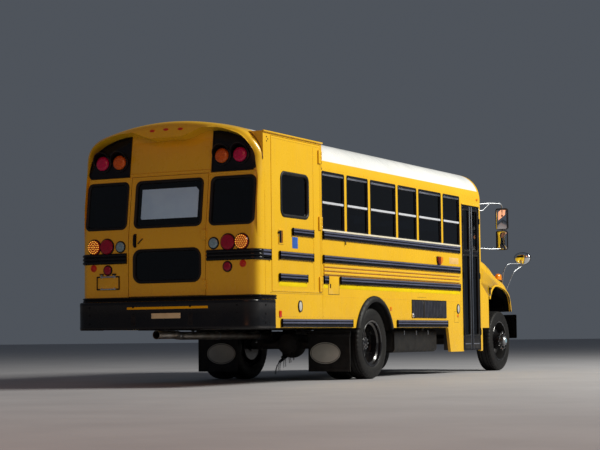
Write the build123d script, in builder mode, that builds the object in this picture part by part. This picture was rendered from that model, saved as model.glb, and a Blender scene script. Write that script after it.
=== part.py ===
"""School bus with a conventional hood, a rear emergency door and a wheelchair-lift
door on its right side.  Millimetres.  +Z up, front towards -Y, the bus's right (kerb)
side towards -X.  Origin on the ground under the middle of the whole vehicle."""
from build123d import *
import math
import os

os.makedirs("parts", exist_ok=True)

# ------------------------------------------------------------------ driving dimensions
HALF_WIDTH = 1219.0          # body skin, half of 96 inches
WALL = 40.0                  # side wall, doors and roof, skin to lining
GAP = 5.0                    # working gap round a door
REAR_WALL_Y = 4385.0         # rear wall below its lean; lengths "s" run forward from it
SKIRT_Z = 667.0              # bottom edge of the side walls
STEP_Z = 320.0               # bottom of the stepwell panels
FLOOR_Z = 1060.0             # top of the cabin floor
FLOOR_T = 40.0
ROOF_Z = 3140.0              # crown of the roof
CROWN_R = 3200.0             # roof crown radius
SHOULDER_R = 410.0           # roof shoulder radius
LEAN_Z = 1750.0              # the rear wall leans forward above this height
LEAN = 0.127                 # forward per unit of height
LEAN_ARC = 1500.0            # radius of the bend between the two
REAR_CORNER_R = 110.0
FRONT_CORNER_R = 120.0
REAR_PANEL_S = 200.0         # joint between rear end and side walls
DASH_S = 6990.0              # joint between side walls and front end
HEADER_S = (7120.0, 7300.0)  # header front face at the side and at the centre
RECESS = 50.0                # windscreen and pillars behind the header face
HEADER_Z = 2540.0            # underside of the header

TYRE_R, TYRE_W = 465.0, 255.0
RIM_R = 292.0
WHEELBASE = 4801.0
REAR_AXLE_S = 3174.0
FRONT_AXLE_S = REAR_AXLE_S + WHEELBASE
REAR_TYRE_X = (742.0, 1062.0)     # inner and outer tyre centres
FRONT_TYRE_X = 1040.0
KINGPIN_X = 850.0

SILL_Z, WINDOW_TOP_Z = 1868.0, 2604.0
POST_HALF = 39.0
# window posts: distance s of each post centre, right side and left side
RIGHT_POSTS = (1622.0, 2333.0, 3044.0, 3933.0, 4644.0, 5533.0, 6244.0)
LEFT_POSTS = (200.0, 911.0) + RIGHT_POSTS
DRIVER_WINDOW = (6330.0, 6940.0)
ARCH_S, ARCH_Z, ARCH_R = 3156.0, 500.0, 560.0

LIFT_S = (340.0, 1632.0)     # lift doorway, rear and front edge
LIFT_Z = (1085.0, 2916.0)
BOX_S = (150.0, 1662.0)      # raised header over the lift doorway
BOX_TOP_Z = 2950.0
LIFT_GLASS = dict(s=(590.0, 1290.0), z=(1990.0, 2502.0), r=80.0)

REAR_DOOR_X = (-530.0, 530.0)
REAR_DOOR_Z = (1058.0, 2486.0)
LOCK_GAP = 12.0              # latch side, so the thick edge swings free
# rear glass: name, x centre, half width, low z, high z, corner radius
REAR_GLASS = (
    ("left", 866.0, 285.0, 1876.0, 2425.0, 60.0),
    ("right", -866.0, 285.0, 1876.0, 2425.0, 60.0),
)
DOOR_GLASS = (
    ("upper", 0.0, 456.0, 1880.0, 2425.0, 60.0),
    ("lower", 0.0, 456.0, 1226.0, 1602.0, 95.0),
)

ENTRY_S = (6300.0, 6985.0)
ENTRY_Z = (330.0, 2500.0)
LEAF_GAP = 16.0              # between the two leaves at the middle

# rub rails: name, low z, high z
RAILS = (
    ("window", 1761.0, 1860.0),
    ("seat", 1466.0, 1565.0),
    ("floor", 1210.0, 1309.0),
)
SKIRT_RAIL = (675.0, 773.0)
RAIL_T = 22.0

BUMPER_Z = (662.0, 997.0)
BUMPER_T = 130.0
FRONT_FACE_S = 8900.0
FRAME_Z = (655.0, 895.0)
FRAME_X = (355.0, 430.0)


def at(s):
    """y of a point a distance s ahead of the rear wall"""
    return REAR_WALL_Y - s


def block(x, y, z, mode=Mode.ADD):
    """box between two limits on each axis"""
    with Locations((sum(x) / 2, sum(y) / 2, sum(z) / 2)):
        Box(abs(x[1] - x[0]), abs(y[1] - y[0]), abs(z[1] - z[0]), mode=mode)


def prism_x(points, x, mode=Mode.ADD):
    """outline of (y, z) points, extruded along X"""
    with BuildSketch(Plane.YZ.offset(x[0])) as outline:
        with BuildLine():
            Polyline(*points, close=True)
        make_face()
    extrude(outline.sketch, amount=x[1] - x[0], mode=mode)


def prism_y(points, y, mode=Mode.ADD):
    """outline of (x, z) points, extruded along Y"""
    with BuildSketch(Plane.XZ.offset(-y[1])) as outline:
        with BuildLine():
            Polyline(*points, close=True)
        make_face()
    extrude(outline.sketch, amount=y[1] - y[0], mode=mode)


def prism_z(points, z, mode=Mode.ADD):
    """outline of (x, y) points, extruded along Z"""
    with BuildSketch(Plane.XY.offset(z[0])) as outline:
        with BuildLine():
            Polyline(*points, close=True)
        make_face()
    extrude(outline.sketch, amount=z[1] - z[0], mode=mode)


def rod(start, end, radius, mode=Mode.ADD):
    """round bar between two points"""
    a, b = Vector(*start), Vector(*end)
    axis = Plane(origin=a, z_dir=b - a)
    with BuildSketch(axis) as disc:
        Circle(radius)
    extrude(disc.sketch, amount=(b - a).length, mode=mode)


def pane_y(x, half, z, radius, y, mode=Mode.ADD):
    """rounded rectangle in the XZ plane, extruded along Y"""
    with BuildSketch(Plane.XZ.offset(-y[1])) as outline:
        with Locations((x, sum(z) / 2)):
            RectangleRounded(2 * half, z[1] - z[0], radius)
    extrude(outline.sketch, amount=y[1] - y[0], mode=mode)


def pane_x(s, z, radius, x, mode=Mode.ADD):
    """rounded rectangle in the YZ plane, extruded along X"""
    with BuildSketch(Plane.YZ.offset(x[0])) as outline:
        with Locations((at(sum(s) / 2), sum(z) / 2)):
            RectangleRounded(abs(s[1] - s[0]), z[1] - z[0], radius)
    extrude(outline.sketch, amount=x[1] - x[0], mode=mode)


def hinge_barrel(x, s, z, radius, foot_x, foot_s):
    """upright hinge barrel on a door's joint axis, with its foot on the door"""
    rod((x, at(s), z[0]), (x, at(s), z[1]), radius)
    block(foot_x, (at(foot_s[1]), at(foot_s[0])), z)


# ------------------------------------------------------------------ body envelope
SHOULDER_X = HALF_WIDTH - SHOULDER_R
CROWN_CZ = ROOF_Z - CROWN_R
SHOULDER_CZ = CROWN_CZ + math.sqrt((CROWN_R - SHOULDER_R) ** 2 - SHOULDER_X ** 2)
EAVE_Z = SHOULDER_CZ          # the side walls end where the roof begins to curve


def body_section(inset, y):
    """cross-section of the body, skin moved inwards by inset"""
    w, r, big = HALF_WIDTH - inset, SHOULDER_R - inset, CROWN_R - inset
    turn = math.atan2(SHOULDER_CZ - CROWN_CZ, SHOULDER_X)
    join = (big * math.cos(turn), CROWN_CZ + big * math.sin(turn))
    mid = (SHOULDER_X + r * math.cos(turn / 2), SHOULDER_CZ + r * math.sin(turn / 2))
    with BuildSketch(Plane.XZ.offset(-y)) as face:
        with BuildLine():
            Polyline((-w, SHOULDER_CZ), (-w, 300.0), (w, 300.0), (w, SHOULDER_CZ))
            ThreePointArc((w, SHOULDER_CZ), mid, join)
            ThreePointArc(join, (0, CROWN_CZ + big), (-join[0], join[1]))
            ThreePointArc((-join[0], join[1]), (-mid[0], mid[1]), (-w, SHOULDER_CZ))
        make_face()
    return face.sketch


def rear_trim(inset):
    """take away what is behind the rear wall"""
    y = REAR_WALL_Y - inset
    half = LEAN_ARC * math.tan(math.atan(LEAN) / 2)
    c = math.cos(math.atan(LEAN))
    low, high = (y, LEAN_Z - half), (y - half * LEAN * c, LEAN_Z + half * c)
    top = (y - (3400.0 - LEAN_Z) * LEAN, 3400.0)
    with BuildSketch(Plane.YZ.offset(-1500.0)) as outline:
        with BuildLine():
            Line((y, 200.0), low)
            TangentArc(low, high, tangent=(0, 1))
            Polyline(high, top, (y + 600.0, 3400.0), (y + 600.0, 200.0), (y, 200.0))
        make_face()
    extrude(outline.sketch, amount=3000.0, mode=Mode.SUBTRACT)


FRONT_BOW_R = (HALF_WIDTH ** 2 + (HEADER_S[1] - HEADER_S[0]) ** 2) / (2 * (HEADER_S[1] - HEADER_S[0]))


def front_trim(inset, z=(200.0, 3400.0)):
    """take away what is ahead of the bowed front"""
    with BuildSketch(Plane.XY.offset(z[0])) as outline:
        with Locations((0, at(7500.0))):
            Rectangle(3000.0, 1400.0)
        with Locations((0, at(HEADER_S[1]) + FRONT_BOW_R)):
            Circle(FRONT_BOW_R - inset, mode=Mode.SUBTRACT)
    extrude(outline.sketch, amount=z[1] - z[0], mode=Mode.SUBTRACT)


def end_edges(solid, y_from, y_to):
    """upright and roof edges of one end, without the cross lines of its bend"""
    found = []
    for edge in solid.edges():
        c = edge.center()
        size = edge.bounding_box().size
        if y_from < c.Y < y_to and c.Z > 310.0 and not (size.Y < 1.0 and size.Z < 1.0):
            found.append(edge)
    return found


with BuildPart() as envelope:
    extrude(body_section(0.0, at(-50.0)), amount=8000.0)
    rear_trim(0.0)
    front_trim(0.0)
    fillet(end_edges(envelope.part, at(260.0), at(-60.0)), REAR_CORNER_R)
    fillet(end_edges(envelope.part, at(7400.0), at(7000.0)), FRONT_CORNER_R)

with BuildPart() as cavity:
    extrude(body_section(WALL, at(-50.0)), amount=8000.0)
    rear_trim(WALL)
    front_trim(RECESS + WALL)
    fillet(end_edges(cavity.part, at(300.0), at(-60.0)), REAR_CORNER_R - WALL)

with BuildPart() as shell:
    add(envelope.part)
    front_trim(RECESS, (200.0, HEADER_Z))
    add(cavity.part, mode=Mode.SUBTRACT)


def side_windows_list(posts):
    return [(a + POST_HALF, b - POST_HALF) for a, b in zip(posts, posts[1:])]


def arch_cut(x):
    with BuildSketch(Plane.YZ.offset(x[0])) as arch:
        with Locations((at(ARCH_S), ARCH_Z)):
            Circle(ARCH_R)
    extrude(arch.sketch, amount=x[1] - x[0], mode=Mode.SUBTRACT)


RIGHT_X = (-HALF_WIDTH - 5.0, -HALF_WIDTH + WALL + 5.0)
LEFT_X = (HALF_WIDTH - WALL - 5.0, HALF_WIDTH + 5.0)

# ------------------------------------------------------------------ right side wall
with BuildPart() as right_side_wall:
    add(shell.part)
    block((-HALF_WIDTH - 1, -HALF_WIDTH + WALL), (at(DASH_S), at(REAR_PANEL_S)), (STEP_Z, EAVE_Z),
          Mode.INTERSECT)
    block(RIGHT_X, (at(5700.0), at(0.0)), (STEP_Z - 5, SKIRT_Z), Mode.SUBTRACT)
    prism_x([(at(5700.0) + 1, STEP_Z - 5), (at(5700.0) + 1, SKIRT_Z + 0.0),
             (at(5700.0), SKIRT_Z), (at(5790.0), STEP_Z - 5)], RIGHT_X, Mode.SUBTRACT)
    block(RIGHT_X, (at(LIFT_S[1]), at(LIFT_S[0])), (LIFT_Z[0], 3000.0), Mode.SUBTRACT)
    block(RIGHT_X, (at(ENTRY_S[1]), at(ENTRY_S[0])), (ENTRY_Z[0] - 20.0, ENTRY_Z[1]), Mode.SUBTRACT)
    arch_cut(RIGHT_X)
    for s_pair in side_windows_list(RIGHT_POSTS):
        pane_x(s_pair, (SILL_Z, WINDOW_TOP_Z), 24.0, RIGHT_X, Mode.SUBTRACT)

# ------------------------------------------------------------------ left side wall
with BuildPart() as left_side_wall:
    add(shell.part)
    block((HALF_WIDTH - WALL, HALF_WIDTH + 1), (at(DASH_S), at(REAR_PANEL_S)), (SKIRT_Z, EAVE_Z),
          Mode.INTERSECT)
    arch_cut(LEFT_X)
    for s_pair in side_windows_list(LEFT_POSTS):
        pane_x(s_pair, (SILL_Z, WINDOW_TOP_Z), 24.0, LEFT_X, Mode.SUBTRACT)
    pane_x(DRIVER_WINDOW, (SILL_Z - 60.0, WINDOW_TOP_Z), 24.0, LEFT_X, Mode.SUBTRACT)

# ------------------------------------------------------------------ roof and its hatch
HATCH_S = (2300.0, 2880.0)
HATCH_HALF = 290.0
with BuildPart() as roof:
    add(shell.part)
    block((-1300, 1300), (at(DASH_S), at(REAR_PANEL_S)), (EAVE_Z, 3300.0), Mode.INTERSECT)
    block((-1300, -880), (at(LIFT_S[1]), at(REAR_PANEL_S) + 1), (EAVE_Z - 1, BOX_TOP_Z - WALL),
          Mode.SUBTRACT)
    block((-HATCH_HALF - 30, HATCH_HALF + 30), (at(HATCH_S[1] + 30), at(HATCH_S[0] - 30)),
          (ROOF_Z - 30, ROOF_Z + 3))
    block((-HATCH_HALF, HATCH_HALF), (at(HATCH_S[1]), at(HATCH_S[0])), (ROOF_Z - 90, ROOF_Z + 60),
          Mode.SUBTRACT)

with BuildPart() as roof_hatch:
    block((-HATCH_HALF - 42, HATCH_HALF + 42), (at(HATCH_S[1] + 42), at(HATCH_S[0] - 42)),
          (ROOF_Z + 10, ROOF_Z + 32))
    fillet(roof_hatch.edges().filter_by(Axis.Z), 60.0)
    fillet(roof_hatch.faces().sort_by(Axis.Z)[-1].edges(), 16.0)
    # hinge barrels across the front edge
    for x in ((-220.0, -150.0), (150.0, 220.0)):
        rod((x[0], at(HATCH_S[1] + 42.0), ROOF_Z + 12.0), (x[1], at(HATCH_S[1] + 42.0), ROOF_Z + 12.0), 8.0)

# ------------------------------------------------------------------ rear end
DOOR_OPENING_X = (REAR_DOOR_X[0] - GAP, REAR_DOOR_X[1] + LOCK_GAP)
DOOR_OPENING_Z = (REAR_DOOR_Z[0] - GAP, REAR_DOOR_Z[1] + GAP)
REAR_Y = (at(330.0), at(-20.0))
# four holes for a number plate, spacing in X and Z
PLATE = dict(x=822.0, z=1229.0, dx=178.0, dz=121.0, r=3.5)
with BuildPart() as plate_drill:
    for dx in (-PLATE["dx"] / 2, PLATE["dx"] / 2):
        for dz in (-PLATE["dz"] / 2, PLATE["dz"] / 2):
            rod((PLATE["x"] + dx, at(60.0), PLATE["z"] + dz), (PLATE["x"] + dx, at(-10.0), PLATE["z"] + dz),
                PLATE["r"])

with BuildPart() as rear_wall:
    add(shell.part)
    block((-1300, 1300), (at(REAR_PANEL_S), at(-50.0)), (SKIRT_Z, 3300.0), Mode.INTERSECT)
    block(DOOR_OPENING_X, REAR_Y, DOOR_OPENING_Z, Mode.SUBTRACT)
    block((-1300, -HALF_WIDTH + WALL + 150), (at(REAR_PANEL_S) - 1, at(BOX_S[0] + WALL)),
          (EAVE_Z, BOX_TOP_Z - WALL), Mode.SUBTRACT)
    for _, x, half, z0, z1, r in REAR_GLASS:
        pane_y(x, half, (z0, z1), r, REAR_Y, Mode.SUBTRACT)
    add(plate_drill.part, mode=Mode.SUBTRACT)

with BuildPart() as rear_door:
    add(shell.part)
    block(REAR_DOOR_X, (at(REAR_PANEL_S), at(-50.0)), REAR_DOOR_Z, Mode.INTERSECT)
    for _, x, half, z0, z1, r in DOOR_GLASS:
        pane_y(x, half, (z0, z1), r, REAR_Y, Mode.SUBTRACT)
    for z in ((1117.0, 1233.0), (1700.0, 1815.0)):
        hinge_barrel(-532.5, -14.0, z, 8.0, (-532.5, -485.0), (-18.0, -10.0))
        block((-522.0, -485.0), (at(1.0), at(-12.0)), z)

# panes follow the middle of the wall
with BuildPart() as glass_core:
    extrude(body_section(24.0, at(-50.0)), amount=8000.0)
    rear_trim(24.0)
    front_trim(RECESS + 24.0)

with BuildPart() as glass_layer:
    extrude(body_section(16.0, at(-50.0)), amount=8000.0)
    rear_trim(16.0)
    front_trim(RECESS + 16.0)
    add(glass_core.part, mode=Mode.SUBTRACT)

with BuildPart() as rear_door_glass:
    for _, x, half, z0, z1, r in DOOR_GLASS:
        pane_y(x, half, (z0, z1), r, REAR_Y)
    add(glass_layer.part, mode=Mode.INTERSECT)

with BuildPart() as side_windows:
    for s_pair in side_windows_list(RIGHT_POSTS):
        pane_x(s_pair, (SILL_Z, WINDOW_TOP_Z), 24.0, RIGHT_X)
    for s_pair in side_windows_list(LEFT_POSTS):
        pane_x(s_pair, (SILL_Z, WINDOW_TOP_Z), 24.0, LEFT_X)
    pane_x(DRIVER_WINDOW, (SILL_Z - 60.0, WINDOW_TOP_Z), 24.0, LEFT_X)
    for _, x, half, z0, z1, r in REAR_GLASS:
        pane_y(x, half, (z0, z1), r, REAR_Y)
    add(glass_layer.part, mode=Mode.INTERSECT)

# ------------------------------------------------------------------ front end
SCREEN_HALF, SCREEN_Z = 1060.0, (1800.0, 2505.0)
COWL_TOP_S, COWL_FRONT_S = 7040.0, 7390.0
FRONT_Y = (at(7500.0), at(6980.0))
with BuildPart() as front_wall:
    add(shell.part)
    block((-1300, 1300), (at(7600.0), at(DASH_S)), (SKIRT_Z, 3300.0), Mode.INTERSECT)
    pane_y(0.0, SCREEN_HALF, SCREEN_Z, 70.0, FRONT_Y, Mode.SUBTRACT)
    # passage for the chassis frame
    block((-470.0, 470.0), FRONT_Y, (SKIRT_Z - 1.0, 925.0), Mode.SUBTRACT)
    # door pillar runs down beside the stepwell
    block((-HALF_WIDTH, -HALF_WIDTH + WALL), (at(7075.0), at(DASH_S)), (STEP_Z, SKIRT_Z))
    # cowl side panels between the pillar and the wheel
    for x in ((-1205.0, -1165.0), (1165.0, 1205.0)):
        prism_x([(at(7060.0), SKIRT_Z), (at(COWL_FRONT_S), SKIRT_Z), (at(COWL_FRONT_S), 1155.0),
                 (at(COWL_TOP_S + 60.0), 1330.0), (at(7060.0), 1330.0)], x)

with BuildPart() as windscreen:
    pane_y(0.0, SCREEN_HALF, SCREEN_Z, 70.0, FRONT_Y)
    add(glass_layer.part, mode=Mode.INTERSECT)

# ------------------------------------------------------------------ lift door and its header
with BuildPart() as lift_header:
    block((-HALF_WIDTH, -880.0), (at(BOX_S[1]), at(BOX_S[0])), (EAVE_Z, BOX_TOP_Z))
    add(envelope.part, mode=Mode.SUBTRACT)
    block((-HALF_WIDTH, -880.0), (at(BOX_S[1]), at(BOX_S[0])), (EAVE_Z, BOX_TOP_Z))
    block((-HALF_WIDTH + WALL, -800.0), (at(LIFT_S[1]), at(BOX_S[0] + WALL)),
          (EAVE_Z - 1, BOX_TOP_Z - WALL), Mode.SUBTRACT)
    add(shell.part, mode=Mode.SUBTRACT)
    block((-HALF_WIDTH + WALL + 1, -800.0), (at(BOX_S[1] + 5), at(BOX_S[0] - 5)), (EAVE_Z - 5, EAVE_Z + 5),
          Mode.SUBTRACT)
    block((-HALF_WIDTH - 5, -HALF_WIDTH + WALL), (at(LIFT_S[1]), at(LIFT_S[0])), (EAVE_Z - 5, LIFT_Z[1]),
          Mode.SUBTRACT)
    add(cavity.part, mode=Mode.SUBTRACT)

with BuildPart() as lift_door:
    block((-HALF_WIDTH, -HALF_WIDTH + WALL), (at(LIFT_S[1] - GAP), at(LIFT_S[0] + 8.0)),
          (LIFT_Z[0] + GAP, LIFT_Z[1] - GAP))
    pane_x(LIFT_GLASS["s"], LIFT_GLASS["z"], LIFT_GLASS["r"], RIGHT_X, Mode.SUBTRACT)
    for z in ((1110.0, 1290.0), (1870.0, 2030.0), (2690.0, 2850.0)):
        hinge_barrel(-1233.0, 1628.0, z, 8.0, (-1237.0, -1229.0), (1560.0, 1628.0))
        block((-1231.0, -1218.0), (at(1618.0), at(1560.0)), z)

with BuildPart() as lift_door_glass:
    pane_x(LIFT_GLASS["s"], LIFT_GLASS["z"], LIFT_GLASS["r"],
           (-HALF_WIDTH + 16.0, -HALF_WIDTH + 24.0))

# ------------------------------------------------------------------ entrance door leaves
MID_S = sum(ENTRY_S) / 2
# leaf: name, edge at the hinge, edge at the middle
LEAVES = (
    ("entrance_door_rear_leaf", ENTRY_S[0] + GAP, MID_S - LEAF_GAP / 2),
    ("entrance_door_front_leaf", ENTRY_S[1] - GAP, MID_S + LEAF_GAP / 2),
)
LEAF_Z = (ENTRY_Z[0] + GAP, ENTRY_Z[1] - GAP)
LEAF_PANES = ((LEAF_Z[0] + 215.0, 1755.0), (1815.0, LEAF_Z[1] - 60.0))
LEAF_HINGES = ((560.0, 640.0), (1410.0, 1490.0), (2240.0, 2320.0))
leaf_parts = {}
for name, s_hinge, s_mid in LEAVES:
    lo, hi = min(s_hinge, s_mid), max(s_hinge, s_mid)
    with BuildPart() as leaf:
        block((-HALF_WIDTH, -HALF_WIDTH + WALL), (at(hi), at(lo)), LEAF_Z)
        for pane in LEAF_PANES:
            pane_x((lo + 42.0, hi - 42.0), pane, 30.0, RIGHT_X, Mode.SUBTRACT)
        way = 1.0 if s_mid > s_hinge else -1.0
        for z in LEAF_HINGES:
            foot = sorted((s_hinge - 2.0 * way, s_hinge + 36.0 * way))
            hinge_barrel(-1231.0, s_hinge - 2.0 * way, z, 7.0, (-1234.0, -1228.0), foot)
            foot = sorted((s_hinge + 6.0 * way, s_hinge + 36.0 * way))
            block((-1230.0, -HALF_WIDTH + 1.0), (at(foot[1]), at(foot[0])), z)
    with BuildPart() as leaf_glass:
        for pane in LEAF_PANES:
            pane_x((lo + 42.0, hi - 42.0), pane, 30.0, (-HALF_WIDTH + 16.0, -HALF_WIDTH + 24.0))
    leaf_parts[name] = leaf
    leaf_parts[name + "_glass"] = leaf_glass

# ------------------------------------------------------------------ floor and steps
WELL_X = (-HALF_WIDTH + WALL, -560.0)
with BuildPart() as floor:
    add(cavity.part)
    block((-1300, 1300), (at(7600.0), at(-50.0)), (FLOOR_Z - FLOOR_T, FLOOR_Z), Mode.INTERSECT)
    block((WELL_X[0] - 10, WELL_X[1]), (at(ENTRY_S[1] + 5), at(ENTRY_S[0] - 25.0)), (900.0, 1100.0), Mode.SUBTRACT)

# outline of the steps, outside then inside, in (x, z)
STEP_TOP = [(WELL_X[0], 370.0), (-930.0, 370.0), (-930.0, 600.0), (-745.0, 600.0), (-745.0, 830.0),
            (-580.0, 830.0), (-580.0, FLOOR_Z), (WELL_X[1], FLOOR_Z)]
STEP_UNDER = [(WELL_X[1], 800.0), (-725.0, 800.0), (-725.0, 570.0), (-910.0, 570.0),
              (-910.0, 340.0), (WELL_X[0], 340.0)]
with BuildPart() as entrance_steps:
    prism_y(STEP_TOP + STEP_UNDER, (at(ENTRY_S[1]), at(ENTRY_S[0] - 25.0)))
    prism_y([(WELL_X[0], 340.0), (WELL_X[0], FLOOR_Z), (WELL_X[1], FLOOR_Z)] + STEP_UNDER[:-1],
            (at(ENTRY_S[0]), at(ENTRY_S[0] - 25.0)))

# ------------------------------------------------------------------ rub rails
def plan(out, rear, radius, z):
    """plan of the body's rear end moved outwards, at height z"""
    with BuildSketch(Plane.XY.offset(z)) as face:
        with Locations((0, at(4000.0) + rear / 2)):
            Rectangle(2 * (HALF_WIDTH + out), 8000.0 + rear)
        fillet(face.vertices().group_by(Axis.Y)[-1], radius)
    return face.sketch


def wrapped_strip(z, x, s, thick=RAIL_T):
    """strip on the skin round the rear end, kept inside the x and s limits"""
    with BuildPart() as strip:
        extrude(plan(thick, thick, REAR_CORNER_R + thick, z[0]), amount=z[1] - z[0])
        extrude(plan(0.0, 0.0, REAR_CORNER_R, z[0]), amount=z[1] - z[0], mode=Mode.SUBTRACT)
        block(x, (at(s[1]), at(s[0])), (z[0] - 1, z[1] + 1), Mode.INTERSECT)
    return strip.part


# strip: low z, high z, x limits, s limits
REAR_STRIPS = (
    ("right seat", 1452.0, 1578.0, (-1300.0, -552.0), (-60.0, 300.0)),
    ("left seat", 1452.0, 1578.0, (556.0, 1300.0), (-60.0, 330.0)),
    ("sill", 997.0, 1052.0, (-1300.0, 1300.0), (-60.0, 420.0)),
)
# rail: side, low z, high z, rear end s, front end s
SIDE_RAILS = (
    (-1, *RAILS[0][1:], 1668.0, 6175.0),
    (-1, *RAILS[1][1:], 1668.0, 6175.0),
    (-1, *RAILS[2][1:], 1668.0, 1800.0),
    (-1, *RAILS[2][1:], 2140.0, 6175.0),
    (-1, *SKIRT_RAIL, 560.0, 2480.0),
    (-1, *SKIRT_RAIL, 3880.0, 5660.0),
    (1, *RAILS[0][1:], 230.0, 6940.0),
    (1, *RAILS[1][1:], 360.0, 6940.0),
    (1, *RAILS[2][1:], 230.0, 6940.0),
    (1, *SKIRT_RAIL, 560.0, 2480.0),
    (1, *SKIRT_RAIL, 3880.0, 6940.0),
)
with BuildPart() as rub_rails:
    for _, z0, z1, x, s in REAR_STRIPS:
        add(wrapped_strip((z0, z1), x, s))
    for side, z0, z1, s0, s1 in SIDE_RAILS:
        x = (HALF_WIDTH, HALF_WIDTH + RAIL_T)
        prism_y([(side * x[0], z0), (side * x[1], z0 + 12.0), (side * x[1], z1 - 12.0),
                 (side * x[0], z1)], (at(s1), at(s0)))

# ------------------------------------------------------------------ bumpers
with BuildPart() as rear_bumper:
    extrude(plan(18.0, BUMPER_T, 170.0, BUMPER_Z[0]), amount=BUMPER_Z[1] - BUMPER_Z[0])
    extrude(plan(6.0, BUMPER_T - 12.0, 158.0, BUMPER_Z[0] + 12.0),
            amount=BUMPER_Z[1] - BUMPER_Z[0] - 24.0, mode=Mode.SUBTRACT)
    block((-HALF_WIDTH, HALF_WIDTH), (at(430.0), at(0.0)), (BUMPER_Z[0] - 1, BUMPER_Z[1] + 1),
          Mode.SUBTRACT)
    block((-1300, 1300), (at(420.0), at(-300.0)), (BUMPER_Z[0] - 1, BUMPER_Z[1] + 1), Mode.INTERSECT)
    # brackets to the frame rails
    for x in (-392.0, 392.0):
        block((x - 37.0, x + 37.0), (at(0.0), at(-BUMPER_T) - 6.0), (700.0, 860.0))

FRONT_BUMPER_Z = (500.0, 880.0)
with BuildPart() as front_bumper:
    outer = [(760.0, at(8900.0)), (1120.0, at(8800.0)), (1205.0, at(8640.0))]
    inner = [(1193.0, at(8634.0)), (1108.0, at(8792.0)), (756.0, at(8888.0))]
    mirrored = [[(-x, y) for x, y in reversed(side)] for side in (outer, inner)]
    prism_z(mirrored[0] + outer + inner + mirrored[1], FRONT_BUMPER_Z)
    for z in ((500.0, 512.0), (868.0, 880.0)):
        prism_z([(-1205.0, at(8640.0)), (-1120.0, at(8800.0)), (-760.0, at(8900.0)), (760.0, at(8900.0)),
                 (1120.0, at(8800.0)), (1205.0, at(8640.0)), (1140.0, at(8640.0)), (1060.0, at(8760.0)),
                 (740.0, at(8840.0)), (-740.0, at(8840.0)), (-1060.0, at(8760.0)), (-1140.0, at(8640.0))], z)
    for side in (-1, 1):
        block((side * 392.0 - 37.0, side * 392.0 + 37.0), (at(8892.0), at(8740.0)), (670.0, 820.0))
        # towing eye plate
        block((side * 392.0 - 10.0, side * 392.0 + 10.0), (at(8840.0), at(8745.0)), (430.0, 700.0))
        with Locations(Location((side * 392.0, at(8780.0), 465.0), (0, 90, 0))):
            Cylinder(22.0, 60.0, mode=Mode.SUBTRACT)

# ------------------------------------------------------------------ chassis frame
# crossmember: s of its middle
CROSSMEMBERS = (250.0, 1100.0, 1950.0, 2500.0, 3850.0, 4700.0, 5500.0, 6350.0, 8640.0)
# floor bearer: s of its middle, half length
BEARERS = ((380.0, 1150.0), (1000.0, 1150.0), (1620.0, 1150.0), (2240.0, 1150.0), (2700.0, 540.0),
           (3170.0, 540.0), (3640.0, 540.0), (4100.0, 1150.0), (4720.0, 1150.0), (5340.0, 1150.0),
           (5960.0, 1150.0), (6640.0, 540.0))
with BuildPart() as frame:
    for side in (-1, 1):
        block((side * FRAME_X[0], side * FRAME_X[1]), (at(8740.0), at(45.0)), FRAME_Z)
        block((side * FRAME_X[0], side * (FRAME_X[1] - 8.0)), (at(8741.0), at(44.0)),
              (FRAME_Z[0] + 8.0, FRAME_Z[1] - 8.0), Mode.SUBTRACT)
    for s in CROSSMEMBERS:
        block((-FRAME_X[1] + 8.0, FRAME_X[1] - 8.0), (at(s + 35.0), at(s - 35.0)), (690.0, 860.0))
        block((-FRAME_X[0] - 1.0, FRAME_X[0] + 1.0), (at(s + 28.0), at(s - 36.0)), (700.0, 850.0), Mode.SUBTRACT)

with BuildPart() as floor_bearers:
    for s, half in BEARERS:
        block((-half, half), (at(s + 25.0), at(s - 25.0)), (FRAME_Z[1], FLOOR_Z - FLOOR_T))
        block((-half - 1, half + 1), (at(s + 20.0), at(s - 26.0)), (FRAME_Z[1] + 6.0, FLOOR_Z - FLOOR_T - 6.0),
              Mode.SUBTRACT)


def leaf_spring(s_mid, half, z_eye, z_mid, x):
    """pack of arched leaves: (y, z) outline between two arcs"""
    with BuildSketch(Plane.YZ.offset(x[0])) as pack_side:
        with BuildLine():
            ThreePointArc((at(s_mid - half), z_eye), (at(s_mid), z_mid), (at(s_mid + half), z_eye))
            Line((at(s_mid + half), z_eye), (at(s_mid + half), z_eye + 14.0))
            ThreePointArc((at(s_mid + half), z_eye + 14.0), (at(s_mid), z_mid + 70.0),
                          (at(s_mid - half), z_eye + 14.0))
            Line((at(s_mid - half), z_eye + 14.0), (at(s_mid - half), z_eye))
        make_face()
    extrude(pack_side.sketch, amount=x[1] - x[0])


SPRING_EYES = (2480.0, 3900.0, 7330.0, 8610.0)
with BuildPart() as leaf_springs:
    for side in (-1, 1):
        x = (min(side * 438.0, side * 512.0), max(side * 438.0, side * 512.0))
        leaf_spring(REAR_AXLE_S + 10.0, 690.0, 612.0, 545.0, x)
        leaf_spring(FRONT_AXLE_S, 620.0, 606.0, 506.0, x)
        for s in SPRING_EYES:
            rod((x[0], at(s), 618.0), (x[1], at(s), 618.0), 27.0)
            # hanger: two ears from the frame rail down over the eye
            block((side * 430.0, side * 437.0), (at(s + 35.0), at(s - 35.0)), (590.0, 760.0))
            block((side * 430.0, side * 520.0), (at(s + 35.0), at(s - 35.0)), (655.0, 760.0))
            block((side * 513.0, side * 520.0), (at(s + 35.0), at(s - 35.0)), (590.0, 700.0))
            rod((side * 431.0, at(s), 618.0), (side * 519.0, at(s), 618.0), 12.0)

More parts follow.
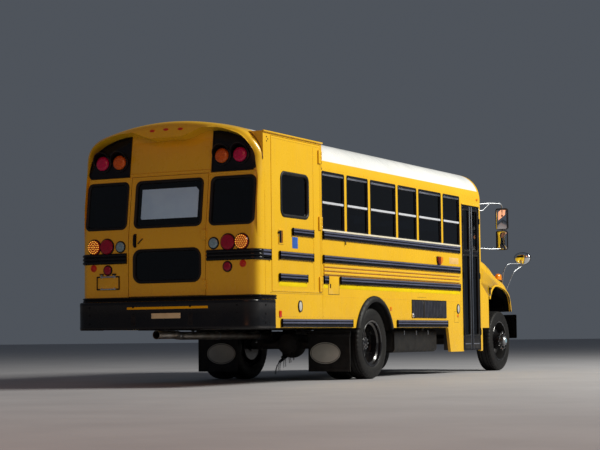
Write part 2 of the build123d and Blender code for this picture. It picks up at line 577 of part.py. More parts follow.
# ------------------------------------------------------------------ axles
AXLE_Z = TYRE_R
RA_Y, FA_Y = at(REAR_AXLE_S), at(FRONT_AXLE_S)
with BuildPart() as rear_axle:
    rod((-600.0, RA_Y, AXLE_Z), (600.0, RA_Y, AXLE_Z), 66.0)
    rod((-1000.0, RA_Y, AXLE_Z), (1000.0, RA_Y, AXLE_Z), 45.0)
    with Locations((0, RA_Y, AXLE_Z)):
        Sphere(185.0)
    block((-220.0, 220.0), (RA_Y - 55.0, RA_Y + 55.0), (AXLE_Z - 55.0, AXLE_Z + 55.0))
    rod((0, RA_Y, AXLE_Z), (0, RA_Y - 300.0, AXLE_Z + 22.0), 85.0)
    for side in (-1, 1):
        block((side * 440.0, side * 510.0), (RA_Y - 70.0, RA_Y + 70.0), (AXLE_Z - 70.0, AXLE_Z + 79.5))
    # propeller shaft in two lengths with a centre bearing
    rod((0, RA_Y - 290.0, AXLE_Z + 22.0), (0, at(5480.0), 600.0), 46.0)
    rod((0, at(5400.0), 600.0), (0, at(6496.0), 640.0), 46.0)
    block((-110.0, 110.0), (at(5530.0), at(5470.0)), (545.0, 690.0))

with BuildPart() as front_axle:
    block((-640.0, 640.0), (FA_Y - 50.0, FA_Y + 50.0), (415.0, 506.0))
    block((-640.0, 640.0), (FA_Y - 51.0, FA_Y - 18.0), (433.0, 488.0), Mode.SUBTRACT)
    block((-640.0, 640.0), (FA_Y + 18.0, FA_Y + 51.0), (433.0, 488.0), Mode.SUBTRACT)
    for side in (-1, 1):
        prism_y([(side * 630.0, 415.0), (side * 800.0, 425.0), (side * 860.0, 425.0), (side * 860.0, 505.0),
                 (side * 800.0, 505.0), (side * 630.0, 506.0)], (FA_Y - 45.0, FA_Y + 45.0))
        with Locations((side * KINGPIN_X, FA_Y, AXLE_Z)):
            Cylinder(46.0, 80.0)
            Cylinder(20.06, 90.0, mode=Mode.SUBTRACT)


def knuckle(side):
    """steering knuckle: ears over and under the beam, kingpin, spindle and arm"""
    with BuildPart() as k:
        for z in ((377.0, 419.0), (511.0, 553.0)):
            with BuildSketch(Plane.XY.offset(z[0])) as ear:
                with Locations((side * KINGPIN_X, FA_Y)):
                    Circle(44.0)
                with Locations((side * (KINGPIN_X + 45.0), FA_Y)):
                    Rectangle(90.0, 88.0)
            extrude(ear.sketch, amount=z[1] - z[0])
        with Locations((side * KINGPIN_X, FA_Y, AXLE_Z)):
            Cylinder(20.0, 170.0)
        block((side * 905.0, side * 940.0), (FA_Y - 60.0, FA_Y + 60.0), (377.0, 553.0))
        rod((side * 940.0, FA_Y, AXLE_Z), (side * 952.0, FA_Y, AXLE_Z), 150.0)
        rod((side * 940.0, FA_Y, AXLE_Z), (side * 1110.0, FA_Y, AXLE_Z), 38.0)
        prism_z([(side * 820.0, FA_Y + 30.0), (side * 880.0, FA_Y + 30.0), (side * 830.0, FA_Y + 190.0),
                 (side * 790.0, FA_Y + 190.0)], (381.0, 405.0))
    return k


right_knuckle, left_knuckle = knuckle(-1), knuckle(1)


# ------------------------------------------------------------------ wheels
def tyre_at(x, y):
    """one tyre, its axis along X"""
    half = TYRE_W / 2
    with BuildSketch(Plane(origin=(x, y, AXLE_Z), x_dir=(1, 0, 0), z_dir=(0, -1, 0))) as outline:
        with BuildLine():
            Polyline((-92.0, RIM_R), (92.0, RIM_R))
            Line((92.0, RIM_R), (112.0, RIM_R + 22.0))
            ThreePointArc((112.0, RIM_R + 22.0), (half, 372.0), (118.0, 428.0))
            ThreePointArc((118.0, 428.0), (104.0, 452.0), (78.0, TYRE_R - 3.0))
            ThreePointArc((78.0, TYRE_R - 3.0), (0.0, TYRE_R), (-78.0, TYRE_R - 3.0))
            ThreePointArc((-78.0, TYRE_R - 3.0), (-104.0, 452.0), (-118.0, 428.0))
            ThreePointArc((-118.0, 428.0), (-half, 372.0), (-112.0, RIM_R + 22.0))
            Line((-112.0, RIM_R + 22.0), (-92.0, RIM_R))
        make_face()
    revolve(outline.sketch, axis=Axis((x, y, AXLE_Z), (1, 0, 0)))


def turned(points, x, y, mode=Mode.ADD):
    """(axial, radial) outline turned about the wheel axis at x, y"""
    with BuildSketch(Plane(origin=(x, y, AXLE_Z), x_dir=(1, 0, 0), z_dir=(0, -1, 0))) as outline:
        with BuildLine():
            Polyline(*points, close=True)
        make_face()
    revolve(outline.sketch, axis=Axis((x, y, AXLE_Z), (1, 0, 0)), mode=mode)


# rim barrel: (axial, radial) from flange to flange and back inside
BARREL = [(-114.0, 304.0), (-105.0, 300.0), (-98.0, 290.0), (-70.0, 286.0), (-55.0, 262.0), (40.0, 262.0),
          (60.0, 286.0), (98.0, 290.0), (105.0, 300.0), (114.0, 304.0), (110.0, 282.0), (64.0, 276.0),
          (46.0, 252.0), (-60.0, 252.0), (-76.0, 276.0), (-110.0, 282.0)]


def front_rim(side):
    """rim with its disc set outboard, hub and brake drum, bored for the spindle"""
    x, y = side * FRONT_TYRE_X, FA_Y
    m = 1.0 * side
    with BuildPart() as rim:
        turned([(m * a, r) for a, r in BARREL], x, y)
        turned([(m * a, r) for a, r in ((28.0, 256.0), (62.0, 256.0), (96.0, 236.0), (140.0, 172.0),
                                        (146.0, 150.0), (146.0, 0.0), (134.0, 0.0), (134.0, 146.0),
                                        (126.0, 166.0), (84.0, 226.0), (52.0, 246.0))], x, y)
        for k in range(5):
            a = math.radians(72.0 * k + 18.0)
            with Locations(Location((x + m * 95.0, y + 206.0 * math.cos(a), AXLE_Z + 206.0 * math.sin(a)),
                                    (0, 90, 0))):
                Cylinder(30.0, 160.0, mode=Mode.SUBTRACT)
        turned([(m * a, r) for a, r in ((-78.0, 60.0), (-78.0, 196.0), (30.0, 196.0), (40.0, 130.0),
                                        (134.0, 118.0), (146.0, 96.0), (186.0, 88.0), (196.0, 70.0),
                                        (196.0, 0.0), (76.0, 0.0), (76.0, 39.0), (-60.0, 39.0),
                                        (-60.0, 60.0))], x, y)
    return rim


def rear_rims(side):
    """twin rims on one hub, discs back to back, bored for the axle end"""
    y = RA_Y
    m = 1.0 * side
    inner, outer = (side * v for v in REAR_TYRE_X)
    middle = (inner + outer) / 2
    with BuildPart() as rims:
        for x in (inner, outer):
            turned(BARREL, x, y)
        # outer wheel's dish: from its barrel back to the middle
        d = REAR_TYRE_X[1] - REAR_TYRE_X[0]
        turned([(m * a, r) for a, r in ((d / 2 - 40.0, 256.0), (d / 2 - 10.0, 256.0), (d / 2 - 70.0, 236.0),
                                        (22.0, 180.0), (14.0, 165.0), (14.0, 60.0), (2.0, 60.0),
                                        (2.0, 176.0), (12.0, 192.0), (d / 2 - 84.0, 244.0))], middle, y)
        turned([(-m * a, r) for a, r in ((d / 2 - 40.0, 256.0), (d / 2 - 10.0, 256.0), (d / 2 - 70.0, 236.0),
                                         (22.0, 180.0), (14.0, 165.0), (14.0, 60.0), (-2.0, 60.0),
                                         (-2.0, 176.0), (12.0, 192.0), (d / 2 - 84.0, 244.0))], middle, y)
        for k in range(5):
            a = math.radians(72.0 * k + 18.0)
            with Locations(Location((middle, y + 208.0 * math.cos(a), AXLE_Z + 208.0 * math.sin(a)),
                                    (0, 90, 0))):
                Cylinder(29.0, 190.0, mode=Mode.SUBTRACT)
        # hub with brake drum inboard
        turned([(m * a, r) for a, r in ((-270.0, 90.0), (-270.0, 205.0), (-90.0, 205.0), (-80.0, 120.0),
                                        (60.0, 112.0), (150.0, 100.0), (160.0, 92.0), (160.0, 0.0),
                                        (120.0, 0.0), (120.0, 46.0), (-290.0, 46.0), (-290.0, 90.0))],
               middle, y)
    return rims


front_rims = {1: front_rim(1), -1: front_rim(-1)}
twin_rims = {1: rear_rims(1), -1: rear_rims(-1)}
front_tyres, rear_tyres = {}, {}
for side in (-1, 1):
    with BuildPart() as one_tyre:
        tyre_at(side * FRONT_TYRE_X, FA_Y)
    front_tyres[side] = one_tyre
    with BuildPart() as two_tyres:
        for x in REAR_TYRE_X:
            tyre_at(side * x, RA_Y)
    rear_tyres[side] = two_tyres

# ------------------------------------------------------------------ under the floor
with BuildPart() as engine:
    block((-310.0, 310.0), (at(8380.0), at(7330.0)), (720.0, 1400.0))
    # gearbox behind it, on the propeller shaft's line
    rod((0, at(7331.0), 660.0), (0, at(6930.0), 660.0), 185.0)
    rod((0, at(6931.0), 655.0), (0, at(6500.0), 645.0), 130.0)

TANK = dict(x=(-1090.0, -540.0), s=(4080.0, 5560.0), z=(330.0, 650.0))
with BuildPart() as fuel_tank:
    block(TANK["x"], (at(TANK["s"][1]), at(TANK["s"][0])), TANK["z"])
    fillet(fuel_tank.edges().filter_by(Axis.Y), 60.0)
    for s in (4400.0, 5240.0):
        block((-700.0, -430.0), (at(s + 30.0), at(s - 30.0)), (640.0, 720.0))

EXHAUST_X, EXHAUST_R = 255.0, 50.0
with BuildPart() as exhaust:
    rod((EXHAUST_X, at(5400.0), 510.0), (EXHAUST_X, at(4350.0), 510.0), 118.0)
    rod((EXHAUST_X, at(7300.0), 585.0), (EXHAUST_X, at(5390.0), 545.0), EXHAUST_R)
    with BuildLine() as route:
        FilletPolyline((EXHAUST_X, at(4360.0), 560.0), (EXHAUST_X, at(3800.0), 585.0),
                       (EXHAUST_X, at(700.0), 590.0), (133.0, at(380.0), 602.0), (133.0, at(-20.0), 602.0),
                       radius=150.0)
    with BuildSketch(Plane(origin=route.line @ 0, z_dir=route.line % 0)) as pipe:
        Circle(EXHAUST_R)
        Circle(EXHAUST_R - 3.0, mode=Mode.SUBTRACT)
    sweep(pipe.sketch, path=route.line)

FLAP_X = (530.0, 1130.0)
with BuildPart() as mudflaps:
    for side in (-1, 1):
        block((side * FLAP_X[0], side * FLAP_X[1]), (at(2606.0), at(2596.0)), (110.0, 600.0))
        block((side * 530.0, side * FLAP_X[1]), (at(2622.0), at(2606.0)), (560.0, 640.0))

# ------------------------------------------------------------------ hood
HOOD_T = 30.0
HOOD_PIVOT_S, HOOD_PIVOT_Z = 8770.0, 900.0
FENDER_X, HOOD_X = 1195.0, 930.0
# top line of the hood's middle and of the fenders: (s, z)
HOOD_LINE = [(7100.0, 1330.0), (7100.0, 1770.0), (7700.0, 1700.0), (8350.0, 1560.0), (8640.0, 1420.0),
             (8750.0, 1250.0), (8750.0, 925.0), (7100.0, 925.0)]
FENDER_LINE = [(7100.0, 1330.0), (7100.0, 1735.0), (7200.0, 1698.0), (7360.0, 1628.0), (7520.0, 1564.0),
               (7700.0, 1505.0), (7920.0, 1452.0), (8200.0, 1386.0), (8480.0, 1300.0), (8680.0, 1190.0), (8750.0, 1080.0), (8750.0, 925.0),
               (7100.0, 925.0)]


def inward(line, t):
    """the same top line, lowered and drawn in by t, open below and behind"""
    back = [(7100.0 - 50.0, 700.0), (7100.0 - 50.0, line[1][1] - t)]
    middle = [(s - (t if s > 8700.0 else t / 2), z - t) for s, z in line[2:-2]]
    return back + middle + [(8750.0 - t, 700.0)]


def hood_body(t):
    with BuildPart() as h:
        a = inward(HOOD_LINE, t) if t else HOOD_LINE
        b = inward(FENDER_LINE, t) if t else FENDER_LINE
        prism_x([(at(s), z) for s, z in a], (-HOOD_X + t, HOOD_X - t))
        prism_x([(at(s), z) for s, z in b], (-FENDER_X + t, FENDER_X - t))
        with BuildSketch(Plane.XY.offset(600.0)) as nose:
            with BuildLine():
                Polyline((FENDER_X - t, at(8380.0)), (FENDER_X - t, at(7000.0)), (-FENDER_X + t, at(7000.0)),
                         (-FENDER_X + t, at(8380.0)))
                ThreePointArc((-FENDER_X + t, at(8380.0)), (-1060.0 + t, at(8590.0 - t)),
                              (-700.0, at(8725.0 - t)))
                ThreePointArc((-700.0, at(8725.0 - t)), (0.0, at(8765.0 - t)), (700.0, at(8725.0 - t)))
                ThreePointArc((700.0, at(8725.0 - t)), (1060.0 - t, at(8590.0 - t)),
                              (FENDER_X - t, at(8380.0)))
            make_face()
        extrude(nose.sketch, amount=1300.0, mode=Mode.INTERSECT)
    return h.part


WHEEL_OPENING = [(7392.0, 600.0), (7500.0, 1190.0), (7620.0, 1315.0), (7950.0, 1300.0), (8220.0, 1235.0),
                 (8370.0, 1120.0), (8440.0, 925.0), (8460.0, 600.0)]
with BuildPart() as hood:
    add(hood_body(0.0))
    add(hood_body(HOOD_T), mode=Mode.SUBTRACT)
    # rear edge follows the bowed front wall
    with BuildSketch(Plane.XY.offset(600.0)) as cowl_line:
        with Locations((0, at(HEADER_S[1]) + FRONT_BOW_R)):
            Circle(FRONT_BOW_R - RECESS + 8.0)
    extrude(cowl_line.sketch, amount=1400.0, mode=Mode.SUBTRACT)
    # lower rear edge meets the cowl side panels
    prism_x([(at(7000.0), 600.0), (at(7395.0), 600.0), (at(7395.0), 1160.0), (at(7100.0), 1338.0),
             (at(7000.0), 1338.0)], (-1300.0, 1300.0), Mode.SUBTRACT)
    with BuildSketch(Plane.YZ.offset(-1300.0)) as opening:
        with BuildLine():
            Polyline(*[(at(s), z) for s, z in WHEEL_OPENING], close=True)
        make_face()
        fillet(opening.vertices().group_by(Axis.Y)[2:], 70.0)
    extrude(opening.sketch, amount=2600.0, mode=Mode.SUBTRACT)
    # grille and headlamp openings
    block((-500.0, 500.0), (at(8800.0), at(8600.0)), (985.0, 1330.0), Mode.SUBTRACT)
    for side in (-1, 1):
        block((side * 215.0, side * 255.0), (at(8738.0), at(8660.0)), (930.0, 985.0))
        # hinge lug in front of the nose
        block((side * 215.0, side * 255.0), (at(HOOD_PIVOT_S), at(8720.0)), (HOOD_PIVOT_Z - 8.0, 950.0))
        rod((side * 205.0, at(HOOD_PIVOT_S), HOOD_PIVOT_Z), (side * 265.0, at(HOOD_PIVOT_S), HOOD_PIVOT_Z), 14.0)

with BuildPart() as grille:
    block((-498.0, 498.0), (at(8738.0), at(8700.0)), (987.0, 1328.0))
    for k in range(6):
        block((-470.0, 470.0), (at(8740.0), at(8690.0)), (1010.0 + 52.0 * k, 1040.0 + 52.0 * k), Mode.SUBTRACT)

# ------------------------------------------------------------------ mirrors
MIRROR_X, MIRROR_S = 1420.0, 7480.0
CROSS = dict(x=1290.0, s=8730.0, z=1795.0)
with BuildPart() as mirrors:
    for side in (-1, 1):
        mx = side * MIRROR_X
        rod((side * 1190.0, at(7090.0), 2555.0), (side * 1300.0, at(7270.0), 2575.0), 11.0)
        rod((side * 1190.0, at(7090.0), 2455.0), (side * 1300.0, at(7270.0), 2575.0), 11.0)
        rod((side * 1300.0, at(7270.0), 2575.0), (mx, at(MIRROR_S), 2575.0), 11.0)
        rod((mx, at(MIRROR_S), 2586.0), (mx, at(MIRROR_S), 1870.0), 11.0)
        rod((mx, at(MIRROR_S), 1880.0), (side * 1170.0, at(7095.0), 1880.0), 11.0)
        for z, half_z in ((2340.0, 165.0), (2010.0, 150.0)):
            block((mx - 95.0, mx + 95.0), (at(MIRROR_S + 25.0), at(MIRROR_S - 30.0)), (z - half_z, z + half_z))
    add(front_wall.part, mode=Mode.SUBTRACT)

with BuildPart() as fender_mirrors:
    for side in (-1, 1):
        cx, cy, cz = side * CROSS["x"], at(CROSS["s"]), CROSS["z"]
        rod((side * 1100.0, at(8250.0), 1345.0), (side * 1145.0, at(8360.0), 1640.0), 9.0)
        rod((side * 1145.0, at(8360.0), 1640.0), (cx, cy - 10.0, 1660.0), 9.0)
        rod((side * 1110.0, at(8330.0), 1330.0), (side * 1215.0, at(8500.0), 1560.0), 9.0)
        rod((side * 1215.0, at(8500.0), 1560.0), (cx, cy - 10.0, 1700.0), 9.0)
        with Locations((cx, cy, cz)):
            Sphere(140.0)
        block((cx - 200, cx + 200), (cy - 5.0, cy + 200.0), (cz - 200, cz + 200), Mode.SUBTRACT)
    add(hood.part, mode=Mode.SUBTRACT)

# ------------------------------------------------------------------ stop arm on the left
STOP = dict(s=5930.0, z=1640.0, x=(1262.0, 1274.0), across=450.0, hinge_s=6270.0, hinge_x=1256.0)
with BuildPart() as stop_arm:
    with BuildSketch(Plane.YZ.offset(STOP["x"][0])) as octagon:
        with Locations((at(STOP["s"]), STOP["z"])):
            RegularPolygon(STOP["across"] / 2, 8, major_radius=False, rotation=22.5)
    extrude(octagon.sketch, amount=STOP["x"][1] - STOP["x"][0])
    block((1250.0, 1262.0), (at(STOP["hinge_s"]), at(STOP["s"] - 120.0)), (STOP["z"] - 45.0, STOP["z"] + 45.0))
    rod((STOP["hinge_x"], at(STOP["hinge_s"]), STOP["z"] - 90.0),
        (STOP["hinge_x"], at(STOP["hinge_s"]), STOP["z"] + 90.0), 9.0)

# ------------------------------------------------------------------ cabin
SEAT_PITCH = 711.0
BENCH_X = (290.0, 1165.0)
# bench rows: side, first backrest s, number of rows
BENCH_ROWS = ((1, 560.0, 8), (-1, 1960.0, 6))
with BuildPart() as seats:
    for side, first, count in BENCH_ROWS:
        for k in range(count):
            s = first + SEAT_PITCH * k
            x = (side * BENCH_X[0], side * BENCH_X[1])
            block(x, (at(s + 440.0), at(s)), (FLOOR_Z + 300.0, FLOOR_Z + 430.0))
            prism_x([(at(s), FLOOR_Z + 300.0), (at(s + 80.0), FLOOR_Z + 300.0), (at(s + 20.0), FLOOR_Z + 1010.0),
                     (at(s - 50.0), FLOOR_Z + 1010.0)], (min(x), max(x)))
            for lx in (side * 380.0, side * 1120.0):
                block((lx - 15.0, lx + 15.0), (at(s + 400.0), at(s + 40.0)), (FLOOR_Z, FLOOR_Z + 300.0))
    # driver's seat
    block((300.0, 820.0), (at(6440.0), at(5960.0)), (FLOOR_Z + 340.0, FLOOR_Z + 460.0))
    prism_x([(at(5960.0), FLOOR_Z + 340.0), (at(6060.0), FLOOR_Z + 340.0), (at(6000.0), FLOOR_Z + 1150.0),
             (at(5910.0), FLOOR_Z + 1150.0)], (310.0, 810.0))
    block((420.0, 700.0), (at(6380.0), at(6020.0)), (FLOOR_Z, FLOOR_Z + 340.0))

with BuildPart() as dashboard:
    add(cavity.part)
    block((-900.0, 1300.0), (at(7300.0), at(6960.0)), (1340.0, 1720.0), Mode.INTERSECT)
    block((-900.0, 1300.0), (at(7100.0), at(6900.0)), (1300.0, 1420.0), Mode.SUBTRACT)
    rod((560.0, at(6990.0), 1560.0), (560.0, at(6745.0), 1660.0), 26.0)
    wheel_plane = Plane(origin=(560.0, at(6720.0), 1668.0), z_dir=(0, 1.0, 0.45))
    with BuildSketch(Plane(origin=wheel_plane.origin + wheel_plane.x_dir * 225.0, x_dir=wheel_plane.x_dir,
                           z_dir=wheel_plane.y_dir)) as grip:
        Circle(15.0)
    revolve(grip.sketch, axis=Axis(wheel_plane.origin, wheel_plane.z_dir))
    for k in range(3):
        a = math.radians(90.0 + 120.0 * k)
        end = wheel_plane.origin + wheel_plane.x_dir * 222.0 * math.cos(a) + wheel_plane.y_dir * 222.0 * math.sin(a)
        rod(tuple(wheel_plane.origin), tuple(end), 11.0)
    with Locations(wheel_plane):
        Cylinder(50.0, 40.0)

# ------------------------------------------------------------------ write
NODES = dict(
    right_side_wall=right_side_wall, left_side_wall=left_side_wall, roof=roof, rear_wall=rear_wall,
    front_wall=front_wall, lift_header=lift_header, floor=floor, entrance_steps=entrance_steps,
    windscreen=windscreen, side_windows=side_windows, rub_rails=rub_rails, frame=frame,
    floor_bearers=floor_bearers,
    leaf_springs=leaf_springs, front_bumper=front_bumper, rear_bumper=rear_bumper,
    front_axle=front_axle, rear_axle=rear_axle, engine=engine, fuel_tank=fuel_tank, exhaust=exhaust,
    mudflaps=mudflaps, mirrors=mirrors, seats=seats, dashboard=dashboard,
    hood=hood, grille=grille, fender_mirrors=fender_mirrors, stop_arm=stop_arm,
    rear_door=rear_door, rear_door_glass=rear_door_glass,
    lift_door=lift_door, lift_door_glass=lift_door_glass, roof_hatch=roof_hatch,
    right_knuckle=right_knuckle, left_knuckle=left_knuckle,
    front_right_tyre=front_tyres[-1], front_right_rim=front_rims[-1],
    front_left_tyre=front_tyres[1], front_left_rim=front_rims[1],
    rear_right_tyres=rear_tyres[-1], rear_right_rims=twin_rims[-1],
    rear_left_tyres=rear_tyres[1], rear_left_rims=twin_rims[1],
    **leaf_parts,
)
for node_name, piece in NODES.items():
    piece.part.label = node_name
    export_step(piece.part, "parts/" + node_name + ".step")
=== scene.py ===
"""Looks of the school bus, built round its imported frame.  Metres, +Z up, front towards -Y."""
import math
import random

import bpy
from mathutils import Matrix, Vector

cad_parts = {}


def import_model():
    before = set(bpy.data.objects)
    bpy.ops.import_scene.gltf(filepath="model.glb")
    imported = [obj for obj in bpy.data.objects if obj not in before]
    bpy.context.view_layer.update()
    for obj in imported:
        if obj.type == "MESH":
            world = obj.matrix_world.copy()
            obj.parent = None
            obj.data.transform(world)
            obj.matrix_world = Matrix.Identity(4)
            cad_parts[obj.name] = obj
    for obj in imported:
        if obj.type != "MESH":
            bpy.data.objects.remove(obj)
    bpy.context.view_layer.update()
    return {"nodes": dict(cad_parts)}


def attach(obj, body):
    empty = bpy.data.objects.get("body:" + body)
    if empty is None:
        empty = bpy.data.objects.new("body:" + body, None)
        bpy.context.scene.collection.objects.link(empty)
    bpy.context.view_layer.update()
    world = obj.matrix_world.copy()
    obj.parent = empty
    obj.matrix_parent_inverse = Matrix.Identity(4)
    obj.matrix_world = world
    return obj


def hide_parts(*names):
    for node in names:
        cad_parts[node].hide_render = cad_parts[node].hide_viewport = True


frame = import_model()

NODE = frame["nodes"]
ROOT = "body"

# ---------------------------------------------------------------- places on the body
HW = 1.219                    # half width over the skin
REAR = 4.385
EAVE = 2.6101
LEAN = math.atan(0.127)


def at(s):
    """y of a point a distance s ahead of the rear wall"""
    return REAR - s


def rear_y(z):
    low, high = 1.6551, 1.8441
    if z <= low:
        return REAR
    if z >= high:
        return REAR - (z - 1.75) * 0.127
    return REAR - (1.5 - math.sqrt(1.5 ** 2 - (z - low) ** 2))


def inset(x, z):
    """how far (x, z) lies inside the body's cross-section, and the outward direction there"""
    x = abs(x)
    if z <= EAVE:
        return HW - x, (1.0, 0.0)
    if math.atan2(z + 0.06, x) < math.atan2(2.6701, 0.809):
        dx, dz, r = x - 0.809, z - EAVE, 0.41
    else:
        dx, dz, r = x, z + 0.06, 3.2
    dist = math.hypot(dx, dz) or 1e-9
    return r - dist, (dx / dist, dz / dist)


def rear(x, z, d=0.0):
    """point on the rear end's skin, moved outwards by d; it follows the lean and the rounded edges"""
    q, out = inset(x, z)
    tilt = LEAN * min(1.0, max(0.0, (z - 1.6551) / 0.189))
    drop, sb = 0.0, 0.0
    if q < 0.11:
        k = min(0.11, 0.11 - q)
        drop = 0.11 - math.sqrt(max(0.0, 0.11 ** 2 - k ** 2))
        sb = k / 0.11
    cb = math.sqrt(max(0.0, 1 - sb * sb))
    side = 1.0 if x >= 0 else -1.0
    n = Vector((side * out[0] * sb, math.cos(tilt) * cb, math.sin(tilt) * cb + out[1] * sb))
    n.normalize()
    return Vector((x, rear_y(z) - drop, z)) + n * d


def right(s, z, d=0.0):
    return Vector((-HW - d, at(s), z))


def left(s, z, d=0.0):
    return Vector((HW + d, at(s), z))


def world(x, y, z):
    return Vector((x, y, z))


def local_axes(place, a, b, step=0.004):
    """origin, along, up and outward directions of a face at (a, b)"""
    o = place(a, b, 0.0)
    n = (place(a, b, 0.01) - o).normalized()
    up = place(a, b + step, 0.0) - place(a, b - step, 0.0)
    up = (up - n * up.dot(n)).normalized()
    return o, up.cross(n).normalized(), up, n


def plane_at(o, along, up, n):
    """a flat place function: a along, b up, d outwards"""
    return lambda a, b, d=0.0: o + along * a + up * b + n * d


def patch(place, a, b):
    """flat place function tangent to a face at (a, b), its own origin there"""
    return plane_at(*local_axes(place, a, b))


# ---------------------------------------------------------------- procedural materials
class Shade:
    """one node material: helpers return sockets"""

    def __init__(self, name, rough=0.5, metal=0.0, coat=0.0, coat_rough=0.05, ior=1.5, transmission=0.0,
                 spec=0.5, sheen=0.0):
        self.m = bpy.data.materials.new(name)
        self.m.use_nodes = True
        self.t = self.m.node_tree
        self.p = self.t.nodes["Principled BSDF"]
        self.coord = self.t.nodes.new("ShaderNodeTexCoord")
        for socket, value in (("Roughness", rough), ("Metallic", metal), ("Coat Weight", coat),
                              ("Coat Roughness", coat_rough), ("IOR", ior),
                              ("Transmission Weight", transmission), ("Specular IOR Level", spec),
                              ("Sheen Weight", sheen)):
            self.p.inputs[socket].default_value = value

    def node(self, kind, **inputs):
        n = self.t.nodes.new(kind)
        for k, v in inputs.items():
            key = k.replace("_", " ")
            if isinstance(v, bpy.types.NodeSocket):
                self.t.links.new(v, n.inputs[key])
            else:
                n.inputs[key].default_value = v
        return n

    def place(self, stretch=(1, 1, 1)):
        if stretch == (1, 1, 1):
            return self.coord.outputs["Object"]
        n = self.node("ShaderNodeMapping", Scale=stretch)
        self.t.links.new(self.coord.outputs["Object"], n.inputs["Vector"])
        return n.outputs["Vector"]

    def noise(self, scale, detail=3.0, stretch=(1, 1, 1), distortion=0.0):
        n = self.node("ShaderNodeTexNoise", Scale=scale, Detail=detail, Distortion=distortion)
        self.t.links.new(self.place(stretch), n.inputs["Vector"])
        return n.outputs["Fac"]

    def cells(self, scale, stretch=(1, 1, 1), feature="F1"):
        n = self.t.nodes.new("ShaderNodeTexVoronoi")
        n.feature = feature
        n.inputs["Scale"].default_value = scale
        self.t.links.new(self.place(stretch), n.inputs["Vector"])
        return n.outputs["Distance"]

    def wave(self, scale, axis="Z", distortion=0.0):
        n = self.t.nodes.new("ShaderNodeTexWave")
        n.bands_direction = axis
        n.inputs["Scale"].default_value = scale
        n.inputs["Distortion"].default_value = distortion
        self.t.links.new(self.coord.outputs["Object"], n.inputs["Vector"])
        return n.outputs["Fac"]

    def axis(self, which):
        n = self.node("ShaderNodeSeparateXYZ")
        self.t.links.new(self.coord.outputs["Object"], n.inputs["Vector"])
        return n.outputs[which]

    def spread(self, value, lo, hi, to_lo=0.0, to_hi=1.0):
        n = self.t.nodes.new("ShaderNodeMapRange")
        self.t.links.new(value, n.inputs["Value"])
        for i, v in zip(("From Min", "From Max", "To Min", "To Max"), (lo, hi, to_lo, to_hi)):
            n.inputs[i].default_value = v
        return n.outputs["Result"]

    def math(self, op, a, b=0.0):
        n = self.t.nodes.new("ShaderNodeMath")
        n.operation = op
        for i, v in enumerate((a, b)):
            if isinstance(v, bpy.types.NodeSocket):
                self.t.links.new(v, n.inputs[i])
            else:
                n.inputs[i].default_value = v
        return n.outputs[0]

    def ramp(self, value, stops):
        n = self.t.nodes.new("ShaderNodeValToRGB")
        self.t.links.new(value, n.inputs["Fac"])
        while len(n.color_ramp.elements) < len(stops):
            n.color_ramp.elements.new(0.5)
        for e, (p, c) in zip(n.color_ramp.elements, stops):
            e.position = p
            e.color = (*c, 1.0)
        return n.outputs["Color"]

    def mix(self, fac, a, b):
        n = self.t.nodes.new("ShaderNodeMix")
        n.data_type = "RGBA"
        for socket, v in ((n.inputs[0], fac), (n.inputs[6], a), (n.inputs[7], b)):
            if isinstance(v, bpy.types.NodeSocket):
                self.t.links.new(v, socket)
            elif isinstance(v, (int, float)):
                socket.default_value = v
            else:
                socket.default_value = (*v, 1.0)
        return n.outputs[2]

    def colour(self, socket):
        self.t.links.new(socket, self.p.inputs["Base Color"])
        return self

    def roughness(self, socket):
        self.t.links.new(socket, self.p.inputs["Roughness"])
        return self

    def bump(self, *layers):
        """layers of (height, strength, distance)"""
        last = None
        for height, strength, distance in layers:
            n = self.t.nodes.new("ShaderNodeBump")
            n.inputs["Strength"].default_value = strength
            n.inputs["Distance"].default_value = distance
            self.t.links.new(height, n.inputs["Height"])
            if last is not None:
                self.t.links.new(last, n.inputs["Normal"])
            last = n.outputs["Normal"]
        self.t.links.new(last, self.p.inputs["Normal"])
        return self


DUST = (0.30, 0.26, 0.21)
YELLOW, YELLOW_DEEP = (0.88, 0.520, 0.016), (0.82, 0.465, 0.012)


def paint(name, light, deep, rough=(0.22, 0.34), coat=0.5, dust=0.25, dust_top=1.1, split=None, wavy=0.25,
          streaks=0.12, spec=0.5):
    """sprayed enamel: slight clouding, rain streaks, road dust low down, orange peel"""
    s = Shade(name, coat=coat, coat_rough=0.06, spec=spec)
    base = s.ramp(s.noise(0.9, 4), [(0.25, deep), (0.7, light)])
    if split is not None:
        z, y, upper_light, upper_deep = split
        upper = s.ramp(s.noise(1.3, 5), [(0.3, upper_deep), (0.65, upper_light)])
        high = s.spread(s.axis("Z"), z - 0.004, z + 0.004)
        ahead = s.spread(s.axis("Y"), y + 0.004, y - 0.004)
        base = s.mix(s.math("MULTIPLY", high, ahead), base, upper)
    streak = s.spread(s.noise(26, 4, (1, 1, 0.045)), 0.5, 0.8, 0.0, streaks)
    base = s.mix(streak, base, DUST)
    low = s.spread(s.axis("Z"), dust_top, 0.25, 0.0, dust)
    spots = s.spread(s.noise(7, 8), 0.35, 0.7)
    base = s.mix(s.math("MULTIPLY", low, spots), base, DUST)
    s.colour(base)
    s.roughness(s.spread(s.noise(5, 6), 0.3, 0.7, *rough))
    s.bump((s.noise(1.7, 2), wavy, 0.012), (s.noise(420, 2), 0.05, 0.0006))
    return s.m


